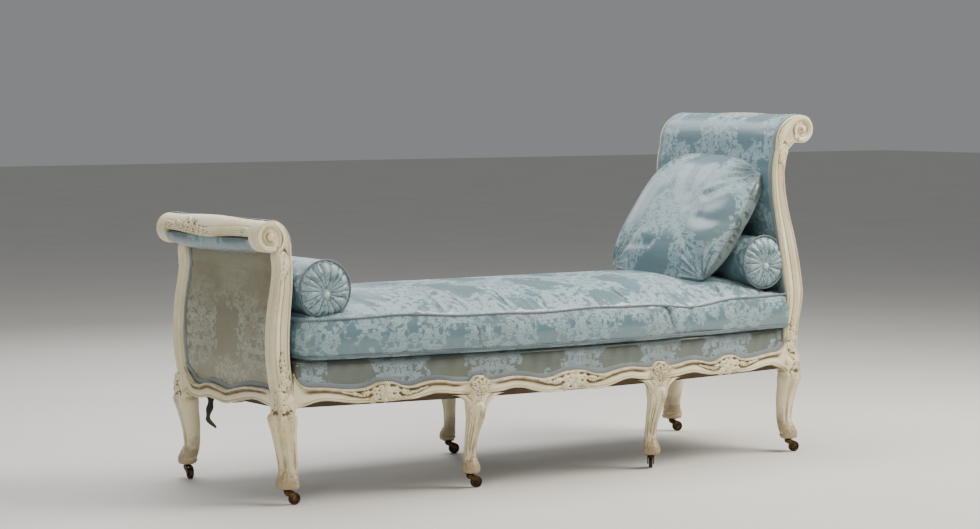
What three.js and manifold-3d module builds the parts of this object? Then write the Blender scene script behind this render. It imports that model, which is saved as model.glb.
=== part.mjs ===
// A painted daybed on seven cabriole legs: two scrolled ends of unequal height, a bowed and serpentine
// front rail, a stuffed seat, a loose squab, two bolsters and a square pillow, all standing on castors.
// Millimetres, +Z up, the length along X (low end at -X), the front facing -Y.
import * as THREE from "three";
import { mergeVertices } from "three/addons/utils/BufferGeometryUtils.js";
import Module from "manifold-3d";

const wasm = await Module();
wasm.setup();

// Driving sizes of the frame
const postSpan = 1812; // centre to centre of the corner posts, along the length
const postDepth = 556; // centre to centre of the corner posts, front to back
const postSize = 54; // side of a corner post
const postRise = 7; // top of a corner post above the rails' top, where the upright stands on it
const midLegSpan = 650; // centre to centre of the two middle front legs
const midPostSize = 56; // side of a middle leg's post
const bowDepth = 90; // how far the front rail swells forward of its ends, in plan
const railSetback = 5; // front rail's face behind the corner posts' face
const joinGap = 0.3; // clearance at every glued joint
const overrun = 5; // how far a cutter reaches past what it cuts

// Rails
const railTop = 305; // height of the upper edge at the bottom of its wave
const railHigh = 40; // upper to lower edge
const railDepth = 42; // front face to back
const railShelfDrop = 22; // rebate that carries the webbing, below the rails' top
const railLip = 12; // thickness of the moulded lip in front of the rebate
const railCoreDrop = 3; // straight lower edge of the unpainted core below the moulded edge
const coreSetback = 14; // core behind the moulded face
const waveHeight = 16; // rise and fall of the serpentine edges
const endRailProud = 4; // end rail's face beyond the corner posts' face
const beadProud = 2;
const coveDepth = 7;
const beadHeight = 10;
const backRailHigh = 44;
const tenonThick = 12;
const tenonHigh = 15;
const tenonLong = 20;
const braceWide = 44;
const braceHigh = 20;

// Legs
const footInsetX = 6; // corner foot inboard of its post, along the length
const footSplayY = 12; // corner foot outboard of its post, front to back
const midFootSetback = 22; // middle front foot behind its post
const legSides = 16;
const cornerAcross = 62; // width of a corner foot
const cornerThick = 48; // thickness of a corner foot along its splay
const midAcross = 46;
const midThick = 42;
const legSweep = 15;
const midSweep = 9; // sweep of the S between ankle and foot
const postDrop = 46; // where the post begins, below the rails' top
const kneeHigh = 17; // the leg's swell into its post
const cartoucheRise = 18; // above the rails' top
const cartoucheWide = 68;
const cartoucheThick = 13;

// Uprights and their scrolls
const uprightDepth = 45; // front to back
const uprightProud = 14; // front face of an upright ahead of its post's centre
const uprightBevel = 4;
const dowelRadius = 8;
const dowelLong = 24;
const voluteTurns = 1.35;
const grooveWide = 13; // moulded groove that runs up the face and into the volute
const grooveDeep = 5;
const crestThick = 22;
const crestBulge = 8; // the crest rail swells towards its middle
const crestFromAngle = -14; // degrees, the crest rail's lower edge on the scroll
const crestToAngle = 87; // degrees, its upper edge
const crestDipAngle = 12; // degrees that its lower edge drops at the middle
const crestDowelRadius = 6;
const crestDowelLong = 16;

// Upholstery
const padProud = 3; // inner pad ahead of the uprights' inner edge
const padThick = 15;
const padSetback = 9; // edge of the pad behind the uprights' face
const padCrown = 5;
const panelSetback = 12; // outer panel inside the uprights' outer edge
const panelThick = 5;
const rollInset = 4;
const rollClear = 1.5; // roll inside the crest rail
const rollClearAngle = 1.5; // degrees, roll below the crest rail's lower edge
const webWide = 60;
const webThick = 2;
const webCross = 8; // straps from front to back
const webAlong = 3; // straps along the length
const deckHigh = 83; // top of the stuffed seat above the rails' top
const deckClear = 6; // deck inside the pads
const deckRound = 12;
const seatGap = 0.5; // clearance of one soft piece on another
const squabThick = 108; // at its piped edge
const squabCrown = 57;
const squabSwell = 9; // swell of the boxing between its two pipings
const squabProud = 8; // squab's front ahead of the rail's face
const squabCorner = 46;
const squabPiping = 3;
const squabLap = 34; // how far the squab laps over the high upright's face
const bolsterRadius = 81;
const bolsterInset = 18; // end of a bolster inside the posts' centre line
const lowBolsterSink = 26; // how deep a bolster presses into the squab's crown
const highBolsterSink = 4;
const bolsterPress = 23; // how far the high bolster is pressed against its end
const bolsterClear = 18; // low bolster from its end
const bolsterDroop = 12; // the gathered centre of a bolster's end, below its axis
const bolsterPleat = 3;
const bolsterPleats = 16;
const bolsterDome = 16;
const buttonRadius = 9;
const buttonHigh = 8;
const buttonDishShare = 0.55; // depth of the dished centre that holds the button, as a share of the dome
const pillowWide = 480;
const pillowHigh = 490;
const pillowThick = 150;
const pillowLeanAngle = 36; // degrees from upright
const pillowTurnAngle = 7; // degrees towards the front
const pillowRollAngle = 4; // degrees its front corner is let down
const pillowAhead = 7; // middle of the pillow ahead of the squab's middle
const pillowPress = 3; // how far the pillow and the high bolster sink into each other
const pillowSink = 43; // how deep the pillow's lowest corner lies under the squab's crown
const pillowDrawnShare = 0.11; // how far its sides are drawn in between the corners

// Castors
const wheelRadius = 16.5;
const wheelWide = 11;
const wheelSides = 16;
const wheelBore = 2.9;
const axleRadius = 2.5;
const castorTrail = 18;
const wheelClear = 3; // above the wheel
const wheelSideClear = 1;
const crownThick = 5;
const crownRadius = 10;
const cheekThick = 3;
const axleBoss = 6;
const runGap = 0.4;
const flangeThick = 3;
const flangeRadius = 18;
const pinRadius = 3.5;
const pinHeadRadius = 5.8;
const pinHeadHigh = 3;

// The two ends
const lowScrollRise = 420; // centre of the scroll above the corner posts
const highScrollRise = 693;
const lowScrollReach = 45; // centre of the scroll outboard of the post's centre
const highScrollReach = 41;
const lowVoluteRadius = 43;
const highVoluteRadius = 43;
const lowOverReach = 60; // half axes of the curve that rolls over the top
const lowOverRise = 75;
const highOverReach = 95;
const highOverRise = 94;
const lowSwell = 38; // the S of the upright's outer edge, outboard of the post's centre
const highSwell = 49;
const lowUprightWide = 52; // widest face of an upright
const highUprightWide = 66;

// Each end: heights and reaches of its scroll, and the S of its uprights.
// Rows of edgeShares: height between post and scroll centre, outer edge as a share of swell, width as a
// share of uprightWide.
const ends = {
  low: {
    side: -1,
    scrollRise: lowScrollRise,
    scrollReach: lowScrollReach,
    voluteRadius: lowVoluteRadius,
    overReach: lowOverReach,
    overRise: lowOverRise,
    swell: lowSwell,
    uprightWide: lowUprightWide,
    edgeShares: [
      [0, 0.66, 1],
      [0.1, 0.84, 1],
      [0.2, 0.97, 1],
      [0.32, 1, 1],
      [0.45, 0.92, 0.99],
      [0.55, 0.78, 0.96],
      [0.65, 0.58, 0.88],
      [0.77, 0.42, 0.79],
      [0.86, 0.5, 0.79],
    ],
    meetAngle: -128,
  },
  high: {
    side: 1,
    scrollRise: highScrollRise,
    scrollReach: highScrollReach,
    voluteRadius: highVoluteRadius,
    overReach: highOverReach,
    overRise: highOverRise,
    swell: highSwell,
    uprightWide: highUprightWide,
    edgeShares: [
      [0, 0.5, 0.8],
      [0.09, 0.6, 0.82],
      [0.143, 0.72, 0.86],
      [0.2, 0.9, 0.92],
      [0.27, 1, 0.98],
      [0.36, 0.82, 1],
      [0.45, 0.55, 0.98],
      [0.54, 0.2, 0.9],
      [0.63, -0.2, 0.8],
      [0.72, -0.49, 0.72],
      [0.81, -0.61, 0.68],
      [0.87, -0.52, 0.68],
      [0.91, -0.29, 0.74],
    ],
    meetAngle: -125,
  },
};

const fullTurn = 360; // degrees

// Sizes that follow from the ones above
const wheelHeight = wheelRadius * Math.cos(Math.PI / wheelSides);
const wheelTop = wheelHeight + wheelRadius;
const crownBottom = wheelTop + wheelClear;
const flangeBottom = crownBottom + crownThick + runGap;
const footBottom = flangeBottom + flangeThick + joinGap;
const postX = postSpan / 2;
const postY = postDepth / 2;
const midX = midLegSpan / 2;
const railBottom = railTop - railHigh;
const railShelf = railTop - railShelfDrop;
const postTop = railTop + postRise;
const postBottom = railTop - postDrop;
const frontLine = postY + postSize / 2 - railSetback;
const endLine = postX + postSize / 2 + endRailProud;
const webBottom = railShelf + joinGap;
const deckBottom = webBottom + webThick + joinGap;
const uprightFace = postY + uprightProud; // face of an upright from the middle of the depth
const innerY = uprightFace - uprightDepth; // inner face of an upright
const deckTop = railTop + deckHigh;
const bolsterLong = postDepth - 2 * bolsterInset;
const squabBottom = deckTop + seatGap;
const squabTop = squabBottom + squabThick;
const squabHalf = postX - postSize / 2 - deckClear;
const squabMid = (postY - railLip - frontLine - squabProud) / 2;

// Paints and cloths
const paint = new THREE.MeshStandardMaterial({ color: 0xe6dfc8, roughness: 0.5 });
const beech = new THREE.MeshStandardMaterial({ color: 0x6b4a30, roughness: 0.8 });
const damask = new THREE.MeshStandardMaterial({ color: 0x9fb6b8, roughness: 0.45 });
const fadedDamask = new THREE.MeshStandardMaterial({ color: 0xa9a890, roughness: 0.6 });
const jute = new THREE.MeshStandardMaterial({ color: 0x8d7450, roughness: 0.95 });
const brass = new THREE.MeshStandardMaterial({ color: 0x8a6d3b, roughness: 0.45, metalness: 0.9 });
const wheelBrown = new THREE.MeshStandardMaterial({ color: 0x2a201a, roughness: 0.6 });

// Geometry helpers

function toSolid(geometry) {
  const bare = new THREE.BufferGeometry();
  bare.setAttribute("position", geometry.getAttribute("position"));
  bare.setIndex(geometry.getIndex());
  const merged = mergeVertices(bare, 1e-3);
  const triVerts = new Uint32Array(merged.index.array);
  const vertProperties = new Float32Array(merged.attributes.position.array);
  const solid = new wasm.Manifold(new wasm.Mesh({ numProp: 3, vertProperties, triVerts }));
  if (solid.volume() >= 0) return solid;
  for (let i = 0; i < triVerts.length; i += 3) {
    [triVerts[i + 1], triVerts[i + 2]] = [triVerts[i + 2], triVerts[i + 1]];
  }
  return new wasm.Manifold(new wasm.Mesh({ numProp: 3, vertProperties, triVerts }));
}

function toGeometry(solid) {
  const mesh = solid.getMesh();
  const points = new Float32Array(mesh.numVert * 3);
  for (let i = 0; i < mesh.numVert; i++) {
    points.set(mesh.vertProperties.subarray(i * mesh.numProp, i * mesh.numProp + 3), i * 3);
  }
  const geometry = new THREE.BufferGeometry();
  geometry.setAttribute("position", new THREE.BufferAttribute(points, 3));
  geometry.setIndex(new THREE.BufferAttribute(new Uint32Array(mesh.triVerts), 1));
  geometry.computeVertexNormals();
  return geometry;
}

// Triangles that fill a flat outline, wound the way the outline runs.
function endFaces(outline, offset) {
  const triangles = THREE.ShapeUtils.triangulateShape(outline.slice(), []).flat();
  if (THREE.ShapeUtils.isClockWise(outline)) triangles.reverse();
  return triangles.map((index) => index + offset);
}

// Skins a list of closed rings of points, and closes the two ends with the flat outlines given.
function loft(rings, firstOutline, lastOutline = firstOutline) {
  const sides = rings[0].length;
  const points = rings.flat().flatMap((p) => [p.x, p.y, p.z]);
  const faces = [];
  for (let r = 0; r + 1 < rings.length; r++) {
    for (let i = 0; i < sides; i++) {
      const a = r * sides + i;
      const b = r * sides + ((i + 1) % sides);
      faces.push(a, b, a + sides, b, b + sides, a + sides);
    }
  }
  faces.push(...endFaces(firstOutline, 0).reverse());
  faces.push(...endFaces(lastOutline, (rings.length - 1) * sides));
  const geometry = new THREE.BufferGeometry();
  geometry.setAttribute("position", new THREE.Float32BufferAttribute(points, 3));
  geometry.setIndex(faces);
  return toSolid(geometry);
}

// Skins rings and closes each end to a single point.
function capsule(startPoint, rings, endPoint) {
  const sides = rings[0].length;
  const points = [startPoint, ...rings.flat(), endPoint].flatMap((p) => [p.x, p.y, p.z]);
  const faces = [];
  const last = rings.length * sides + 1;
  for (let i = 0; i < sides; i++) {
    const next = (i + 1) % sides;
    faces.push(0, 1 + next, 1 + i);
    faces.push(last, last - sides + i, last - sides + next);
    for (let r = 0; r + 1 < rings.length; r++) {
      const a = 1 + r * sides + i;
      const b = 1 + r * sides + next;
      faces.push(a, b, a + sides, b, b + sides, a + sides);
    }
  }
  const geometry = new THREE.BufferGeometry();
  geometry.setAttribute("position", new THREE.Float32BufferAttribute(points, 3));
  geometry.setIndex(faces);
  return toSolid(geometry);
}

function block(low, high) {
  const box = new THREE.BoxGeometry(high[0] - low[0], high[1] - low[1], high[2] - low[2]);
  box.translate((low[0] + high[0]) / 2, (low[1] + high[1]) / 2, (low[2] + high[2]) / 2);
  return toSolid(box);
}

// A cylinder from one height or depth to another along an axis, centred on a point.
function rod(axis, centre, radius, from, to, sides = 12) {
  const geometry = new THREE.CylinderGeometry(radius, radius, to - from, sides);
  geometry.translate(0, (from + to) / 2, 0);
  if (axis === "z") geometry.rotateX(Math.PI / 2);
  if (axis === "x") geometry.rotateZ(-Math.PI / 2);
  geometry.translate(centre[0], centre[1], centre[2]);
  return toSolid(geometry);
}

function smooth(from, to, value) {
  return THREE.MathUtils.smoothstep(value, from, to);
}

function spread(from, to, count) {
  return Array.from({ length: count }, (_, i) => from + ((to - from) * i) / (count - 1));
}

function namedMesh(name, solid, material) {
  const mesh = new THREE.Mesh(toGeometry(solid), material);
  mesh.name = name;
  return mesh;
}

const couch = new THREE.Group();

// The front's plan line: distance of the rail's face from the middle of the depth.
function frontFace(x) {
  return frontLine + bowDepth * Math.cos((Math.PI * x) / postSpan);
}

// Rises of the rails' upper and lower edges, as shares of waveHeight. Each row runs from the middle of a
// bay (share 0) to its leg (share 1): [share, upper edge, lower edge].
const waveToMiddleLegShares = [
  [0, 1.15, 0.15],
  [0.09, 1, 0.2],
  [0.2, 0.3, 0.3],
  [0.32, 0.15, 0.35],
  [0.44, 0.6, 0.7],
  [0.56, 0.85, 1.05],
  [0.68, 0.75, 1],
  [0.78, 0.45, 0.6],
  [0.88, 0.3, 0],
  [1, 0.2, -0.4],
];
const waveToCornerShares = [
  [0, 1.15, 0.15],
  [0.09, 1, 0.2],
  [0.2, 0.3, 0.15],
  [0.36, 0.1, 0.2],
  [0.52, 0.3, 0.6],
  [0.66, 0.6, 0.85],
  [0.78, 0.75, 0.7],
  [0.86, 1, 0.3],
  [0.93, 1.8, -0.1],
  [1, 3, -0.4],
];
const waveAcrossMiddleShares = [
  [0, 1, 0.1],
  [0.12, 0.8, 0.05],
  [0.25, 0.1, -0.2],
  [0.36, -0.1, -0.1],
  [0.48, 0.25, 0.4],
  [0.6, 0.6, 1],
  [0.72, 0.7, 1.1],
  [0.81, 0.5, 0.6],
  [0.9, 0.3, -0.1],
  [1, 0.2, -0.4],
];
// The end rails' wave, from back (-1) to front (1).
const waveAcrossEndShares = [
  [-1, 2, -0.4],
  [-0.9, 0.8, 0],
  [-0.76, -0.8, -0.7],
  [-0.62, -1, -0.9],
  [-0.4, -0.35, -0.4],
  [-0.18, -0.65, -0.6],
  [0.02, -1, -0.85],
  [0.22, -0.4, -0.3],
  [0.45, 0.25, 0.4],
  [0.7, 0.45, 0.85],
  [0.88, 0.7, 0.4],
  [1, 2, -0.4],
];

// The moulded section, as [outward, height] points from the face line: core, bead, cove, bead, lip, rebate.
function railSection(upperRise, lowerRise) {
  const top = railTop + waveHeight * upperRise;
  const bottom = railBottom + waveHeight * lowerRise;
  const coreBottom = Math.min(railBottom - railCoreDrop, bottom - joinGap);
  return [
    [-railDepth, coreBottom],
    [-coreSetback, coreBottom],
    [-coreSetback, bottom],
    [-beadProud, bottom],
    [beadProud, bottom + beadHeight / 2],
    [0, bottom + beadHeight],
    [-coveDepth, bottom + beadHeight + coveDepth],
    [-coveDepth, top - beadHeight - coveDepth],
    [0, top - beadHeight],
    [beadProud, top - beadHeight / 2],
    [-beadProud, top],
    [-railLip, top],
    [-railLip, railShelf],
    [-railDepth, railShelf],
  ];
}

function outlineOf(section) {
  return section.map(([out, high]) => new THREE.Vector2(out, high));
}

// Stations of a bay along X with their rises, from one leg to the other.
function bayStations(from, to, fromWave, toWave) {
  const centre = (from + to) / 2;
  const half = (to - from) / 2;
  const falling = fromWave.slice(1).reverse();
  const back = falling.map(([share, upper, lower]) => [centre - half * share, upper, lower]);
  return [...back, ...toWave.map(([share, upper, lower]) => [centre + half * share, upper, lower])];
}

// A front rail between two legs, with a tenon at each end.
function frontRail(from, to, fromWave, toWave) {
  const stations = bayStations(from + joinGap, to - joinGap, fromWave, toWave);
  const sections = stations.map(([, upper, lower]) => railSection(upper, lower));
  const rings = stations.map(([x], i) =>
    sections[i].map(([out, high]) => new THREE.Vector3(x, -(frontFace(x) + out), high)),
  );
  const rail = loft(rings, outlineOf(sections[0]), outlineOf(sections[sections.length - 1]));
  return rail.add(frontTenon(from, -1, 0)).add(frontTenon(to, 1, 0));
}

// Centre of a front tenon's thickness, measured from the middle of the depth.
function frontTenonY(x) {
  return -(frontFace(x) - coreSetback - tenonThick / 2);
}

function frontTenon(x, way, clearance) {
  const y = frontTenonY(x);
  const reach = x + way * (tenonLong - joinGap + clearance);
  const root = x - way * overrun;
  const half = tenonThick / 2 + clearance;
  const bottom = railShelf - tenonHigh - clearance;
  return block(
    [Math.min(root, reach), y - half, bottom],
    [Math.max(root, reach), y + half, railShelf - beadProud + clearance],
  );
}

function backTenon(x, way, clearance) {
  const half = tenonThick / 2 + clearance;
  const y = postY;
  const reach = x + way * (tenonLong - joinGap + clearance);
  const root = x - way * overrun;
  return block(
    [Math.min(root, reach), y - half, railShelf - tenonHigh - clearance],
    [Math.max(root, reach), y + half, railShelf - beadProud + clearance],
  );
}

function endTenon(side, way, clearance) {
  const half = tenonThick / 2 + clearance;
  const x = side * (endLine - coreSetback - tenonThick);
  const face = way * (postY - postSize / 2);
  const reach = face + way * (tenonLong - joinGap + clearance);
  const root = face - way * overrun;
  return block(
    [x - half, Math.min(root, reach), railShelf - 2 * tenonHigh + tenonThick / 2 - clearance],
    [x + half, Math.max(root, reach), railShelf - tenonHigh - beadProud + clearance],
  );
}

function backRail(from, to) {
  const section = [
    [-railDepth, railTop - backRailHigh],
    [0, railTop - backRailHigh],
    [0, railTop],
    [-railLip, railTop],
    [-railLip, railShelf],
    [-railDepth, railShelf],
  ];
  const face = postY + postSize / 2 - railSetback;
  const rings = [from + joinGap, to - joinGap].map((x) =>
    section.map(([out, high]) => new THREE.Vector3(x, face + out, high)),
  );
  return loft(rings, outlineOf(section)).add(backTenon(from, -1, 0)).add(backTenon(to, 1, 0));
}

function endRail(end) {
  const half = Math.min(postY - postSize / 2, innerY) - joinGap;
  const rings = [];
  const outlines = [];
  for (const [share, upper, lower] of waveAcrossEndShares) {
    const section = railSection(upper, lower);
    outlines.push(outlineOf(section));
    rings.push(section.map(([out, high]) => new THREE.Vector3(end.side * (endLine + out), -half * share, high)));
  }
  const rail = loft(rings, outlines[0], outlines[outlines.length - 1]);
  return rail.add(endTenon(end.side, -1, 0)).add(endTenon(end.side, 1, 0));
}

// Legs

// Rows: height share from foot to knee, then width, thickness and sweep as shares of the foot's own.
const cornerLegShares = [
  [0, 1, 1, 0],
  [0.07, 0.98, 1.05, -0.1],
  [0.16, 0.92, 1, -0.55],
  [0.3, 0.87, 0.9, -1],
  [0.45, 0.92, 0.96, -0.95],
  [0.6, 1, 1.08, -0.75],
  [0.78, 1.12, 1.22, -0.3],
  [1, 1.26, 1.34, 0.1],
];
const midLegShares = [
  [0, 1, 1, 0.6],
  [0.07, 1, 1.05, 0.4],
  [0.16, 0.88, 0.92, -0.3],
  [0.3, 0.76, 0.76, -1],
  [0.45, 0.76, 0.76, -1],
  [0.6, 0.88, 0.92, -0.6],
  [0.78, 1.05, 1.2, 0.2],
  [1, 1.22, 1.4, 0.3],
];

// One leg with its post: a ring of points at each height, round and softly ridged in the leg,
// square in the post.
function leg({ shares, postAt, footAt, postHalf, top, out, across, thick, sweep }) {
  const outAngle = Math.atan2(out.y, out.x);
  const ringAt = (height, centre, width, depth, squareShare, sweepNow) => {
    const ring = [];
    for (let i = 0; i < legSides; i++) {
      const angle = (2 * Math.PI * i) / legSides;
      const world = angle + outAngle;
      const square = postHalf / Math.max(Math.abs(Math.cos(world)), Math.abs(Math.sin(world)));
      const round = 1 / Math.hypot(Math.cos(angle) / (depth / 2), Math.sin(angle) / (width / 2));
      const radius = THREE.MathUtils.lerp(round, square, squareShare);
      const x = centre.x + out.x * sweepNow + radius * Math.cos(world);
      const y = centre.y + out.y * sweepNow + radius * Math.sin(world);
      ring.push(new THREE.Vector3(x, y, height));
    }
    return ring;
  };
  const rings = shares.map(([heightShare, widthShare, depthShare, sweepShare]) => {
    const height = THREE.MathUtils.lerp(footBottom, postBottom - kneeHigh, heightShare);
    const centre = footAt.clone().lerp(postAt, smooth(0, 1, heightShare));
    return ringAt(height, centre, across * widthShare, thick * depthShare, 0, sweep * sweepShare);
  });
  rings.push(ringAt(postBottom, postAt, across, thick, 1, 0), ringAt(top, postAt, across, thick, 1, 0));
  const flat = (ring) => ring.map((p) => new THREE.Vector2(p.x, p.y));
  return loft(rings, flat(rings[0]), flat(rings[rings.length - 1]));
}

function cornerLeg(sideX, sideY) {
  const out = new THREE.Vector2(sideX, sideY).normalize();
  const postAt = new THREE.Vector2(sideX * postX, sideY * postY);
  const footAt = new THREE.Vector2(sideX * (postX - footInsetX), sideY * (postY + footSplayY));
  const body = leg({
    shares: cornerLegShares,
    postAt,
    footAt,
    postHalf: postSize / 2,
    top: postTop,
    out,
    across: cornerAcross,
    thick: cornerThick,
    sweep: legSweep,
  });
  const railEnd = sideX * (postX - postSize / 2);
  const mortise = sideY < 0 ? frontTenon(railEnd, sideX, joinGap) : backTenon(railEnd, sideX, joinGap);
  const socket = rod(
    "z",
    [postAt.x, sideY * (uprightFace - uprightDepth / 2), 0],
    dowelRadius + joinGap,
    postTop - dowelLong - joinGap,
    postTop + overrun,
  );
  return body.subtract(mortise).subtract(endTenon(sideX, sideY, joinGap)).subtract(socket);
}

// Distance of a cartouche's flat back from the middle of the depth.
function cartoucheBack(x) {
  const half = cartoucheWide / 2;
  return Math.max(frontFace(x - half), frontFace(x + half)) - railLip + joinGap;
}

// The small raised shield that rises from a middle leg's knee, ahead of the seat.
function cartouche(x) {
  const half = cartoucheWide / 2;
  const shape = new THREE.Shape();
  shape.moveTo(-midPostSize / 2, postBottom);
  shape.lineTo(midPostSize / 2, postBottom);
  shape.lineTo(midPostSize / 2, railShelf);
  shape.quadraticCurveTo(half, railTop, half * 0.9, railTop + waveHeight * 0.4);
  shape.quadraticCurveTo(half * 0.5, railTop + cartoucheRise, 0, railTop + cartoucheRise);
  shape.quadraticCurveTo(-half * 0.5, railTop + cartoucheRise, -half * 0.9, railTop + waveHeight * 0.4);
  shape.quadraticCurveTo(-half, railTop, -midPostSize / 2, railShelf);
  const plate = new THREE.ExtrudeGeometry(shape, {
    depth: cartoucheThick,
    bevelEnabled: false,
    curveSegments: 5,
  });
  plate.rotateX(Math.PI / 2);
  plate.translate(x, -cartoucheBack(x), 0);
  return toSolid(plate);
}

function middleFrontLeg(sideX) {
  const x = sideX * midX;
  const centreY = -(frontFace(x) + beadProud - midPostSize / 2);
  const body = leg({
    shares: midLegShares,
    postAt: new THREE.Vector2(x, centreY),
    footAt: new THREE.Vector2(x, centreY + midFootSetback),
    postHalf: midPostSize / 2,
    top: railShelf,
    out: new THREE.Vector2(0, -1),
    across: midAcross,
    thick: midThick,
    sweep: midSweep,
  });
  const inner = x - (sideX * midPostSize) / 2;
  const outer = x + (sideX * midPostSize) / 2;
  const waist = block(
    [x - midPostSize / 2, -(cartoucheBack(x) + cartoucheThick + overrun), postBottom],
    [x + midPostSize / 2, -cartoucheBack(x), railTop + cartoucheRise],
  );
  return body
    .add(cartouche(x).intersect(waist))
    .subtract(frontTenon(inner, sideX, joinGap))
    .subtract(frontTenon(outer, -sideX, joinGap));
}

function middleBackLeg() {
  const body = leg({
    shares: midLegShares,
    postAt: new THREE.Vector2(0, postY - railSetback + (postSize - midPostSize) / 2),
    footAt: new THREE.Vector2(0, postY - railSetback),
    postHalf: midPostSize / 2,
    top: railShelf,
    out: new THREE.Vector2(0, 1),
    across: midAcross,
    thick: midThick,
    sweep: midSweep,
  });
  return body
    .subtract(backTenon(-midPostSize / 2, 1, joinGap))
    .subtract(backTenon(midPostSize / 2, -1, joinGap));
}

// Uprights

// Smooth edges of an end's uprights, as points [outboard of the post's centre, height].
function endEdges(end) {
  const bottom = postTop + joinGap;
  const row = ([heightShare, swellShare, wideShare]) => {
    const height = Math.max(bottom, postTop + end.scrollRise * heightShare);
    const outer = end.swell * swellShare;
    return { height, outer, inner: outer - end.uprightWide * wideShare };
  };
  const rows = end.edgeShares.map(row);
  const outerCurve = new THREE.SplineCurve(rows.map((r) => new THREE.Vector2(r.outer, r.height)));
  const innerCurve = new THREE.SplineCurve(rows.map((r) => new THREE.Vector2(r.inner, r.height)));
  const samples = rows.length + 1;
  return { outer: outerCurve.getPoints(samples), inner: innerCurve.getPoints(samples) };
}

// The curve that rolls over the top, from the inner edge to the scroll's crown.
function overCurve(end, inset, fromDegrees, toDegrees, count) {
  const centreOut = end.scrollReach - overShift(end);
  const centreHigh = postTop + end.scrollRise + end.voluteRadius - end.overRise;
  return spread(fromDegrees, toDegrees, count).map((degrees) => {
    const angle = THREE.MathUtils.degToRad(degrees);
    return new THREE.Vector2(
      centreOut + (end.overReach - inset) * Math.cos(angle),
      centreHigh + (end.overRise - inset) * Math.sin(angle),
    );
  });
}

// How far the centre of the rolling curve lies inboard of the scroll's centre.
function overShift(end) {
  const rows = end.edgeShares;
  const [, swellShare, wideShare] = rows[rows.length - 1];
  const neckInner = end.swell * swellShare - end.uprightWide * wideShare;
  return end.scrollReach - end.overReach - neckInner;
}

function arcPoints(centre, radius, fromDegrees, toDegrees, count) {
  return spread(fromDegrees, toDegrees, count).map((degrees) => {
    const angle = THREE.MathUtils.degToRad(degrees);
    return new THREE.Vector2(centre.x + radius * Math.cos(angle), centre.y + radius * Math.sin(angle));
  });
}

function scrollCentre(end) {
  return new THREE.Vector2(end.scrollReach, postTop + end.scrollRise);
}

// Flat outline of an upright: up the inner edge, over the top, round the volute and down the outer edge.
function uprightOutline(end) {
  const { outer, inner } = endEdges(end);
  const over = overCurve(end, 0, 168, 96, 6);
  const volute = arcPoints(scrollCentre(end), end.voluteRadius, 84, end.meetAngle, 13);
  return [...inner, ...over, ...volute, ...outer.slice().reverse()];
}

// Path of the moulded groove: up the middle of the face, then winding into the volute.
function groovePath(end) {
  const { outer, inner } = endEdges(end);
  const straight = outer.map((p, i) => p.clone().lerp(inner[i], 0.5)).slice(1, -1);
  const centre = scrollCentre(end);
  const startRadius = end.voluteRadius * 0.72;
  const endRadius = end.voluteRadius * 0.26;
  const steps = 19;
  const turn = voluteTurns * fullTurn;
  const winding = spread(0, 1, steps).map((share) => {
    const angle = THREE.MathUtils.degToRad(150 - turn * share);
    const radius = THREE.MathUtils.lerp(startRadius, endRadius, share);
    return new THREE.Vector2(centre.x + radius * Math.cos(angle), centre.y + radius * Math.sin(angle));
  });
  return [...straight, ...winding];
}

// A cutter of triangular section that follows the groove path on the face at depth zero.
function grooveCutter(path, wide, deep) {
  const curve = new THREE.SplineCurve(path);
  const count = Math.round(path.length * 0.9);
  const rings = spread(0, 1, count).map((share) => {
    const at = curve.getPoint(share);
    const tangent = curve.getTangent(share);
    const across = new THREE.Vector2(-tangent.y, tangent.x);
    const taper = 1 - 0.45 * smooth(0.6, 1, share);
    const corner = (side, depth) =>
      new THREE.Vector3(at.x + across.x * side * wide * taper, depth, at.y + across.y * side * wide * taper);
    return [
      corner(-0.6, -grooveDeep),
      corner(0.6, -grooveDeep),
      corner(0.32, deep * taper),
      corner(-0.32, deep * taper),
    ];
  });
  const flat = [
    [-1, -1],
    [1, -1],
    [1, 1],
    [-1, 1],
  ].map(([x, y]) => new THREE.Vector2(x, y));
  return loft(rings, flat);
}

// Places an [outboard, height] point of an end in the couch, at a depth y.
function atEnd(end, point, y) {
  return new THREE.Vector3(end.side * (postX + point.x), y, point.y);
}

function upright(end, way) {
  const shape = new THREE.Shape(uprightOutline(end));
  const blank = new THREE.ExtrudeGeometry(shape, {
    depth: uprightDepth - 2 * uprightBevel,
    bevelEnabled: true,
    bevelThickness: uprightBevel,
    bevelSize: uprightBevel / 2,
    bevelOffset: -uprightBevel / 2,
    bevelSegments: 1,
  });
  blank.translate(0, 0, uprightBevel);
  blank.rotateX(Math.PI / 2);
  blank.translate(0, uprightDepth, 0);
  const cutter = grooveCutter(groovePath(end), grooveWide, grooveDeep);
  const faced = toSolid(blank).subtract(cutter);
  const placed = faced
    .scale([end.side, -way, 1])
    .translate([end.side * postX, way * uprightFace, 0]);
  const dowel = rod(
    "z",
    [end.side * postX, way * (uprightFace - uprightDepth / 2), 0],
    dowelRadius,
    postTop - dowelLong,
    postTop + overrun,
  );
  const sockets = crestDowels(end, joinGap);
  return placed.add(dowel).subtract(sockets);
}

// Crest rail, rolled over the outside of the scroll between the two uprights.

function crestDowels(end, clearance) {
  const middle = THREE.MathUtils.degToRad((crestFromAngle + crestToAngle) / 2);
  const radius = end.voluteRadius - crestThick / 2;
  const centre = atEnd(
    end,
    new THREE.Vector2(
      end.scrollReach + radius * Math.cos(middle),
      postTop + end.scrollRise + radius * Math.sin(middle),
    ),
    0,
  );
  const reach = innerY + crestDowelLong + clearance;
  return rod("y", [centre.x, 0, centre.z], crestDowelRadius + clearance, -reach, reach);
}

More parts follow.
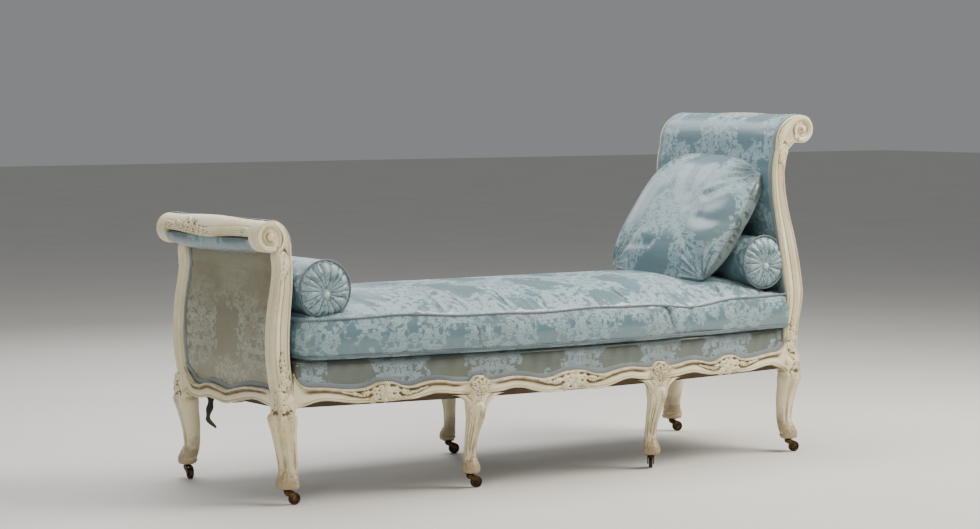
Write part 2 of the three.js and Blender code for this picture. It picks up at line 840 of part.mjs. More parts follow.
function crestRail(end) {
  const stations = 15;
  const rings = [];
  const outlines = [];
  for (const y of spread(-innerY + joinGap, innerY - joinGap, stations)) {
    const share = Math.abs(y) / innerY;
    const bulge = crestBulge * (1 - smooth(0, 1, share));
    const from = crestFromAngle + crestDipAngle * smooth(0, 0.8, share);
    const outerArc = arcPoints(scrollCentre(end), end.voluteRadius + bulge, from, crestToAngle, 7);
    const innerArc = arcPoints(scrollCentre(end), end.voluteRadius - crestThick, crestToAngle, from, 6);
    const section = [...outerArc, ...innerArc];
    outlines.push(section);
    rings.push(section.map((p) => atEnd(end, p, y)));
  }
  return loft(rings, outlines[0], outlines[stations - 1]).add(crestDowels(end, 0));
}

// Padded roll under the crest rail.
function scrollRoll(end) {
  const centre = scrollCentre(end);
  const under = end.voluteRadius - crestThick - rollClear;
  const full = end.voluteRadius - rollInset;
  const start = crestFromAngle - rollClearAngle;
  const section = [
    ...arcPoints(centre, full, start, -150, 9),
    ...arcPoints(centre, under, -180, start - fullTurn, 8),
  ];
  const rings = [-innerY + joinGap, innerY - joinGap].map((y) => section.map((p) => atEnd(end, p, y)));
  return loft(rings, section);
}

// The line of an end's inner side, from the webbing up and over to the crest rail.
function innerLine(end) {
  const { inner } = endEdges(end);
  return [
    new THREE.Vector2(inner[0].x, railShelf + joinGap),
    ...inner,
    ...overCurve(end, 0, 168, 96, 6),
    new THREE.Vector2(end.scrollReach, postTop + end.scrollRise + end.voluteRadius),
  ];
}

// Moves every point of a line to its left by the distance given for it.
function offsetLine(line, distanceAt) {
  return line.map((at, i) => {
    const before = line[Math.max(0, i - 1)];
    const after = line[Math.min(line.length - 1, i + 1)];
    const along = after.clone().sub(before).normalize();
    return at.clone().addScaledVector(new THREE.Vector2(-along.y, along.x), distanceAt(i / (line.length - 1)));
  });
}

// Inner pad: follows the inner side and rolls over the top to meet the crest rail. It laps the uprights'
// inner sides with a thin wing, and fills the space between them with its body.
function innerPad(end) {
  const line = innerLine(end);
  const wing = uprightFace - padSetback;
  const body = innerY - joinGap;
  const bands = [-wing, -innerY, -body, -body / 2, 0, body / 2, body, innerY, wing];
  const rings = bands.map((y) => {
    const crown = padCrown * (1 - (Math.abs(y) / wing) ** 4);
    const depth = Math.abs(y) > body ? joinGap * 1.4 : padProud - padThick;
    const swell = (t) => padProud + crown * smooth(0.1, 0.3, t) * (1 - smooth(0.85, 1, t));
    return [...offsetLine(line, swell), ...offsetLine(line, () => depth).reverse()];
  });
  const placed = rings.map((ring, i) => ring.map((p) => atEnd(end, p, bands[i])));
  const posts = [-1, 1].map((way) =>
    block(
      [-postX - postSize, way * postY - postSize / 2 - joinGap, railShelf],
      [postX + postSize, way * postY + postSize, postTop + joinGap],
    ),
  );
  return loft(placed, rings[0], rings[rings.length - 1]).subtract(posts[0]).subtract(posts[1]);
}

// All that lies outboard of an end's pad, as a cutter for what is pressed against it.
function endSpace(end) {
  const face = offsetLine(innerLine(end), () => padProud + padCrown + seatGap);
  const far = postX + postSize;
  const section = [...face, new THREE.Vector2(far, face[face.length - 1].y), new THREE.Vector2(far, face[0].y)];
  const rings = [-postX, postX].map((y) => section.map((p) => atEnd(end, p, y)));
  return loft(rings, section);
}

// Outer panel of cloth on its backing, let in behind the uprights' outer edge.
function outerPanel(end) {
  const { outer } = endEdges(end);
  const face = [new THREE.Vector2(outer[0].x, railShelf + joinGap), ...outer.slice(1)].map(
    (p) => new THREE.Vector2(p.x - panelSetback, p.y),
  );
  const back = face.map((p) => new THREE.Vector2(p.x - panelThick, p.y));
  const section = [...face, ...back.reverse()];
  const rings = [-innerY + joinGap, innerY - joinGap].map((y) => section.map((p) => atEnd(end, p, y)));
  return loft(rings, section);
}

// Seat

// Jute straps from front to back and along the length, as one woven net.
function webbing() {
  const half = squabHalf - deckClear;
  const backEdge = postY + postSize / 2 - railSetback - railLip - deckClear;
  let net = null;
  const lay = (strap) => {
    net = net ? net.add(strap) : strap;
  };
  for (const x of spread(-half + webWide / 2, half - webWide / 2, webCross)) {
    const narrow = Math.min(frontFace(x - webWide / 2), frontFace(x + webWide / 2));
    const frontEdge = -(narrow - railLip - deckClear);
    lay(block([x - webWide / 2, frontEdge, webBottom], [x + webWide / 2, backEdge, webBottom + webThick]));
  }
  const frontMost = -(postY - postSize);
  for (const y of spread(frontMost, -frontMost, webAlong)) {
    lay(block([-half, y - webWide / 2, webBottom], [half, y + webWide / 2, webBottom + webThick]));
  }
  return net;
}

// Plan outline of the stuffed seat or the squab: straight at the back and ends, bowed at the front.
// A lap draws the high end's front corner out over the upright's face.
function seatPlan(half, ahead, backEdge, inset, corner, count, lap) {
  const points = [];
  const frontY = (x) => -(frontFace(x) + ahead - inset);
  const reach = half - inset;
  const front = frontY(reach);
  const back = backEdge - inset;
  const push = (x, y) => points.push(new THREE.Vector2(x, y));
  for (const x of spread(-reach + corner, reach - corner, count)) push(x, frontY(x));
  if (lap > 0) {
    push(reach + lap * 0.6, front + squabPiping / 3);
    push(reach + lap, front + 2 * squabPiping);
    push(reach + lap * 0.8, -uprightFace - seatGap * 3);
    push(reach, -uprightFace - seatGap);
  } else {
    push(reach - corner * 0.6, front + corner * 0.1);
    push(reach - corner * 0.3, front + corner * 0.3);
    push(reach - corner * 0.1, front + corner * 0.6);
    push(reach, front + corner);
  }
  for (const y of spread(front + 2 * corner, back - corner, 4)) push(reach, y);
  push(reach - corner * 0.3, back - corner * 0.3);
  for (const x of spread(reach - corner, -reach + corner, count)) push(x, back);
  push(-reach + corner * 0.3, back - corner * 0.3);
  for (const y of spread(back - corner, front + 2 * corner, 4)) push(-reach, y);
  push(-reach, front + corner);
  push(-reach + corner * 0.3, front + corner * 0.3);
  return points;
}

function seatDeck() {
  const backEdge = postY + postSize / 2 - railSetback - railLip - joinGap;
  const levels = [
    [deckBottom, 0],
    [deckTop - deckRound, 0],
    [deckTop - deckRound / 3, deckRound / 3],
    [deckTop, deckRound],
  ];
  const rings = levels.map(([height, inset]) =>
    seatPlan(squabHalf, -railLip - joinGap, backEdge, inset, deckRound, 11, 0).map(
      (p) => new THREE.Vector3(p.x, p.y, height),
    ),
  );
  const flat = (ring) => ring.map((p) => new THREE.Vector2(p.x, p.y));
  return loft(rings, flat(rings[0]), flat(rings[rings.length - 1]));
}

// Height of the squab's crowned top over a point of its plan.
function squabHeight(x, y) {
  const along = Math.min(1, Math.abs(x) / squabHalf);
  const reach = (postY + frontFace(x) + squabProud) / 2;
  const across = Math.min(1, Math.abs(y - (postY - frontFace(x) - squabProud) / 2) / reach);
  return squabTop + squabCrown * (1 - along ** 6) * (1 - across ** 2.5);
}

function squab() {
  const backEdge = postY - railLip;
  const levels = [
    { height: 0, inset: squabCorner, top: false },
    { height: 0, inset: squabPiping, top: false },
    { height: squabPiping, inset: 0, top: false },
    { height: squabPiping * 3, inset: squabPiping, top: false },
    { height: squabThick / 2, inset: squabPiping - squabSwell, top: false },
    { height: squabThick - squabPiping * 3, inset: squabPiping, top: false },
    { height: squabThick - squabPiping, inset: 0, top: false },
    { height: squabThick, inset: squabPiping, top: false },
    { height: 0, inset: squabCorner, top: true },
    { height: 0, inset: squabCorner * 3, top: true },
    { height: 0, inset: squabCorner * 5, top: true },
  ];
  const rings = levels.map(({ height, inset, top }) =>
    seatPlan(
      squabHalf - squabSwell,
      squabProud - squabSwell,
      backEdge,
      inset,
      squabCorner,
      15,
      inset < squabCorner ? squabLap : 0,
    ).map((p) => new THREE.Vector3(p.x, p.y, top ? squabHeight(p.x, p.y) : squabBottom + height)),
  );
  const startPoint = new THREE.Vector3(0, squabMid, squabBottom);
  const endPoint = new THREE.Vector3(0, squabMid, squabHeight(0, squabMid));
  const notch = block(
    [squabHalf + seatGap, -uprightFace - 2 * seatGap, squabBottom - overrun],
    [postX + postSize, postY, squabTop + squabCrown],
  );
  return capsule(startPoint, rings, endPoint).subtract(notch);
}

// Height of a bolster's axis, where it lies pressed into the squab's top.
function bolsterAxis(x) {
  return squabHeight(x, squabMid) + bolsterRadius - (x < 0 ? lowBolsterSink : highBolsterSink);
}

// A bolster along Y: a round body whose ends are gathered into pleats round a button.
function bolster(x, grow) {
  const sides = bolsterPleats * 2;
  const radius = bolsterRadius + grow;
  const half = bolsterLong / 2 + grow;
  const high = bolsterAxis(x);
  const ringAt = (radiusShare, y, pleat) => {
    const ring = [];
    for (let i = 0; i < sides; i++) {
      const angle = (2 * Math.PI * i) / sides;
      const fold = i % 2 ? pleat : 0;
      const reach = radius * radiusShare;
      ring.push(
        new THREE.Vector3(
          x + reach * Math.cos(angle),
          squabMid + y - Math.sign(y) * fold,
          high - bolsterDroop * (1 - radiusShare) + reach * Math.sin(angle),
        ),
      );
    }
    return ring;
  };
  const dome = bolsterDome;
  const endRings = [
    ringAt(0.13, -half - dome * buttonDishShare, 0),
    ringAt(0.35, -half - dome * 0.92, bolsterPleat),
    ringAt(0.7, -half - dome * 0.75, bolsterPleat),
    ringAt(0.93, -half - dome * 0.25, bolsterPleat / 2),
    ringAt(1, -half, 0),
  ];
  const body = [ringAt(1, 0, 0)];
  const farRings = [
    ringAt(1, half, 0),
    ringAt(0.93, half + dome * 0.25, bolsterPleat / 2),
    ringAt(0.7, half + dome * 0.75, bolsterPleat),
    ringAt(0.35, half + dome * 0.92, bolsterPleat),
    ringAt(0.13, half + dome * buttonDishShare, 0),
  ];
  const start = new THREE.Vector3(x, squabMid - half - dome * 0.5, high - bolsterDroop);
  const end = new THREE.Vector3(x, squabMid + half + dome * 0.5, high - bolsterDroop);
  return capsule(start, [...endRings, ...body, ...farRings], end);
}

function bolsterButton(x, way) {
  const profile = [
    [0, 0],
    [buttonRadius * 0.8, 0],
    [buttonRadius, buttonHigh * 0.4],
    [buttonRadius * 0.7, buttonHigh * 0.85],
    [0, buttonHigh],
  ].map(([r, h]) => new THREE.Vector2(r, h));
  const button = new THREE.LatheGeometry(profile, 12);
  if (way < 0) button.rotateX(Math.PI);
  const face = bolsterLong / 2 + bolsterDome * buttonDishShare + joinGap;
  button.translate(x, squabMid + way * face, bolsterAxis(x) - bolsterDroop);
  return toSolid(button);
}

// The square pillow: two crowned faces that meet in a knife edge, drawn in between the corners. It stands
// on the squab and leans back on the high bolster.
function pillow(bolsterX, neighbours) {
  const grid = 15;
  const half = (grid - 1) / 2;
  const points = [];
  const side = (front) => {
    const rows = [];
    for (let j = 0; j < grid; j++) {
      const row = [];
      for (let i = 0; i < grid; i++) {
        const u = (i - half) / half;
        const v = (j - half) / half;
        const across = (u * pillowWide * (1 - pillowDrawnShare * (1 - v * v) * u * u)) / 2;
        const up = (v * pillowHigh * (1 - pillowDrawnShare * (1 - u * u) * v * v)) / 2;
        const crown = ((1 - u ** 4) * (1 - v ** 4)) ** 0.75;
        row.push(new THREE.Vector3((front * crown * pillowThick) / 2, across, up));
      }
      rows.push(row);
    }
    return rows;
  };
  const faces = [];
  for (const front of [-1, 1]) {
    const rows = side(front);
    const start = points.length;
    rows.flat().forEach((p) => points.push(p));
    for (let j = 0; j + 1 < grid; j++) {
      for (let i = 0; i + 1 < grid; i++) {
        const a = start + j * grid + i;
        const quad = [a, a + 1, a + grid, a + 1, a + grid + 1, a + grid];
        faces.push(...(front > 0 ? quad : quad.reverse()));
      }
    }
  }
  const geometry = new THREE.BufferGeometry();
  geometry.setAttribute("position", new THREE.Float32BufferAttribute(points.flatMap((p) => [p.x, p.y, p.z]), 3));
  geometry.setIndex(faces);
  const lean = THREE.MathUtils.degToRad(pillowLeanAngle);
  geometry.rotateX(THREE.MathUtils.degToRad(pillowRollAngle));
  geometry.rotateY(lean);
  geometry.rotateZ(THREE.MathUtils.degToRad(pillowTurnAngle));
  geometry.computeBoundingBox();
  const high = squabTop + squabCrown - pillowSink - geometry.boundingBox.min.z;
  const apart = bolsterRadius + pillowThick / 2 - pillowPress;
  const rise = bolsterAxis(bolsterX) - high;
  const along = bolsterX - (apart + rise * Math.sin(lean)) / Math.cos(lean);
  geometry.translate(along, squabMid - pillowAhead, high);
  let solid = toSolid(geometry);
  for (const neighbour of neighbours) solid = solid.subtract(neighbour);
  return solid.decompose().sort((a, b) => b.volume() - a.volume())[0];
}

// Castors

function castorPlate() {
  const headTop = crownBottom - runGap;
  const profile = [
    [0, headTop - pinHeadHigh],
    [pinHeadRadius, headTop - pinHeadHigh],
    [pinHeadRadius, headTop],
    [pinRadius, headTop],
    [pinRadius, flangeBottom],
    [flangeRadius, flangeBottom],
    [flangeRadius, flangeBottom + flangeThick],
    [0, flangeBottom + flangeThick],
  ].map(([r, h]) => new THREE.Vector2(r, h));
  const plate = new THREE.LatheGeometry(profile, 10);
  plate.rotateX(Math.PI / 2);
  return toSolid(plate);
}

// The horn: a crown under the plate and two cheeks that sweep back to the axle.
function castorHorn() {
  const crownTop = crownBottom + crownThick;
  const shape = new THREE.Shape();
  shape.moveTo(-crownRadius, crownTop);
  shape.lineTo(crownRadius, crownTop);
  shape.quadraticCurveTo(castorTrail + axleBoss, crownBottom, castorTrail + axleBoss, wheelHeight);
  shape.absarc(castorTrail, wheelHeight, axleBoss, 0, -Math.PI, true);
  shape.quadraticCurveTo(castorTrail - axleBoss, crownBottom - axleBoss, -crownRadius, crownBottom);
  const wide = wheelWide + 2 * (wheelSideClear + cheekThick);
  const body = new THREE.ExtrudeGeometry(shape, { depth: wide, bevelEnabled: false, curveSegments: 4 });
  body.rotateX(Math.PI / 2);
  body.translate(0, wide / 2, 0);
  const slotHalf = wheelWide / 2 + wheelSideClear;
  const slot = block(
    [-crownRadius - overrun, -slotHalf, -overrun],
    [castorTrail + wheelRadius + overrun, slotHalf, crownBottom],
  );
  const bore = rod("z", [0, 0, 0], pinRadius + runGap, crownBottom - overrun, crownTop + overrun);
  const axle = rod("y", [castorTrail, 0, wheelHeight], axleRadius, -wide / 2, wide / 2, 10);
  return toSolid(body).subtract(slot).subtract(bore).add(axle);
}

function castorWheel() {
  const half = wheelWide / 2;
  const profile = [
    [wheelBore, -half],
    [wheelRadius, -half],
    [wheelRadius, half],
    [wheelBore, half],
    [wheelBore, -half],
  ].map(([r, h]) => new THREE.Vector2(r, h));
  const wheel = new THREE.LatheGeometry(profile, wheelSides);
  wheel.rotateY(Math.PI / wheelSides);
  return toSolid(wheel);
}

// Builds the frame

for (const [name, sideX, sideY] of [
  ["leg_front_left", -1, -1],
  ["leg_front_right", 1, -1],
  ["leg_rear_left", -1, 1],
  ["leg_rear_right", 1, 1],
]) {
  couch.add(namedMesh(name, cornerLeg(sideX, sideY), paint));
}
couch.add(namedMesh("leg_front_mid_left", middleFrontLeg(-1), paint));
couch.add(namedMesh("leg_front_mid_right", middleFrontLeg(1), paint));
couch.add(namedMesh("leg_rear_mid", middleBackLeg(), paint));

const postInside = postX - postSize / 2;
const midOutside = midX + midPostSize / 2;
const midInside = midX - midPostSize / 2;
const leftRail = frontRail(-postInside, -midOutside, waveToCornerShares, waveToMiddleLegShares);
const middleRail = frontRail(-midInside, midInside, waveAcrossMiddleShares, waveAcrossMiddleShares);
const rightRail = frontRail(midOutside, postInside, waveToMiddleLegShares, waveToCornerShares);
couch.add(namedMesh("rail_front_left", leftRail, paint));
couch.add(namedMesh("rail_front_middle", middleRail, paint));
couch.add(namedMesh("rail_front_right", rightRail, paint));
couch.add(namedMesh("rail_rear_left", backRail(-postInside, -midPostSize / 2), paint));
couch.add(namedMesh("rail_rear_right", backRail(midPostSize / 2, postInside), paint));

for (const sideX of [-1, 1]) {
  const x = sideX * midX;
  const front = -(frontFace(x) + beadProud - midPostSize) + joinGap;
  const back = postY + postSize / 2 - railSetback - railDepth - joinGap;
  const top = railShelf - joinGap;
  const brace = block([x - braceWide / 2, front, top - braceHigh], [x + braceWide / 2, back, top]);
  couch.add(namedMesh(sideX < 0 ? "cross_brace_left" : "cross_brace_right", brace, beech));
}

for (const [endName, end] of Object.entries(ends)) {
  couch.add(namedMesh(`end_rail_${endName}`, endRail(end), paint));
  couch.add(namedMesh(`upright_${endName}_front`, upright(end, -1), paint));
  couch.add(namedMesh(`upright_${endName}_rear`, upright(end, 1), paint));
  couch.add(namedMesh(`crest_rail_${endName}`, crestRail(end), paint));
  couch.add(namedMesh(`scroll_roll_${endName}`, scrollRoll(end), damask));
  couch.add(namedMesh(`inner_pad_${endName}`, innerPad(end), damask));
  couch.add(namedMesh(`outer_panel_${endName}`, outerPanel(end), fadedDamask));
}

// Builds the seat and its loose pieces

couch.add(namedMesh("seat_webbing", webbing(), jute));
couch.add(namedMesh("seat_deck", seatDeck(), damask));

const bolsterReach = (end, press) => {
  const beside = endEdges(end).inner.filter((p) => p.y > squabTop && p.y < squabTop + 2 * bolsterRadius);
  const nearest = Math.min(...beside.map((p) => p.x));
  return postX + nearest - padProud - padCrown - bolsterRadius + press;
};
const lowBolsterX = -bolsterReach(ends.low, -bolsterClear);
const highBolsterX = bolsterReach(ends.high, bolsterPress);
const lowBolster = bolster(lowBolsterX, 0);
const highBolster = bolster(highBolsterX, 0).subtract(endSpace(ends.high));
const squabBlank = squab();
// The high bolster's hollow runs on to the squab's front edge, because the bolster is drawn out that way.
const wayOut = bolster(highBolsterX, seatGap).translate([0, -bolsterLong / 3, 0]);
const squabSolid = squabBlank
  .subtract(bolster(lowBolsterX, seatGap))
  .subtract(bolster(highBolsterX, seatGap))
  .subtract(wayOut);
couch.add(namedMesh("seat_squab", squabSolid, damask));
couch.add(namedMesh("bolster_low", lowBolster, damask));
couch.add(namedMesh("bolster_high", highBolster, damask));
for (const [name, x, way] of [
  ["bolster_low_button_front", lowBolsterX, -1],
  ["bolster_low_button_rear", lowBolsterX, 1],
  ["bolster_high_button_front", highBolsterX, -1],
  ["bolster_high_button_rear", highBolsterX, 1],
]) {
  couch.add(namedMesh(name, bolsterButton(x, way), damask));
}
const pillowSolid = pillow(highBolsterX, [
  squabBlank.translate([0, 0, seatGap]),
  bolster(highBolsterX, seatGap),
  endSpace(ends.high),
]);
couch.add(namedMesh("pillow", pillowSolid, damask));

// Builds the castors

const midFootY = -(frontFace(midX) + beadProud - midPostSize / 2) + midFootSetback;
const cornerFoot = [postX - footInsetX, postY + footSplayY];
const plateSolid = castorPlate();
const hornSolid = castorHorn();
const wheelSolid = castorWheel();
for (const [name, x, y, heading] of [
  ["front_left", -cornerFoot[0], -cornerFoot[1], -35],
  ["front_mid_left", -midX, midFootY, -12],
  ["front_mid_right", midX, midFootY, 52],
  ["front_right", cornerFoot[0], -cornerFoot[1], -20],
  ["rear_left", -cornerFoot[0], cornerFoot[1], -95],
  ["rear_mid", 0, postY - railSetback, -18],
  ["rear_right", cornerFoot[0], cornerFoot[1], -25],
]) {
  const plate = namedMesh(`castor_plate_${name}`, plateSolid, brass);
  plate.position.set(x, y, 0);
  couch.add(plate);
  const swivel = new THREE.Group();
  swivel.position.set(x, y, 0);
  swivel.rotation.z = THREE.MathUtils.degToRad(heading);
  swivel.add(namedMesh(`castor_horn_${name}`, hornSolid, brass));
  const wheel = namedMesh(`castor_wheel_${name}`, wheelSolid, wheelBrown);
  wheel.position.set(castorTrail, 0, wheelHeight);
  swivel.add(wheel);
  couch.add(swivel);
}

// The origin is the middle of the couch's footprint, on the floor.
const extent = new THREE.Box3().setFromObject(couch);
const middle = extent.getCenter(new THREE.Vector3());
const model = new THREE.Group();
couch.position.set(-middle.x, -middle.y, -extent.min.z);
model.add(couch);

export default model;
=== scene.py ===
"""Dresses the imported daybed: carved and painted frame, silk upholstery, loose cushions, castors and a studio."""

import logging
import math
from dataclasses import dataclass
from enum import Enum

import bpy
import bmesh
import numpy as np
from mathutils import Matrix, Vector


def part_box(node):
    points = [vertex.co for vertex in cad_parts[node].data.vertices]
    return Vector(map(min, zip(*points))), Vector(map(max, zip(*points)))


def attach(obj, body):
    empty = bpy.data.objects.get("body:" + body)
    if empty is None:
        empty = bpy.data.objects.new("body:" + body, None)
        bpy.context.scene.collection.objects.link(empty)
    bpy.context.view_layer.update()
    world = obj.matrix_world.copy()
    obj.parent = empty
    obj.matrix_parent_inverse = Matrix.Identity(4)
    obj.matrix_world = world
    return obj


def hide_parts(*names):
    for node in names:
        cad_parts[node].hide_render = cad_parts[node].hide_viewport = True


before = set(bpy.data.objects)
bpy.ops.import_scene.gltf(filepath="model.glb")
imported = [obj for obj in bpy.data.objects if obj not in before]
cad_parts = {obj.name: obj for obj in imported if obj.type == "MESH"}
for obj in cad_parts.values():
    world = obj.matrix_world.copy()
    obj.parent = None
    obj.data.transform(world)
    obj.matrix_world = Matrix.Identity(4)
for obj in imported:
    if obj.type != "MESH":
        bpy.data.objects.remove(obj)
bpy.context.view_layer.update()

log = logging.getLogger("daybed")

Array = np.ndarray
Material = bpy.types.Material
Mesh = bpy.types.Mesh
Socket = bpy.types.NodeSocket
Tree = bpy.types.NodeTree


# ---------------------------------------------------------------------------------------------------------
# Sizes shared with the frame, in metres, in the couch's own axes: x from the middle of the length, y from the
# middle of the depth, z from the floor. SHIFT carries them into the frame.


@dataclass(frozen=True)
class EndSizes:
    """One scrolled end: its side, the places of its scroll and the S of its uprights."""

    name: str
    side: int
    scroll_rise: float
    scroll_reach: float
    volute: float
    over_reach: float
    over_rise: float
    swell: float
    wide: float
    meet_angle: float
    edge_shares: tuple[tuple[float, float, float], ...]

    def at(self, plan: Array, y: Array | float) -> Array:
        """Points of the couch at (outboard from the post's middle, height) places and at a depth."""
        return joined(self.side * (LAYOUT.post_x + plan[..., 0]), y, plan[..., 1])


@dataclass(frozen=True)
class Layout:
    """The driving sizes that the dressed pieces follow."""

    post_x: float = 0.906
    post_y: float = 0.278
    post_half: float = 0.027
    mid_x: float = 0.325
    mid_half: float = 0.028
    bow: float = 0.090
    rail_setback: float = 0.005
    rail_top: float = 0.305
    rail_bottom: float = 0.265
    rail_shelf: float = 0.283
    rail_depth: float = 0.042
    rail_lip: float = 0.012
    wave: float = 0.016
    end_proud: float = 0.004
    post_top: float = 0.312
    upright_face: float = 0.292
    upright_deep: float = 0.045
    deck_top: float = 0.388
    gap: float = 0.0003

    @property
    def front_line(self) -> float:
        """Front rail's face at the corner posts, from the middle of the depth."""
        return self.post_y + self.post_half - self.rail_setback

    @property
    def end_line(self) -> float:
        """End rail's face, from the middle of the length."""
        return self.post_x + self.post_half + self.end_proud

    @property
    def inner_y(self) -> float:
        """Inner face of an upright, from the middle of the depth."""
        return self.upright_face - self.upright_deep

    @property
    def shift(self) -> Array:
        """Where the couch's own origin lies in the frame."""
        left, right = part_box("castor_plate_front_left"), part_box("castor_plate_front_right")
        front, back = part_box("upright_low_front"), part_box("upright_low_rear")
        return np.array([(left[0][0] + right[1][0]) / 2, (front[0][1] + back[1][1]) / 2, 0.0])


LAYOUT = Layout()
SHIFT = LAYOUT.shift
LOW = EndSizes(
    "low", -1, 0.420, 0.045, 0.043, 0.060, 0.075, 0.038, 0.052, -128,
    ((0, 0.66, 1), (0.1, 0.84, 1), (0.2, 0.97, 1), (0.32, 1, 1), (0.45, 0.92, 0.99), (0.55, 0.78, 0.96),
     (0.65, 0.58, 0.88), (0.77, 0.42, 0.79), (0.86, 0.5, 0.79)),
)  # fmt: skip
HIGH = EndSizes(
    "high", 1, 0.693, 0.041, 0.043, 0.095, 0.094, 0.049, 0.066, -125,
    ((0, 0.5, 0.8), (0.09, 0.6, 0.82), (0.143, 0.72, 0.86), (0.2, 0.9, 0.92), (0.27, 1, 0.98), (0.36, 0.82, 1),
     (0.45, 0.55, 0.98), (0.54, 0.2, 0.9), (0.63, -0.2, 0.8), (0.72, -0.49, 0.72), (0.81, -0.61, 0.68),
     (0.87, -0.52, 0.68), (0.91, -0.29, 0.74)),
)  # fmt: skip

# Rises of the rails' edges as shares of LAYOUT.wave, from the middle of a bay (0) to its leg (1).
WAVE_TO_MIDDLE_LEG = (
    (0, 1.15, 0.15), (0.09, 1, 0.2), (0.2, 0.3, 0.3), (0.32, 0.15, 0.35), (0.44, 0.6, 0.7), (0.56, 0.85, 1.05),
    (0.68, 0.75, 1), (0.78, 0.45, 0.8), (0.88, 0.3, 0.6), (1, 0.2, 0.4),
)  # fmt: skip
WAVE_TO_CORNER = (
    (0, 1.15, 0.15), (0.09, 1, 0.2), (0.2, 0.3, 0.15), (0.36, 0.1, 0.2), (0.52, 0.3, 0.6), (0.66, 0.6, 0.85),
    (0.78, 0.72, 0.7), (0.86, 0.85, 0.3), (0.91, 1.15, 0), (0.95, 1.75, -0.15), (0.98, 2.5, -0.3), (1, 3.3, -0.4),
)  # fmt: skip
WAVE_ACROSS_MIDDLE = (
    (0, 1, 0.1), (0.12, 0.8, 0.05), (0.25, 0.1, -0.2), (0.36, -0.1, -0.1), (0.48, 0.25, 0.4), (0.6, 0.6, 1),
    (0.72, 0.7, 1.1), (0.81, 0.5, 0.8), (0.9, 0.3, 0.6), (1, 0.2, 0.4),
)  # fmt: skip
WAVE_ACROSS_END = (
    (-1, 2, -0.4), (-0.9, 0.8, 0), (-0.76, -0.8, -0.7), (-0.62, -1, -0.9), (-0.4, -0.35, -0.4),
    (-0.18, -0.65, -0.6), (0.02, -1, -0.85), (0.22, -0.4, -0.3), (0.45, 0.25, 0.4), (0.7, 0.45, 0.85),
    (0.88, 0.45, 0.5), (1, 0.1, -0.1),
)  # fmt: skip


class Slot(Enum):
    """The record's material slots."""

    PAINT = "painted_wood"
    BLUE = "blue_damask"
    FADED = "faded_damask"
    JUTE = "jute"
    BRASS = "castor_brass"
    WHEEL = "wheel_brown"


# The couch's long sides by name, how far a braid's back is sunk in the cloth, and the exponent that squares a
# post's section.
SIDES = (("front", -1), ("rear", 1))
BRAID_SUNK = 0.0002
SQUARENESS = 14


# ---------------------------------------------------------------------------------------------------------
# Curves and surfaces


def smooth(low: float, high: float, value: Array) -> Array:
    """Eased step: 3t² - 2t³ of the run from low to high."""
    t = np.clip((np.asarray(value, float) - low) / (high - low), 0, 1)
    return t * t * (3 - 2 * t)


def joined(*parts: Array | float) -> Array:
    """Arrays of matching shapes, stretched to one shape, side by side along a new last axis."""
    return np.stack(np.broadcast_arrays(*parts), axis=-1)


def bell(value: Array, middle: float, wide: float) -> Array:
    """Bell curve: e to the minus square of the distance from the middle over the width."""
    return np.exp(-(((value - middle) / wide) ** 2))


def unit(vectors: Array) -> Array:
    """Vectors over their lengths, along the last axis."""
    return vectors / np.maximum(np.linalg.norm(vectors, axis=-1, keepdims=True), 1e-12)


def circle(count: int) -> Array:
    """Angles of a whole turn in even steps, the last step left open."""
    return np.linspace(0, 2 * math.pi, count, endpoint=False)


def lengths(line: Array) -> Array:
    """Run along a polyline up to each of its points."""
    return np.concatenate([[0], np.cumsum(np.linalg.norm(np.diff(line, axis=0), axis=1))])


def left_of(line: Array) -> Array:
    """Unit directions to the left of a plan line."""
    ahead = unit(np.gradient(line, axis=0))
    return joined(-ahead[:, 1], ahead[:, 0])


def catmull(rows: Array, share: Array) -> Array:
    """Uniform Catmull-Rom curve through rows, with the end rows repeated.

    Args:
        rows: knots, one a row.
        share: places along the curve, 0 at the first knot and 1 at the last.
    Returns:
        One row for each place.
    """
    rows = np.asarray(rows, float)
    last = len(rows) - 1
    at = np.clip(np.asarray(share, float), 0, 1) * last
    i = np.minimum(np.floor(at).astype(int), last - 1)
    t = (at - i)[:, None]
    p0, p1 = rows[np.maximum(i - 1, 0)], rows[i]
    p2, p3 = rows[i + 1], rows[np.minimum(i + 2, last)]
    v0, v1 = (p2 - p0) / 2, (p3 - p1) / 2
    return (2 * p1 - 2 * p2 + v0 + v1) * t**3 + (-3 * p1 + 3 * p2 - 2 * v0 - v1) * t**2 + v0 * t + p1


def flow(at: Array, values: Array, where: Array) -> Array:
    """Cubic Hermite curve through (at, values), whose slopes are centred differences.

    Args:
        at: rising places of the knots.
        values: what the curve is there.
        where: places to read, of any shape.
    Returns:
        The curve at each place.
    """
    at, values, where = (np.asarray(a, float) for a in (at, values, where))
    slopes = np.gradient(values, at)
    i = np.clip(np.searchsorted(at, where) - 1, 0, len(at) - 2)
    span = at[i + 1] - at[i]
    t = np.clip((where - at[i]) / span, 0, 1)
    rise = values[i] * (1 + 2 * t) * (1 - t) ** 2 + values[i + 1] * t * t * (3 - 2 * t)
    return rise + span * (slopes[i] * t * (1 - t) ** 2 - slopes[i + 1] * t * t * (1 - t))


def evenly(line: Array, step: float, closed: bool = False) -> Array:
    """Points of a polyline set about one step apart along it."""
    line = np.vstack([line, line[:1]]) if closed else np.asarray(line, float)
    run = lengths(line)
    at = np.linspace(0, run[-1], max(2, int(round(run[-1] / step)) + 1))
    even = joined(*(np.interp(at, run, column) for column in line.T))
    return even[:-1] if closed else even


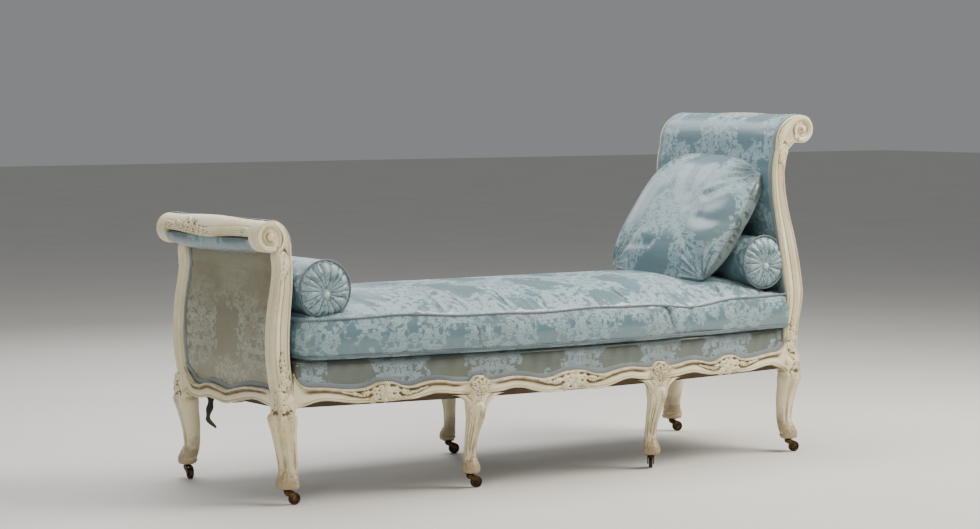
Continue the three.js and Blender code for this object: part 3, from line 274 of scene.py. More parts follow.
def away(points: Array, line: Array) -> Array:
    """Distance of every plan point from a polyline: the least over its segments."""
    start, step = line[:-1], np.diff(line, axis=0)
    flat = points.reshape(-1, 1, 2)
    share = np.clip(((flat - start) * step).sum(-1) / np.maximum((step**2).sum(-1), 1e-12), 0, 1)
    nearest = start + share[..., None] * step
    return np.linalg.norm(flat - nearest, axis=-1).min(axis=1).reshape(points.shape[:-1])


def ripple(x: Array, y: Array, scale: float, seed: float) -> Array:
    """Soft unevenness from -1 to 1: five crossed sine waves whose directions turn by the golden angle."""
    total = np.zeros(np.broadcast(x, y).shape)
    for i in range(5):
        turn = 2.39996 * (i + seed)
        pitch = scale * (0.6 + 0.23 * i)
        total += np.sin(2 * math.pi * (x * math.cos(turn) + y * math.sin(turn)) / pitch + 5.1 * i + 7 * seed)
    return total / 5


def blurred(values: Array, cells: int, loop_rows: bool, loop_columns: bool) -> Array:
    """Twice-run box mean of a grid over the given number of cells, wrapped round where it is a loop."""
    out = np.asarray(values, float)
    for _ in range(2):
        for axis, loop in ((0, loop_rows), (1, loop_columns)):
            width = min(cells, (out.shape[axis] - 1) // 2)
            if width < 1:
                continue
            pad = [(0, 0)] * out.ndim
            pad[axis] = (width, width)
            wide = np.pad(out, pad, mode="wrap" if loop else "edge")
            total = np.cumsum(np.insert(wide, 0, 0, axis=axis), axis=axis)
            length = out.shape[axis]
            head = np.take(total, range(2 * width + 1, 2 * width + 1 + length), axis=axis)
            tail = np.take(total, range(length), axis=axis)
            out = (head - tail) / (2 * width + 1)
    return out


@dataclass
class Patch:
    """A grid of points with its texture places in metres and its hollows.

    The faces look the way of (step along rows) × (step along columns), or the other way when flipped.
    """

    points: Array
    uv: Array | None = None
    hollow: Array | None = None
    loop_rows: bool = False
    loop_columns: bool = False
    flip: bool = False
    finish: int = 0

    def normals(self) -> Array:
        """Unit normals: the cross product of centred differences along rows and columns."""
        grid = self.points
        if self.loop_rows:
            grid = np.concatenate([grid[-1:], grid, grid[:1]], axis=0)
        if self.loop_columns:
            grid = np.concatenate([grid[:, -1:], grid, grid[:, :1]], axis=1)
        along, across = np.gradient(grid, axis=0), np.gradient(grid, axis=1)
        if self.loop_rows:
            along, across = along[1:-1], across[1:-1]
        if self.loop_columns:
            along, across = along[:, 1:-1], across[:, 1:-1]
        normal = unit(np.cross(along, across))
        return -normal if self.flip else normal

    def carved(self, height: Array | float = 0.0, cells: int = 3, depth: float = 0.0012) -> "Patch":
        """Raises the surface along its normals and measures how far it lies in a hollow.

        Args:
            height: how far each point rises.
            cells: reach of the mean that a point is held against.
            depth: hollow that counts as full.
        Returns:
            The same patch: hollow is the mean of the surroundings less the point, along the normal, over depth.
        """
        self.points = self.points + self.normals() * np.broadcast_to(height, self.points.shape[:2])[..., None]
        mean = blurred(self.points, cells, self.loop_rows, self.loop_columns)
        # The finishes darken by this measure: grime and painted shade on the paint, dust and painted shade on the silk.
        self.hollow = np.clip(((mean - self.points) * self.normals()).sum(-1) / depth, -1, 1)
        return self


def cap(ring: Array, flip: bool = False, finish: int = 0) -> Patch:
    """Closes a ring of points with a fan to its middle, its cloth laid flat along its two longest axes."""
    fan = np.stack([ring, np.broadcast_to(ring.mean(axis=0), ring.shape)])
    axes = np.sort(np.argsort(np.ptp(ring, axis=0))[1:])
    uv = np.concatenate([fan, fan[:, :1]], axis=1)[..., axes]
    return Patch(fan, uv=uv, loop_columns=True, flip=flip, finish=finish)


def capped(body: Patch, first: bool = False, last: bool = False) -> list[Patch]:
    """A patch with its first and last rows closed by caps, each of them flipped or not."""
    return [body, cap(body.points[0], first), cap(body.points[-1], last)]


def cord(path: Array, radius: float, sides: int = 8) -> Patch:
    """A round cord along a closed path: a ring carried square to it, kept upright by the z axis, or y where it climbs.

    Args:
        path: points of the middle line.
        radius: the cord's radius.
        sides: points of a ring.
    Returns:
        The cord's patch, a loop both ways.
    """
    ahead = unit(np.roll(path, -1, axis=0) - np.roll(path, 1, axis=0))
    side = unit(np.cross(ahead, np.where(np.abs(ahead[:, 2:]) > 0.9, [0.0, 1.0, 0.0], [0.0, 0.0, 1.0])))
    up = np.cross(side, ahead)
    turn = circle(sides)[:, None]
    rings = path[:, None] + radius * (side[:, None] * np.cos(turn) + up[:, None] * np.sin(turn))
    return Patch(rings, loop_rows=True, loop_columns=True)


def ribbon(path: Array, across: Array | list, out: Array | list, wide: float, thick: float) -> list[Patch]:
    """A flat braid with a domed face: nine points across, out by thick times 1 - share⁴, and a flat back.

    Args:
        path: middle line of the braid.
        across: unit direction of its width, or one for each point.
        out: unit direction that its face looks, or one for each point.
        wide: its width.
        thick: how far the face stands out at the middle.
    Returns:
        The band and its two caps.
    """
    across, out = (np.broadcast_to(way, path.shape)[:, None] for way in (across, out))
    share = np.linspace(-1, 1, 9)
    dome = thick * (0.35 + 0.65 * (1 - share**4))
    face = path[:, None] + across * (share * wide / 2)[:, None] + out * dome[:, None]
    back = path[:, None] + across * (share[::-1] * wide / 2)[:, None] - out * BRAID_SUNK
    uv = joined(np.concatenate([share, share[::-1], share[:1]]) * wide / 2, lengths(path)[:, None])
    return capped(Patch(np.concatenate([face, back], axis=1), uv=uv, loop_columns=True))


def edge_loop(grid: Array) -> Array:
    """A grid's four edges as one closed loop of points."""
    return np.concatenate([grid[:, 0], grid[-1, 1:], grid[::-1, -1][1:], grid[0, ::-1][1:-1]])


def corner_grid(patch: Patch) -> tuple[Array, Array, Array]:
    """A patch's points, texture places and hollows, with the first row or column repeated round a loop.

    Without texture places of its own, a patch gets the mean lengths run along its rows and columns.
    """
    points = patch.points
    hollow = np.zeros(points.shape[:2]) if patch.hollow is None else patch.hollow
    if patch.loop_rows:
        points, hollow = np.concatenate([points, points[:1]]), np.concatenate([hollow, hollow[:1]])
    if patch.loop_columns:
        points = np.concatenate([points, points[:, :1]], axis=1)
        hollow = np.concatenate([hollow, hollow[:, :1]], axis=1)
    if patch.uv is not None:
        return points, patch.uv, hollow
    down = np.linalg.norm(np.diff(points, axis=0), axis=-1).mean(axis=1)
    over = np.linalg.norm(np.diff(points, axis=1), axis=-1).mean(axis=0)
    v, u = (np.concatenate([[0], np.cumsum(step)]) for step in (down, over))
    return points, joined(u[None], v[:, None]), hollow


def raw_mesh(name: str, patches: list[Patch], shell: bool = True) -> Mesh:
    """Joins patches to one mesh in the frame's place and closes its seams.

    Args:
        name: the mesh's name.
        patches: its surfaces, in the couch's own axes.
        shell: whether the faces are turned outwards as one closed shell.
    Returns:
        The mesh, with its UV map and its hollow attribute.
    """
    points, places, hollows, faces, marks = [], [], [], [], []
    start = 0
    for patch in patches:
        grid, uv, hollow = corner_grid(patch)
        rows, columns = grid.shape[:2]
        index = start + np.arange(rows * columns).reshape(rows, columns)
        quads = np.stack([index[:-1, :-1], index[1:, :-1], index[1:, 1:], index[:-1, 1:]], axis=-1).reshape(-1, 4)
        faces.append(quads[:, ::-1] if patch.flip else quads)
        marks.append(np.full(len(quads), patch.finish))
        points.append(grid.reshape(-1, 3))
        places.append(uv.reshape(-1, 2))
        hollows.append(hollow.reshape(-1))
        start += rows * columns
    corners = np.concatenate(faces)
    mesh = bpy.data.meshes.new(name)
    mesh.from_pydata(np.concatenate(points) + SHIFT, [], corners)
    layer = mesh.uv_layers.new(name="UVMap")
    layer.uv.foreach_set("vector", np.concatenate(places)[corners.reshape(-1)].astype(np.float32).reshape(-1))
    attribute = mesh.attributes.new("hollow", "FLOAT", "POINT")
    attribute.data.foreach_set("value", np.concatenate(hollows).astype(np.float32))
    mesh.polygons.foreach_set("material_index", np.concatenate(marks).astype(np.int32))
    work = bmesh.new()
    work.from_mesh(mesh)
    bmesh.ops.remove_doubles(work, verts=work.verts, dist=8e-6)
    bmesh.ops.dissolve_degenerate(work, edges=work.edges, dist=1e-7)
    if shell:
        bmesh.ops.recalc_face_normals(work, faces=work.faces)
    work.to_mesh(mesh)
    work.free()
    return mesh


def place_piece(
    name: str,
    mesh: Mesh,
    finishes: list[Material],
    replaces: str = "",
    body: str = "frame",
    sharp: float = 50.0,
) -> bpy.types.Object:
    """Makes a finished mesh a piece of the daybed.

    Args:
        name: the piece's name.
        mesh: its mesh, in the frame's place.
        finishes: materials that the faces point to.
        replaces: the CAD node that it stands for, where there is one.
        body: what it rides on.
        sharp: angle in degrees past which an edge stays crisp.
    Returns:
        The new object.
    """
    for material in finishes:
        mesh.materials.append(material)
    mesh.shade_smooth()
    mesh.set_sharp_from_angle(angle=math.radians(sharp))
    piece = bpy.data.objects.new(name, mesh)
    bpy.context.scene.collection.objects.link(piece)
    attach(piece, body)
    if replaces:
        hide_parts(replaces)
    log.info("%s: %d faces on %s", name, len(mesh.polygons), body)
    return piece


def make_piece(
    name: str, patches: list[Patch], finishes: list[Material], slot: Slot, replaces: str = "", body: str = "frame",
    shell: bool = True,
) -> bpy.types.Object:  # fmt: skip
    """Joins patches to a mesh, as raw_mesh does, and makes it a piece, as place_piece does."""
    return place_piece(name, raw_mesh(name, patches, shell), finishes, replaces, body)


# ---------------------------------------------------------------------------------------------------------
# Carving: heights over a chart (s along, t up), in metres


def leaf(s: Array, t: Array, base: tuple, tip: tuple, wide: float, high: float, lobes: int = 4) -> Array:
    """Height of a carved leaf.

    Its half width is a sine root of the run from base to tip, notched by its lobes. Its body is domed across,
    hollowed by a middle vein, and waved by slanting side veins.

    Args:
        s, t: chart places.
        base, tip: ends of its middle vein.
        wide: its full width.
        high: its full height.
        lobes: notches on a side.
    Returns:
        Height at each place, 0 off the leaf.
    """
    axis = np.subtract(tip, base)
    length = math.hypot(*axis)
    along, up = axis / length
    a = ((s - base[0]) * along + (t - base[1]) * up) / length
    b = np.abs((t - base[1]) * along - (s - base[0]) * up)
    run = np.clip(a, 0, 1)
    notch = np.abs(np.sin(math.pi * (lobes * run - 1.1 * b / wide)))
    half = wide / 2 * np.sin(math.pi * np.clip(run, 0.001, 0.999) ** 0.8) ** 0.7 * (0.74 + 0.26 * notch**0.6)
    body = np.sqrt(np.clip(1 - (b / np.maximum(half, 1e-6)) ** 3, 0, 1))
    vein = 1 - 0.5 * bell(b, 0, 0.07 * wide)
    return high * body * vein * (0.7 + 0.3 * notch) * (0.5 + 0.5 * np.sin(math.pi * run)) * ((a > 0) & (a < 1))


def flower(s: Array, t: Array, at: tuple, radius: float, high: float, petals: int = 5, turn: float = 0) -> Array:
    """Height of a carved flower: two rings of cupped petals that rise to their rims, round a domed heart.

    Args:
        s, t: chart places.
        at: its middle.
        radius: reach of the outer petals.
        high: height of the heart.
        petals: number in a ring.
        turn: its turn in radians.
    Returns:
        Height at each place, 0 off the flower.
    """
    reach, angle = np.hypot(s - at[0], t - at[1]), np.arctan2(t - at[1], s - at[0]) - turn
    total = np.zeros_like(reach)
    for size, rise, shift in ((1.0, 0.62, 0.0), (0.6, 0.85, math.pi / petals)):
        lobe = np.abs(np.cos(petals * (angle - shift) / 2))
        q = reach / (radius * size * (0.66 + 0.34 * lobe**0.5))
        petal = high * rise * np.sqrt(np.clip(1 - q**5, 0, 1)) * (0.5 + 0.5 * q**1.4) * (0.5 + 0.5 * lobe**0.8)
        total = np.maximum(total, petal)
    heart = high * np.sqrt(np.clip(1 - (reach / (0.24 * radius)) ** 2, 0, 1))
    return np.maximum(total, heart)


def bead(distance: Array, wide: float, high: float) -> Array:
    """Half-round moulding: high times the root of 1 - (distance over half the width)²."""
    return high * np.sqrt(np.clip(1 - (2 * distance / wide) ** 2, 0, 1))


def curl(at: tuple, radius: float, start: float, turns: float) -> Array:
    """Points of a scroll that winds clockwise about a middle: its radius falls evenly to 0.3 of itself.

    Args:
        at: middle of the scroll.
        radius: its first radius.
        start: its first angle in degrees.
        turns: how many turns it winds.
    Returns:
        Chart points.
    """
    share = np.linspace(0, 1, 40)
    angle = math.radians(start) - 2 * math.pi * turns * share
    reach = radius * (1 - (1 - 0.3) * share)
    return joined(at[0] + reach * np.cos(angle), at[1] + reach * np.sin(angle))


def posy(s: Array, t: Array, flowers: tuple = (), leaves: tuple = ()) -> Array:
    """Height of several flowers and leaves, whose rows hold what flower and leaf take after the places."""
    parts = [flower(s, t, *row) for row in flowers] + [leaf(s, t, *row) for row in leaves]
    return np.maximum.reduce(parts)


# ---------------------------------------------------------------------------------------------------------
# Finishes


def linear(code: str) -> tuple[float, float, float, float]:
    """Linear colour of an sRGB hex code: the standard curve, with its straight foot below 0.04045."""
    parts = [int(code[i : i + 2], 16) / 255 for i in (1, 3, 5)]
    red, green, blue = [c / 12.92 if c <= 0.04045 else ((c + 0.055) / 1.055) ** 2.4 for c in parts]
    return (red, green, blue, 1.0)


def add(tree: Tree, kind: str, settings: dict | None = None) -> bpy.types.Node:
    """Adds a shader node with its settings and links.

    Args:
        tree: where it goes.
        kind: its type, without the leading ShaderNode, and its operation after a space where it has one.
        settings: a value for each property, or for each input by name or number. A socket is linked to the
            input, and a node stands for its first output.
    Returns:
        The node.
    """
    kind, _, operation = kind.partition(" ")
    node = tree.nodes.new("ShaderNode" + kind)
    if operation:
        node.operation = operation
    for key, value in (settings or {}).items():
        value = value.outputs[0] if isinstance(value, bpy.types.Node) else value
        if isinstance(value, Socket):
            tree.links.new(value, node.inputs[key])
        elif isinstance(key, str) and hasattr(node, key):
            setattr(node, key, value)
        else:
            node.inputs[key].default_value = value
    return node


def blank(name: str) -> tuple[Material, Tree]:
    """A new material and its empty node tree."""
    material = bpy.data.materials.new(name)
    material.use_nodes = True
    material.node_tree.nodes.clear()
    return material, material.node_tree


def finished(material: Material, sockets: dict) -> Material:
    """Ends a material in one Principled shader, whose sockets take the values or sources given."""
    shader = add(material.node_tree, "BsdfPrincipled", sockets)
    add(material.node_tree, "OutputMaterial", {"Surface": shader})
    return material


@dataclass(frozen=True)
class AgedPaint:
    """Distemper-like ivory paint on carved beech, a century old and rubbed.

    The eye gets a chalky warm white on the high parts, ochre and umber in the hollows as grime and painted shade,
    faint brush drag, and a few bare brown rubs, more of them low down.
    """

    name: str = "aged_ivory_paint"
    paint: str = "#EDE5C8"
    shade: str = "#D8CCA0"
    # Tints of the hollows, both grime and painted shade: the first for all hollows, deep, darker, for the deepest.
    dirt_and_shade: str = "#A08C5E"
    deep: str = "#4E3C22"
    wood: str = "#7D5C36"
    dirt_and_shade_share: float = 0.8
    deep_shade_share: float = 0.95
    bare_share: float = 0.7

    def material(self) -> Material:
        """Builds the material: the hollow attribute drives the grime and painted shade, noise the patches and the brush
        marks.
        """
        material, tree = blank(self.name)
        place = add(tree, "TexCoord").outputs["Object"]
        hollow = add(tree, "Attribute", {"attribute_name": "hollow"}).outputs["Fac"]
        cloud = add(tree, "TexNoise", {"Vector": place, "Scale": 7.0, "Detail": 4.0, "Roughness": 0.6})
        patch = add(tree, "TexNoise", {"Vector": place, "Scale": 38.0, "Detail": 6.0, "Roughness": 0.65})
        drawn = add(tree, "Mapping", {"Vector": place, "Scale": (220.0, 220.0, 900.0)})
        brush = add(tree, "TexNoise", {"Vector": drawn, "Scale": 1.0, "Detail": 3.0})
        tone = add(tree, "MapRange", {"Value": cloud, "From Min": 0.35, "From Max": 0.68, "To Max": 0.85})
        colour = add(tree, "MixRGB", {"Fac": tone, "Color1": linear(self.paint), "Color2": linear(self.shade)})
        # Grime and painted shade lie where the surface is hollow, thicker where the noise says so;
        # the deep tint adds the darkest painted shade, with grime, in the deepest places.
        spread = add(tree, "Math MULTIPLY_ADD", {0: patch, 1: 0.5, 2: -0.22})
        low = add(tree, "Math ADD", {0: hollow, 1: spread})
        for start, full, share, tint in (
            (0.16, 0.85, self.dirt_and_shade_share, self.dirt_and_shade), (0.66, 1.15, self.deep_shade_share, self.deep),
        ):  # fmt: skip
            ramp = {"Value": low, "interpolation_type": "SMOOTHSTEP", "From Min": start, "From Max": full}
            soiled_and_shaded = add(tree, "MapRange", ramp | {"To Max": share})
            colour = add(tree, "MixRGB", {"Fac": soiled_and_shaded, "Color1": colour, "Color2": linear(tint)})
        # Bare wood shows on crisp edges where the finer noise is high, and most near the feet.
        height = add(tree, "SeparateXYZ", {0: place}).outputs[2]
        foot = add(tree, "MapRange", {"Value": height, "From Min": 0.16, "From Max": 0.055, "To Max": 0.95})
        edge = add(tree, "Math MULTIPLY_ADD", {0: hollow, 1: -0.55, 2: foot})
        rub = add(tree, "Math MULTIPLY", {0: edge, 1: patch})
        bare = add(tree, "MapRange", {"Value": rub, "From Min": 0.16, "From Max": 0.42, "To Max": self.bare_share})
        worn = add(tree, "MixRGB", {"Fac": bare, "Color1": colour, "Color2": linear(self.wood)})
        rough = add(tree, "MapRange", {"Value": patch, "To Min": 0.42, "To Max": 0.68})
        grain = add(tree, "Math MULTIPLY_ADD", {0: brush, 1: 0.35, 2: patch})
        bump = add(tree, "Bump", {"Height": grain, "Strength": 0.35, "Distance": 0.0012})
        sockets = {"IOR": 1.5, "Sheen Weight": 0.05, "Specular IOR Level": 0.4}
        return finished(material, sockets | {"Base Color": worn, "Roughness": rough, "Normal": bump})


@dataclass(frozen=True)
class ShadedBareWood:
    """Planed beech left bare under the seat, its brown darkened as painted shade for the shadow under the rails.

    The eye gets a dull dark brown with long darker streaks of grain and dust, and no gloss; most of its darkness is
    painted shade.
    """

    name: str = "bare_beech"
    light: str = "#6A5238"
    dark: str = "#3B2A1A"
    along: tuple[float, float, float] = (14.0, 120.0, 120.0)

    def material(self) -> Material:
        """Builds the material: noise stretched along the grain at about 8 mm across."""
        material, tree = blank(self.name)
        place = add(tree, "TexCoord").outputs["Object"]
        stretched = add(tree, "Mapping", {"Vector": place, "Scale": self.along})
        grain = add(tree, "TexNoise", {"Vector": stretched, "Scale": 1.0, "Detail": 5.0, "Distortion": 0.6})
        dust = add(tree, "TexNoise", {"Vector": place, "Scale": 9.0, "Detail": 3.0})
        colour = add(tree, "MixRGB", {"Fac": grain, "Color1": linear(self.dark), "Color2": linear(self.light)})
        dusty_and_shaded = add(tree, "MixRGB", {"blend_type": "MULTIPLY", "Fac": 0.5, "Color1": colour, "Color2": dust})
        bump = add(tree, "Bump", {"Height": grain, "Strength": 0.3, "Distance": 0.001})
        return finished(material, {"Roughness": 0.72, "IOR": 1.48, "Base Color": dusty_and_shaded, "Normal": bump})


@dataclass(frozen=True)
class DamaskFigure:
    """The woven figure of a traditional floral damask, as a node group that reads places in metres.

    Bouquets stand in a half drop and mirror each other about upright axes. Each is filled with small serrated
    leaves, turned either way about upright, and with open flowers. A winding stem joins them.
    """

    wide: float = 0.30
    high: float = 0.38
    leaf: float = 0.027
    flower: float = 0.092
    petals: int = 7
    stray: float = 0.018
    thread: float = 0.002

    def scatter(self, tree: Tree, place: Socket, cell: float, shift: float) -> tuple:
        """Places seen from the nearest seed of a scattered pattern, and that seed's chance colour."""
        moved = add(tree, "VectorMath ADD", {0: place, 1: (shift, 0.37 * shift, 0)})
        pattern = {"Vector": moved, "voronoi_dimensions": "2D", "Scale": 1 / cell, "Randomness": 0.8}
        seed = add(tree, "TexVoronoi", pattern)
        return add(tree, "VectorMath SUBTRACT", {0: moved, 1: seed.outputs["Position"]}), seed.outputs["Color"]

    def leaves(self, tree: Tree, place: Socket, cell: float, shift: float) -> bpy.types.Node:
        """A layer of leaves, 1 - along² - across with toothed edges and a slit down the middle, above 0 inside."""
        off, chance = self.scatter(tree, place, cell, shift)
        angle = add(tree, "Math MULTIPLY_ADD", {0: chance, 1: 5.0, 2: -2.5})
        turned = add(tree, "VectorRotate", {"rotation_type": "Z_AXIS", "Vector": off, "Angle": angle})
        axis = add(tree, "SeparateXYZ", {0: turned}).outputs
        along = add(tree, "Math MULTIPLY", {0: axis[1], 1: 1 / (0.54 * cell)})
        side = add(tree, "Math ABSOLUTE", {0: axis[0]})
        across = add(tree, "Math MULTIPLY", {0: side, 1: 1 / (0.25 * cell)})
        waves = add(tree, "Math MULTIPLY_ADD", {0: along, 1: 9.0, 2: across})
        tooth = add(tree, "Math SINE", {0: waves})
        room = add(tree, "Math MULTIPLY_ADD", {0: tooth, 1: 0.3, 2: -1.0})
        square = add(tree, "Math MULTIPLY", {0: along, 1: along})
        left = add(tree, "Math SUBTRACT", {0: 1.0, 1: square})
        body = add(tree, "Math MULTIPLY_ADD", {0: across, 1: room, 2: left})
        slit = add(tree, "Math SUBTRACT", {0: across, 1: 0.13})
        return add(tree, "Math MINIMUM", {0: body, 1: slit})

    def bloom(self, tree: Tree, place: Socket) -> tuple[bpy.types.Node, bpy.types.Node]:
        """Open flowers, above 0 inside, and the reach from the nearest flower's heart over its radius.

        The edge is 0.64 + 0.36 × |sin| of half the petals' turn, and two thin gaps follow it further in.
        """
        off, _ = self.scatter(tree, place, self.flower, 0.4)
        reach = add(tree, "VectorMath LENGTH", {0: off}).outputs["Value"]
        reach = add(tree, "Math DIVIDE", {0: reach, 1: 0.26 * self.flower})
        axis = add(tree, "SeparateXYZ", {0: off}).outputs
        angle = add(tree, "Math ARCTAN2", {0: axis[1], 1: axis[0]})
        turned = add(tree, "Math MULTIPLY", {0: angle, 1: self.petals / 2})
        wave = add(tree, "Math SINE", {0: turned})
        lobe = add(tree, "Math ABSOLUTE", {0: wave})
        edge = add(tree, "Math MULTIPLY_ADD", {0: lobe, 1: 0.36, 2: 0.64})
        bloom = add(tree, "Math SUBTRACT", {0: edge, 1: reach})
        for share in (0.32, 0.68):
            ring = add(tree, "Math MULTIPLY", {0: edge, 1: share})
            gap = add(tree, "Math SUBTRACT", {0: reach, 1: ring})
            gap = add(tree, "Math ABSOLUTE", {0: gap})
            gap = add(tree, "Math SUBTRACT", {0: gap, 1: 0.055})
            bloom = add(tree, "Math MINIMUM", {0: bloom, 1: gap})
        return bloom, reach

    def group(self) -> Tree:
        """Builds the group: input Place, outputs Figure (0 ground, 1 figure) and Thread (fine ribs)."""
        tree = bpy.data.node_groups.new("damask_figure", "ShaderNodeTree")
        tree.interface.new_socket("Place", in_out="INPUT", socket_type="NodeSocketVector")
        for name in ("Figure", "Thread"):
            tree.interface.new_socket(name, in_out="OUTPUT", socket_type="NodeSocketFloat")
        entry = tree.nodes.new("NodeGroupInput").outputs[0]
        # The cloth isn't drawn dead straight: the figure wanders by a few millimetres.
        wander = add(tree, "TexNoise", {"Vector": entry, "Scale": 6.0, "Detail": 2.0}).outputs["Color"]
        strayed = add(tree, "VectorMath MULTIPLY_ADD", {0: wander, 1: (self.stray, self.stray, 0.0), 2: entry})
        parts = add(tree, "SeparateXYZ", {0: strayed}).outputs
        across = add(tree, "Math PINGPONG", {0: parts[0], 1: self.wide / 2})
        place = add(tree, "CombineXYZ", {0: across, 1: parts[1]}).outputs[0]
        bloom, reach = self.bloom(tree, place)
        figure = self.leaves(tree, place, self.leaf, 0.0)
        for cell, shift in ((0.8 * self.leaf, 0.31), (1.5 * self.leaf, 0.73)):
            figure = add(tree, "Math MAXIMUM", {0: figure, 1: self.leaves(tree, place, cell, shift)})
        apart = add(tree, "Math SUBTRACT", {0: reach, 1: 1.08})
        figure = add(tree, "Math MINIMUM", {0: figure, 1: apart})
        figure = add(tree, "Math MAXIMUM", {0: figure, 1: bloom})
        # Bouquets: the product of two cosines, its edge broken up by a noise.
        swings = []
        for number, repeat in enumerate((self.wide, self.high)):
            phase = add(tree, "Math MULTIPLY", {0: parts[number], 1: 2 * math.pi / repeat})
            swings.append(add(tree, "Math COSINE", {0: phase}))
        bouquet = add(tree, "Math MULTIPLY", {0: swings[0], 1: swings[1]})
        rough = add(tree, "TexNoise", {"Vector": strayed, "Scale": 15.0, "Detail": 3.0, "Roughness": 0.65})
        rough = add(tree, "Math MULTIPLY_ADD", {0: rough, 1: 4.6, 2: -2.08})
        bouquet = add(tree, "Math ADD", {0: bouquet, 1: rough})
        figure = add(tree, "Math MINIMUM", {0: figure, 1: bouquet})
        # The stem swings from one bouquet to the next.
        line = add(tree, "Math MULTIPLY_ADD", {0: swings[1], 1: -self.wide / 4, 2: self.wide / 4})
        beside = add(tree, "Math SUBTRACT", {0: across, 1: line})
        beside = add(tree, "Math ABSOLUTE", {0: beside})
        stem = add(tree, "Math MULTIPLY_ADD", {0: beside, 1: -500.0, 2: 0.8})
        figure = add(tree, "Math MAXIMUM", {0: figure, 1: stem})
        crisp = {"Value": figure, "interpolation_type": "SMOOTHSTEP", "From Min": -0.08, "From Max": 0.08}
        # Real threads lie 0.25 mm apart; they are drawn 2 mm apart so that the rib shows.
        ribs = add(tree, "SeparateXYZ", {0: entry}).outputs[1]
        rib = add(tree, "Math MULTIPLY", {0: ribs, 1: 2 * math.pi / self.thread})
        leave = tree.nodes.new("NodeGroupOutput")
        tree.links.new(add(tree, "MapRange", crisp).outputs[0], leave.inputs["Figure"])
        tree.links.new(add(tree, "Math SINE", {0: rib}).outputs[0], leave.inputs["Thread"])
        return tree


@dataclass(frozen=True)
class Damask:
    """Silk damask: a dull ribbed figure on a satin ground of the same yarn.

    The eye gets a ground that shines white where it faces the light and goes dark elsewhere, a figure that keeps
    one pale tone, soft streaks, dust and painted shade in the folds and pressed hollows, and faint brown staining from
    age.
    """

    name: str
    ground: str
    figure: str
    stain: str
    stained: float = 0.25
    satin: float = 0.30
    dull: float = 0.62
    rubbed: float = 0.0
    # Tint of the folds and pressed hollows: dust and painted shade.
    dust: str = "#77786C"

    def material(self, figure: Tree) -> Material:
        """Builds the material on the piece's own UV map, in metres.

        Args:
            figure: the damask's node group.
        Returns:
            The material.
        """
        material, tree = blank(self.name)
        place = add(tree, "UVMap", {"uv_map": "UVMap"}).outputs[0]
        solid = add(tree, "TexCoord").outputs["Object"]
        woven, thread = add(tree, "Group", {"node_tree": figure, "Place": place}).outputs
        drawn = add(tree, "Mapping", {"Vector": place, "Scale": (9.0, 140.0, 1.0)})
        streak = add(tree, "TexNoise", {"Vector": drawn, "Scale": 1.0, "Detail": 4.0})
        cloud = add(tree, "TexNoise", {"Vector": solid, "Scale": 5.0, "Detail": 4.0, "Roughness": 0.6})
        # High on an outer panel light and hands have rubbed the figure away.
        height = add(tree, "SeparateXYZ", {0: solid}).outputs[2]
        height = add(tree, "Math MULTIPLY_ADD", {0: cloud, 1: 0.25, 2: height})
        fade = {"Value": height, "interpolation_type": "SMOOTHSTEP", "From Min": 0.58, "From Max": 0.74, "To Min": 1.0}
        kept = add(tree, "MapRange", fade | {"To Max": 1.0 - self.rubbed})
        shown = add(tree, "Math MULTIPLY", {0: woven, 1: kept})
        colour = add(tree, "MixRGB", {"Fac": shown, "Color1": linear(self.ground), "Color2": linear(self.figure)})
        shade = add(tree, "MapRange", {"Value": streak, "To Min": 0.88, "To Max": 1.1})
        streaked = add(tree, "MixRGB", {"blend_type": "MULTIPLY", "Fac": 1.0, "Color1": colour, "Color2": shade})
        aged = add(tree, "MapRange", {"Value": cloud, "From Min": 0.5, "From Max": 0.75, "To Max": self.stained})
        stained = add(tree, "MixRGB", {"Fac": aged, "Color1": streaked, "Color2": linear(self.stain)})
        # Silk gathers dust in its folds; the darkening of folds and pressed hollows is also painted shade.
        hollow = add(tree, "Attribute", {"attribute_name": "hollow"}).outputs["Fac"]
        fold = add(tree, "MapRange", {"Value": hollow, "From Min": 0.15, "To Max": 0.8})
        dusty_and_shaded = {"blend_type": "MULTIPLY", "Fac": fold, "Color1": stained, "Color2": linear(self.dust)}
        rough = add(tree, "MapRange", {"Value": woven, "To Min": self.satin, "To Max": self.dull})
        ribs = add(tree, "Math MULTIPLY", {0: woven, 1: thread})
        lift = add(tree, "Math MULTIPLY_ADD", {0: woven, 1: 1.5, 2: ribs})
        slack = add(tree, "Math MULTIPLY_ADD", {0: streak, 1: 1.6, 2: lift})
        bump = add(tree, "Bump", {"Height": slack, "Strength": 0.3, "Distance": 0.0005})
        sheen = {"Sheen Weight": 0.15, "Sheen Roughness": 0.4}
        sockets = sheen | {"Anisotropic": 0.3, "Specular IOR Level": 1.0, "IOR": 1.5}
        sources = {"Base Color": add(tree, "MixRGB", dusty_and_shaded), "Roughness": rough, "Normal": bump}
        return finished(material, sockets | sources)


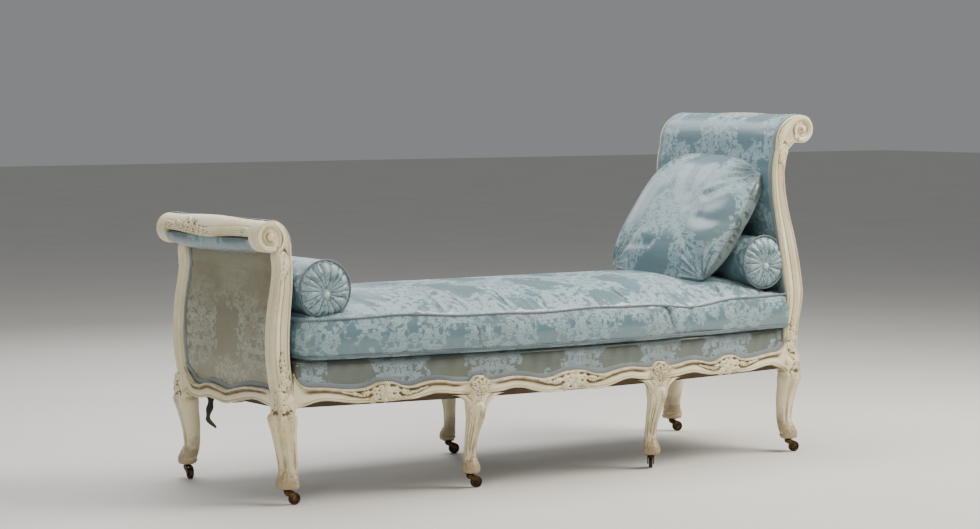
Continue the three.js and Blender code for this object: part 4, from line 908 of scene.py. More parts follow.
@dataclass(frozen=True)
class Trim:
    """Woven gimp and corded piping in silk over cotton.

    The eye gets a fine twist or looped rib across the braid, a shade paler or darker than the damask, with dull
    soft lustre.
    """

    name: str
    light: str
    dark: str
    pitch: float = 0.006
    slant: float = 0.6

    def material(self) -> Material:
        """Builds the material: slanted waves on the piece's own UV map, one for each twist of the yarn."""
        material, tree = blank(self.name)
        place = add(tree, "UVMap", {"uv_map": "UVMap"})
        axis = add(tree, "SeparateXYZ", {0: place}).outputs
        side = add(tree, "Math ABSOLUTE", {0: axis[0]})
        slant = add(tree, "Math MULTIPLY_ADD", {0: side, 1: self.slant, 2: axis[1]})
        turns = add(tree, "Math MULTIPLY", {0: slant, 1: 2 * math.pi / self.pitch})
        wave = add(tree, "Math SINE", {0: turns})
        lift = add(tree, "MapRange", {"Value": wave, "From Min": -1.0, "From Max": 0.6})
        solid = add(tree, "TexCoord").outputs["Object"]
        cloud = add(tree, "TexNoise", {"Vector": solid, "Scale": 11.0, "Detail": 4.0})
        mixed = add(tree, "Math MULTIPLY", {0: lift, 1: cloud})
        bright = add(tree, "MapRange", {"Value": mixed, "From Max": 0.6})
        colour = add(tree, "MixRGB", {"Fac": bright, "Color1": linear(self.dark), "Color2": linear(self.light)})
        bump = add(tree, "Bump", {"Height": lift, "Strength": 0.6, "Distance": 0.0008})
        sockets = {"Sheen Weight": 0.3, "Sheen Roughness": 0.5, "Roughness": 0.6, "IOR": 1.5}
        return finished(material, sockets | {"Base Color": colour, "Normal": bump})


@dataclass(frozen=True)
class PlainCloth:
    """Plain-woven jute web and linen lining.

    The eye gets crossed threads, slubs and dust, and almost no gloss.
    """

    name: str
    light: str
    dark: str
    pitch: float = 0.004
    rough: float = 0.85

    def material(self) -> Material:
        """Builds the material: crossed waves on Object coordinates at the pitch of the threads."""
        material, tree = blank(self.name)
        place = add(tree, "TexCoord").outputs["Object"]
        waves = []
        for axis in add(tree, "SeparateXYZ", {0: place}).outputs[:2]:
            turns = add(tree, "Math MULTIPLY", {0: axis, 1: 2 * math.pi / self.pitch})
            waves.append(add(tree, "Math SINE", {0: turns}))
        weave = add(tree, "Math MULTIPLY", {0: waves[0], 1: waves[1]})
        slub = add(tree, "TexNoise", {"Vector": place, "Scale": 40.0, "Detail": 6.0})
        mix = add(tree, "Math MULTIPLY_ADD", {0: weave, 1: 0.2, 2: slub})
        colour = add(tree, "MixRGB", {"Fac": mix, "Color1": linear(self.dark), "Color2": linear(self.light)})
        bump = add(tree, "Bump", {"Height": mix, "Strength": 0.5, "Distance": 0.0008})
        sockets = {"Roughness": self.rough, "Sheen Weight": 0.2, "IOR": 1.45}
        return finished(material, sockets | {"Base Color": colour, "Normal": bump})


@dataclass(frozen=True)
class OldMetal:
    """Cast brass gone brown.

    The eye gets a dark bronze with scattered, smoother spots of brighter yellow where a noise says it is polished.
    """

    name: str = "old_cast_brass"
    bright: str = "#7A5E34"
    dark: str = "#2B2118"

    def material(self) -> Material:
        """Builds the material: noise between polish and tarnish, rough where it is dark."""
        material, tree = blank(self.name)
        place = add(tree, "TexCoord").outputs["Object"]
        spots = add(tree, "TexNoise", {"Vector": place, "Scale": 90.0, "Detail": 6.0, "Roughness": 0.7})
        polish = add(tree, "MapRange", {"Value": spots, "From Min": 0.42, "From Max": 0.7})
        colour = add(tree, "MixRGB", {"Fac": polish, "Color1": linear(self.dark), "Color2": linear(self.bright)})
        rough = add(tree, "MapRange", {"Value": polish, "To Min": 0.62, "To Max": 0.34})
        bump = add(tree, "Bump", {"Height": spots, "Strength": 0.25, "Distance": 0.0006})
        return finished(material, {"Metallic": 0.85, "Base Color": colour, "Roughness": rough, "Normal": bump})


@dataclass(frozen=True)
class PaleFloor:
    """Plain pale studio floor, very lightly mottled."""

    name: str = "pale_floor"
    light: str = "#DEDCD7"
    dark: str = "#D2D0CA"

    def material(self) -> Material:
        """Builds the material: one soft noise between two near greys."""
        material, tree = blank(self.name)
        place = add(tree, "TexCoord").outputs["Object"]
        cloud = add(tree, "TexNoise", {"Vector": place, "Scale": 1.5, "Detail": 3.0})
        colour = add(tree, "MixRGB", {"Fac": cloud, "Color1": linear(self.dark), "Color2": linear(self.light)})
        return finished(material, {"Roughness": 0.65, "Base Color": colour})


class Finishes:
    """All of the daybed's materials, each built once."""

    def __init__(self) -> None:
        """Builds the materials."""
        figure = DamaskFigure().group()
        self.paint = AgedPaint().material()
        # bare: bare beech darkened as painted shade, for the rails' undersides and the braces.
        self.bare = ShadedBareWood().material()
        self.blue = Damask("blue_silk_damask", "#5E7B84", "#8BA5AC", "#7A755E", 0.2).material(figure)
        self.deck = Damask("grey_green_silk_damask", "#5D675F", "#879DA7", "#6A6348", 0.35).material(figure)
        self.faded = Damask("faded_silk_damask", "#86826A", "#A6AB9D", "#65522F", 0.5, 0.42, 0.65, 0.8).material(figure)
        self.button = Damask("pale_silk_button", "#B4BFC0", "#C3CCCC", "#9A9684", 0.3, 0.4, 0.5).material(figure)
        self.braid = Trim("blue_gimp_braid", "#8F9A9C", "#56636A").material()
        # The piping's dark tones are partly painted shade, standing for the dark gap under the squab.
        self.piping = Trim("corded_piping", "#6F7F85", "#343F45", 0.005, 0.0).material()
        self.jute = PlainCloth("jute_web", "#A58C61", "#5E4A2D").material()
        self.lining = PlainCloth("black_linen_lining", "#40382F", "#1D1915", 0.003).material()
        self.brass = OldMetal().material()
        self.wheel = OldMetal("worn_brown_wheel", "#6A5540", "#2A211A").material()
        self.floor = PaleFloor().material()


# ---------------------------------------------------------------------------------------------------------
# Carved frame


def front_face(x: Array | float) -> Array:
    """Distance of the front rails' face from the middle of the depth: a cosine bow between the posts."""
    return LAYOUT.front_line + LAYOUT.bow * np.cos(math.pi * np.asarray(x, float) / (2 * LAYOUT.post_x))


def wave_edges(rows: tuple, share: Array) -> tuple[Array, Array]:
    """Heights of a rail's top and bottom edges at shares of a bay, flowing through its rows."""
    table = np.array(rows)
    upper = flow(table[:, 0], table[:, 1], share)
    lower = flow(table[:, 0], table[:, 2], share)
    return LAYOUT.rail_top + LAYOUT.wave * upper, LAYOUT.rail_bottom + LAYOUT.wave * lower


def front_bays() -> dict[str, tuple[float, float, tuple, tuple]]:
    """Each front bay's two ends along the length, and the waves to its left and right of the middle."""
    post = LAYOUT.post_x - LAYOUT.post_half
    leg_out, leg_in = LAYOUT.mid_x + LAYOUT.mid_half, LAYOUT.mid_x - LAYOUT.mid_half
    return {
        "left": (-post, -leg_out, WAVE_TO_CORNER, WAVE_TO_MIDDLE_LEG),
        "middle": (-leg_in, leg_in, WAVE_ACROSS_MIDDLE, WAVE_ACROSS_MIDDLE),
        "right": (leg_out, post, WAVE_TO_MIDDLE_LEG, WAVE_TO_CORNER),
    }


@dataclass(frozen=True)
class Rails:
    """Serpentine seat rails: front bays with a carved spray in the middle, end rails, and plain back rails."""

    step: float = 0.0022
    bead_high: float = 0.0062
    bead_out: float = 0.0048
    cove_deep: float = 0.0060
    gap: float = -0.004
    flower_radius: float = 0.027
    flower_high: float = 0.0125
    leaf_high: float = 0.0095

    def section(self, top: Array, bottom: Array, rim: Array | float = 1.0) -> Array:
        """Moulded section at every station, as (outward, height) pairs.

        From the core's underside it runs out to an eased lower edge, then into a cove, sin(pi × share²) deep and so
        deepest below the top, out to the half-round top bead, over the lip and back down the rebate.

        Args:
            top, bottom: heights of the edges.
            rim: share of the cove's depth at each station, 0 where the rail meets a post.
        """
        turn = np.radians(np.linspace(-90, 90, 9))
        share = np.linspace(0, 1, 15)[1:-1]
        core = np.minimum(LAYOUT.rail_bottom - 0.003, bottom - 0.0004)
        low, high = bottom + self.bead_high, top - self.bead_high
        outs, heights = [], []

        def put(out: Array | float, height: Array | float) -> None:
            """Adds one column of the section."""
            outs.append(out + 0 * top)
            heights.append(height + 0 * top)

        ease = 0.0065 * (1 - rim)
        lower_bead = 0.003 + (self.bead_out - 0.003) * rim
        put(-LAYOUT.rail_depth, core)
        put(-0.026, core)
        put(-0.024, bottom + 0.001)
        for angle in turn:
            put(-0.0025 - ease + lower_bead * math.cos(angle), bottom + self.bead_high / 2 * (1 + math.sin(angle)))
        for t in share:
            put(-0.0005 - ease + 0.002 * math.sin(math.pi * t) - self.cove_deep * rim * math.sin(math.pi * t**2) ** 0.8,
                low + (high - low) * t)
        for angle in turn:
            put(-0.0025 - ease + self.bead_out * math.cos(angle), top - self.bead_high / 2 * (1 - math.sin(angle)))
        put(-0.008, top + 0.0004)
        put(-LAYOUT.rail_lip, top)
        put(-LAYOUT.rail_lip, LAYOUT.rail_shelf)
        put(-LAYOUT.rail_depth, LAYOUT.rail_shelf)
        return joined(joined(*outs), joined(*heights))

    def spray(self, s: Array, t: Array) -> Array:
        """The carved spray of a bay: a flower between two mirrored branches of leaves and buds."""
        side, high = np.abs(s), self.leaf_high
        leaves = (
            ((0.020, -0.010), (0.050, -0.018), 0.017, high * 0.8, 3),
            ((0.044, 0.004), (0.086, -0.004), 0.019, high, 4),
            ((0.078, -0.002), (0.116, 0.006), 0.012, high * 0.7, 3),
        )
        stalk = np.array([(0.02, 0.0), (0.06, 0.002), (0.1, 0.0), (0.128, 0.009)])
        branch = posy(side, t, (((0.032, 0.006), 0.0125, self.flower_high * 0.75, 5),), leaves)
        rose = flower(s, t, (0, 0.001), self.flower_radius, self.flower_high, 6, 0.3)
        return np.maximum.reduce([rose, branch, bead(away(joined(side, t), stalk), 0.004, 0.003)])

    def front(self, left: float, right: float, left_rows: tuple, right_rows: tuple) -> list[Patch]:
        """One bay of the front: the section carried along the bow, with the spray raised on it."""
        middle, half = (left + right) / 2, (right - left) / 2 - self.gap
        x = middle + half * np.linspace(-1, 1, int(2 * half / self.step))
        share = (x - middle) / half
        left_edges, right_edges = wave_edges(left_rows, -share), wave_edges(right_rows, share)
        top, bottom = (np.where(share < 0, a, b) for a, b in zip(left_edges, right_edges))
        section = self.section(top, bottom, smooth(0.0, 0.055, half - np.abs(x - middle)))
        grid = joined(x[:, None], -(front_face(x)[:, None] + section[..., 0]), section[..., 1])
        s, t = grid[..., 0] - middle, grid[..., 2] - 0.293
        open_face = section[..., 0] > -0.0185
        drop = leaf(s, t, (-0.04, -0.015), (-0.034, -0.034), 0.012, 0.004, 2)
        rise = np.where(open_face, np.maximum(self.spray(s, t), drop), 0)
        # The spray stands on the cove's floor, so the cove's depth is filled under it first.
        fill = np.where(rise > 0.0008, np.clip(-0.0005 - section[..., 0], 0, 0.008) * 0.7, 0)
        return self.dressed(grid, rise + fill, False)

    def end(self, side: int) -> list[Patch]:
        """The rail under a scrolled end, waved along the depth."""
        half = LAYOUT.post_y - LAYOUT.post_half - self.gap
        share = np.linspace(-1, 1, int(2 * half / self.step))
        top, bottom = wave_edges(WAVE_ACROSS_END, share)
        section = self.section(top, bottom, smooth(0.0, 0.04, half * (1 - np.abs(share))))
        grid = joined(side * (LAYOUT.end_line + section[..., 0]), -half * share[:, None], section[..., 1])
        return self.dressed(grid, np.zeros(grid.shape[:2]), side > 0)

    def dressed(self, grid: Array, rise: Array, flip: bool) -> list[Patch]:
        """A rail's grid as a painted face, a bare underside over its first three columns in the darkened bare wood that
        paints the shade below the moulding, and two ends.
        """
        body = Patch(np.concatenate([grid[:, 2:], grid[:, :1]], axis=1), flip=flip)
        body = body.carved(np.concatenate([rise[:, 2:], rise[:, :1]], axis=1), cells=3)
        # The set-back underside takes the second finish, bare beech darkened as painted shade.
        under = Patch(grid[:, :3], flip=flip, finish=1)
        ends = (np.concatenate([grid[row, :2], body.points[row, :-1]]) for row in (0, -1))
        return [body, under, *(cap(ring, bool(row) != flip) for row, ring in enumerate(ends))]

    def back(self, left: float, right: float, whole: bool = True) -> list[Patch]:
        """A plain back rail: a planed board with eased edges and a rebate for the seat, or its upper lip alone."""
        x = np.linspace(left + self.gap, right - self.gap, 60)
        ease, top, bottom = 0.003, LAYOUT.rail_top, LAYOUT.rail_top - 0.044
        shelf, lip = LAYOUT.rail_shelf, -LAYOUT.rail_lip
        upper = [(0, top - ease), (-ease * 0.3, top - ease * 0.3), (-ease, top), (lip, top)]
        if whole:
            lower = [(-0.042, bottom), (-ease, bottom), (-ease * 0.3, bottom + ease * 0.3), (0, bottom + ease)]
            outline = lower + upper + [(lip, shelf), (-0.042, shelf)]
        else:
            outline = [(lip, shelf + self.gap), (0, shelf + self.gap)] + upper
        outline = evenly(np.array(outline), 0.004, closed=True)
        grid = joined(x[:, None], LAYOUT.front_line + outline[None, :, 0], outline[None, :, 1])
        dents = 0.0004 * ripple(grid[..., 0], grid[..., 2], 0.12, left)
        return capped(Patch(grid, loop_columns=True, flip=True).carved(dents), True)

    def build(self, finishes: Finishes) -> None:
        """Makes every rail and dresses the bare braces under the seat."""
        bays, both, post = front_bays(), [finishes.paint, finishes.bare], LAYOUT.post_x - LAYOUT.post_half
        for name, bay in bays.items():
            make_piece(f"carved_rail_front_{name}", self.front(*bay), both, Slot.PAINT, f"rail_front_{name}")
        for end in (LOW, HIGH):
            make_piece(f"carved_end_rail_{end.name}", self.end(end.side), both, Slot.PAINT, f"end_rail_{end.name}")
        for name, bay in (("left", (-post, -LAYOUT.mid_half)), ("right", (LAYOUT.mid_half, post))):
            make_piece(f"painted_rail_rear_{name}", self.back(*bay), both[:1], Slot.PAINT, f"rail_rear_{name}")
        lip = self.back(-LAYOUT.mid_half, LAYOUT.mid_half, whole=False)
        make_piece("painted_lip_rear_middle", lip, [finishes.paint], Slot.PAINT)
        # The braces take the same darkened bare wood, painted shade included.
        for name in ("cross_brace_left", "cross_brace_right"):
            dress_node(name, finishes.bare)


def dress_node(name: str, material: Material) -> None:
    """Gives a carried-over CAD node one material in all of its slots."""
    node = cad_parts[name]
    for slot in node.material_slots:
        slot.material = material
    if not node.material_slots:
        node.data.materials.append(material)


@dataclass(frozen=True)
class LegShape:
    """A cabriole leg with its square post.

    Rows are (height share, width, depth, sweep) as shares of across, thick and the sweep's own reach.
    """

    name: str
    node: str
    post: tuple[float, float]
    foot: tuple[float, float]
    out: tuple[float, float]
    post_half: float
    top: float
    across: float
    thick: float
    sweep: float
    rows: tuple
    chute: bool = False
    ears: tuple[int, ...] = ()


CORNER_ROWS = (
    (0, 1, 1, 0), (0.07, 0.98, 1.05, -0.1), (0.16, 0.92, 1, -0.55), (0.3, 0.87, 0.9, -1), (0.45, 0.92, 0.96, -0.95),
    (0.6, 1, 1.08, -0.75), (0.78, 1.12, 1.22, -0.3), (1, 1.26, 1.34, 0.1),
)  # fmt: skip
MIDDLE_ROWS = (
    (0, 1, 1, 0.6), (0.07, 1, 1.05, 0.4), (0.16, 0.88, 0.92, -0.3), (0.3, 0.76, 0.76, -1), (0.45, 0.76, 0.76, -1),
    (0.6, 0.88, 0.92, -0.6), (0.78, 1.05, 1.2, 0.2), (1, 1.22, 1.4, 0.3),
)  # fmt: skip


# Carving of a leg over its unrolled chart, and of a shield: rows of flower (middle, radius, height, petals, turn)
# and of leaf (base, tip, width, height, lobes).
FOOT_LEAF = (((0, 0.044), (0, 0.096), 0.030, 0.0045, 4),)
FOOT_SIDE_LEAVES = (
    ((0.014, 0.044), (0.020, 0.084), 0.020, 0.0040, 3), ((0.034, 0.044), (0.036, 0.076), 0.018, 0.0035, 3),
)  # fmt: skip
POST_FLOWERS = (
    ((0.004, 0.300), 0.0135, 0.0080, 5), ((-0.005, 0.281), 0.0140, 0.0080, 6),
    ((0.004, 0.262), 0.0130, 0.0080, 5, 0.5),
)  # fmt: skip
SHIELD_DROP = (((0, -0.015), (0, -0.037), 0.014, 0.0060, 3),)
SHIELD_LEAVES = (
    ((0.014, 0.004), (0.035, 0.002), 0.014, 0.0055, 2), ((0.010, -0.014), (0.021, -0.024), 0.010, 0.0045, 2),
)  # fmt: skip
POST_DROP = (((0, 0.254), (0, 0.222), 0.015, 0.0055, 3),)
POST_LEAVES = (
    ((0.006, 0.292), (0.028, 0.305), 0.014, 0.005, 3), ((0.006, 0.272), (0.026, 0.258), 0.013, 0.005, 3),
)  # fmt: skip


@dataclass(frozen=True)
class Legs:
    """Seven cabriole legs, carved with knee volutes, foot leaves and channels down the arris."""

    foot_bottom: float = 0.0444
    knee: float = 0.242
    post_bottom: float = 0.259
    sides: int = 112
    step: float = 0.0022
    channel: float = 0.0032
    chart_radius: float = 0.022
    fillet_at: float = 1.10
    groove_at: float = 0.55
    groove_deep: float = 0.0026
    eye: tuple[float, float] = (0.031, 0.240)

    def shapes(self) -> list[LegShape]:
        """The legs' places: four at the corners, two under the front, one under the back."""
        legs, corner = [], math.sqrt(0.5)
        middle = (LAYOUT.mid_half, LAYOUT.rail_shelf, 0.046, 0.042, 0.009, MIDDLE_ROWS)
        for x_name, sx in (("left", -1), ("right", 1)):
            for y_name, sy in SIDES:
                legs.append(LegShape(
                    f"cabriole_leg_{y_name}_{x_name}", f"leg_{y_name}_{x_name}",
                    (sx * LAYOUT.post_x, sy * LAYOUT.post_y),
                    (sx * (LAYOUT.post_x - 0.006), sy * (LAYOUT.post_y + 0.012)),
                    (sx * corner, sy * corner), LAYOUT.post_half, LAYOUT.post_top, 0.062, 0.048, 0.015, CORNER_ROWS,
                    True, (-sx,) if sy < 0 else (),
                ))  # fmt: skip
            x, name = sx * LAYOUT.mid_x, f"front_mid_{x_name}"
            y = -(float(front_face(x)) + 0.002 - LAYOUT.mid_half)
            ends = ((x, y), (x, y + 0.022), (0.0, -1.0))
            legs.append(LegShape(f"cabriole_leg_{name}", f"leg_{name}", *ends, *middle, ears=(-1, 1)))
        face = LAYOUT.post_y - LAYOUT.rail_setback
        ends = ((0.0, face - 0.001), (0.0, face), (0.0, 1.0))
        return [*legs, LegShape("cabriole_leg_rear_mid", "leg_rear_mid", *ends, *middle)]

    def shaft(self, leg: LegShape) -> list[Patch]:
        """A leg as rings up its height.

        A ring's radius goes from an ellipse, whose half axes flow through the rows, to a rounded square in the
        post. The middle line eases from the foot to the post and is swept along the outward diagonal.
        """
        rows = np.array(leg.rows)
        heights = self.foot_bottom + (self.knee - self.foot_bottom) * rows[:, 0]
        knots = np.concatenate([heights, [self.post_bottom, leg.top]])
        z = np.append(np.arange(self.foot_bottom, leg.top, self.step), leg.top)
        width = flow(knots, np.append(rows[:, 1], [1, 1]), z) * leg.across / 2
        depth = flow(knots, np.append(rows[:, 2], [1, 1]), z) * leg.thick / 2
        sweep = flow(knots, np.append(rows[:, 3], [0, 0]), z) * leg.sweep
        square = smooth(self.knee - 0.006, self.post_bottom + 0.004, z)
        eased = smooth(0, 1, (z - self.foot_bottom) / (self.knee - self.foot_bottom))[:, None]
        middle = np.array(leg.foot) * (1 - eased) + np.array(leg.post) * eased
        middle = middle + np.array(leg.out) * sweep[:, None]
        turn = circle(self.sides)
        world = turn + math.atan2(leg.out[1], leg.out[0])
        oval = 1 / np.hypot(np.cos(turn) / depth[:, None], np.sin(turn) / width[:, None])
        # The shaft isn't round: a soft arris runs down its outer side.
        oval = oval * (1 + 0.06 * bell(np.minimum(turn, 2 * math.pi - turn), 0, 0.28))
        corners = np.abs(np.cos(world)) ** SQUARENESS + np.abs(np.sin(world)) ** SQUARENESS
        box = leg.post_half / corners ** (1 / SQUARENESS)
        radius = oval * (1 - square[:, None]) + box * square[:, None]
        grid = joined(middle[:, :1] + radius * np.cos(world), middle[:, 1:] + radius * np.sin(world), z[:, None])
        if leg.chute:
            # The post's front sweeps back to meet the upright's face.
            ahead = np.clip((np.abs(grid[..., 1]) - LAYOUT.post_y) / LAYOUT.post_half, 0, 1)
            sweep_back = (LAYOUT.post_y + LAYOUT.post_half - LAYOUT.upright_face) * smooth(0.276, leg.top, z)[:, None]
            grid[..., 1] -= np.sign(leg.post[1]) * sweep_back * ahead
        angle = (turn + math.pi) % (2 * math.pi) - math.pi
        s = angle[None, :] * np.minimum(radius, 0.034)
        t = np.broadcast_to(z[:, None], s.shape)
        return capped(Patch(grid, loop_columns=True, flip=True).carved(self.carving(leg, s, t, angle)), True)

    def carving(self, leg: LegShape, s: Array, t: Array, angle: Array) -> Array:
        """Knee volutes, foot leaves and channels of a leg, and a corner post's flowers, over its unrolled chart."""
        side, turned = np.abs(s), np.abs(angle)[None, :]
        on_shaft = smooth(0.085, 0.115, t) * (1 - smooth(0.225, 0.25, t))
        lines = bead(turned * self.chart_radius, 0.0078, self.channel) * on_shaft
        fillet = bead(np.abs(turned - self.fillet_at) * self.chart_radius, 0.0074, self.channel) * on_shaft
        groove = -self.groove_deep * bell((turned - self.groove_at) * self.chart_radius, 0, 0.0058) * on_shaft
        stalk = np.array([(0.030, 0.226), (0.021, 0.205), (0.013, 0.165), (0.0105, 0.12)])
        knee = [
            bead(away(joined(side, t), curl(self.eye, 0.0125, 100, 1.35)), 0.0062, 0.0050),
            bead(np.hypot(side - self.eye[0], t - self.eye[1]), 0.0092, 0.0050),
            bead(away(joined(side, t), stalk), 0.0045, 0.0032),
        ]
        foot = [bead(np.abs(t - 0.052), 0.007, 0.003), posy(s, t, (), FOOT_LEAF), posy(side, t, (), FOOT_SIDE_LEAVES)]
        rise = np.maximum.reduce([lines, fillet, *knee, *foot]) + groove
        if leg.chute:
            rise = np.maximum.reduce([rise, posy(s, t, POST_FLOWERS, POST_DROP), posy(side, t, (), POST_LEAVES)])
        return rise

    def ear(self, leg: LegShape, way: int) -> list[Patch]:
        """A knee bracket: a ruled plate between the rail's underside and a hollow quarter arc, edged with a bead.

        Its face follows the front's bow; its back is the same grid set 22 mm behind.
        """
        root, top = leg.post[0] + way * (leg.post_half - 0.012), LAYOUT.rail_bottom + 0.007
        reach, drop = (0.038, 0.036) if leg.chute else (0.064, 0.072)
        turn = np.linspace(0, math.pi / 2, 32)
        arc = joined(reach * (1 - np.sin(turn)), -drop * (1 - np.cos(turn)))[::-1]
        share = np.linspace(0, 1, 16)[None, :, None]
        plan = arc[:, None] * (1 - share) + (arc * [1, 0])[:, None] * share
        x, z = root + way * plan[..., 0], top + plan[..., 1]
        edge = away(plan, arc)
        rise = bead(np.abs(edge - 0.0036), 0.0068, 0.0034) - 0.0030 * bell(edge, 0.0115, 0.0045)
        front, back = joined(x, -(front_face(x) + 0.0005 + rise), z), joined(x, -(front_face(x) - 0.022), z)
        wall = Patch(np.stack([edge_loop(front), edge_loop(back)]), loop_columns=True, flip=way > 0)
        return [Patch(front, flip=way < 0).carved(0.0, cells=2), wall, Patch(back, flip=way > 0)]

    def cartouche(self, x: float) -> list[Patch]:
        """The small carved shield over a middle leg: a fan from its heart to a waisted outline.

        Its face is a dome, 1 - share³, with a flower of five round petals, five leaves and a beaded rim, and it
        lies ahead of the rails on the bow.
        """
        half, middle_z, top, low = 0.037, 0.299, LAYOUT.rail_top + 0.020, 0.264
        knots = np.array(
            [(0, top), (half * 0.42, top - 0.002), (half * 0.76, LAYOUT.rail_top + 0.008), (half, 0.301),
             (0.030, 0.289), (0.021, 0.278), (0.014, low + 0.005), (0.007, low), (0, low - 0.006)]
        )  # fmt: skip
        right = catmull(knots, np.linspace(0, 1, 88))
        outline = np.concatenate([right, (right * [-1, 1])[::-1][1:-1]])
        share = np.linspace(0, 1, 44)[:, None, None]
        heart = np.array([0, middle_z])
        plan = heart + (outline[None] - heart) * share
        s, t = plan[..., 0], plan[..., 1] - middle_z
        dome = 0.006 * (1 - share[..., 0] ** 3)
        petals = [
            bead(np.hypot(s - 0.0118 * math.cos(turn), t - 0.003 - 0.0118 * math.sin(turn)), 0.0165, 0.0080)
            for turn in np.radians(90 + 72 * np.arange(5))
        ]
        rim = away(plan, np.vstack([outline, outline[:1]]))
        rise = np.maximum.reduce([
            *petals, bead(np.hypot(s, t - 0.003), 0.0095, 0.0110), bead(np.abs(rim - 0.003), 0.005, 0.0025),
            posy(s, t, (), SHIELD_DROP), posy(np.abs(s), t, (), SHIELD_LEAVES),
        ])  # fmt: skip
        back_out = np.maximum(front_face(x - half), front_face(x + half)) - LAYOUT.rail_lip + LAYOUT.gap
        front, back = (joined(x + s, -out, plan[..., 1]) for out in (back_out + 0.0125 + dome + rise, back_out))
        wall = Patch(np.stack([front[-1], back[-1]]), loop_columns=True)
        face = Patch(front, loop_columns=True).carved(0.0, cells=4)
        return [face, wall, Patch(back, loop_columns=True, flip=True)]

    def build(self, finishes: Finishes) -> None:
        """Makes every leg, with its brackets and shield."""
        for leg in self.shapes():
            make_piece(leg.name, self.shaft(leg), [finishes.paint], Slot.PAINT, leg.node)
            for way in leg.ears:
                name = "left" if way < 0 else "right"
                make_piece(f"{leg.name}_bracket_{name}", self.ear(leg, way), [finishes.paint], Slot.PAINT)
            if leg.ears and not leg.chute:
                make_piece(f"{leg.name}_shield", self.cartouche(leg.post[0]), [finishes.paint], Slot.PAINT)


# Carving of an upright's foot, as in a leg's rows, and the depth and inset of each step of its moulded walls.
UPRIGHT_FLOWERS = (
    ((0.010, 0.004), 0.0135, 0.0075, 5), ((0.002, 0.023), 0.0130, 0.0075, 6, 0.4),
    ((0.010, 0.041), 0.0120, 0.0070, 5, 0.2), ((0.004, 0.058), 0.0105, 0.0065, 5),
    ((0.010, 0.073), 0.0090, 0.0060, 5, 0.3),
)  # fmt: skip
UPRIGHT_LEAVES = (
    ((0.010, 0.078), (0.008, 0.102), 0.011, 0.0045, 2), ((-0.004, 0.010), (-0.020, 0.030), 0.014, 0.0045, 3),
    ((-0.002, 0.036), (-0.012, 0.056), 0.011, 0.0040, 3),
)  # fmt: skip
UPRIGHT_WALL = (
    (0.004, 0), (0.0055, 0.0004), (0.0070, 0.0012), (0.0085, 0.0004), (0.012, 0), (0.018, 0.0010), (0.0225, 0.0014),
    (0.027, 0.0010), (0.033, 0), (0.0365, 0.0004), (0.038, 0.0012), (0.0395, 0.0004), (0.0425, 0),
)  # fmt: skip


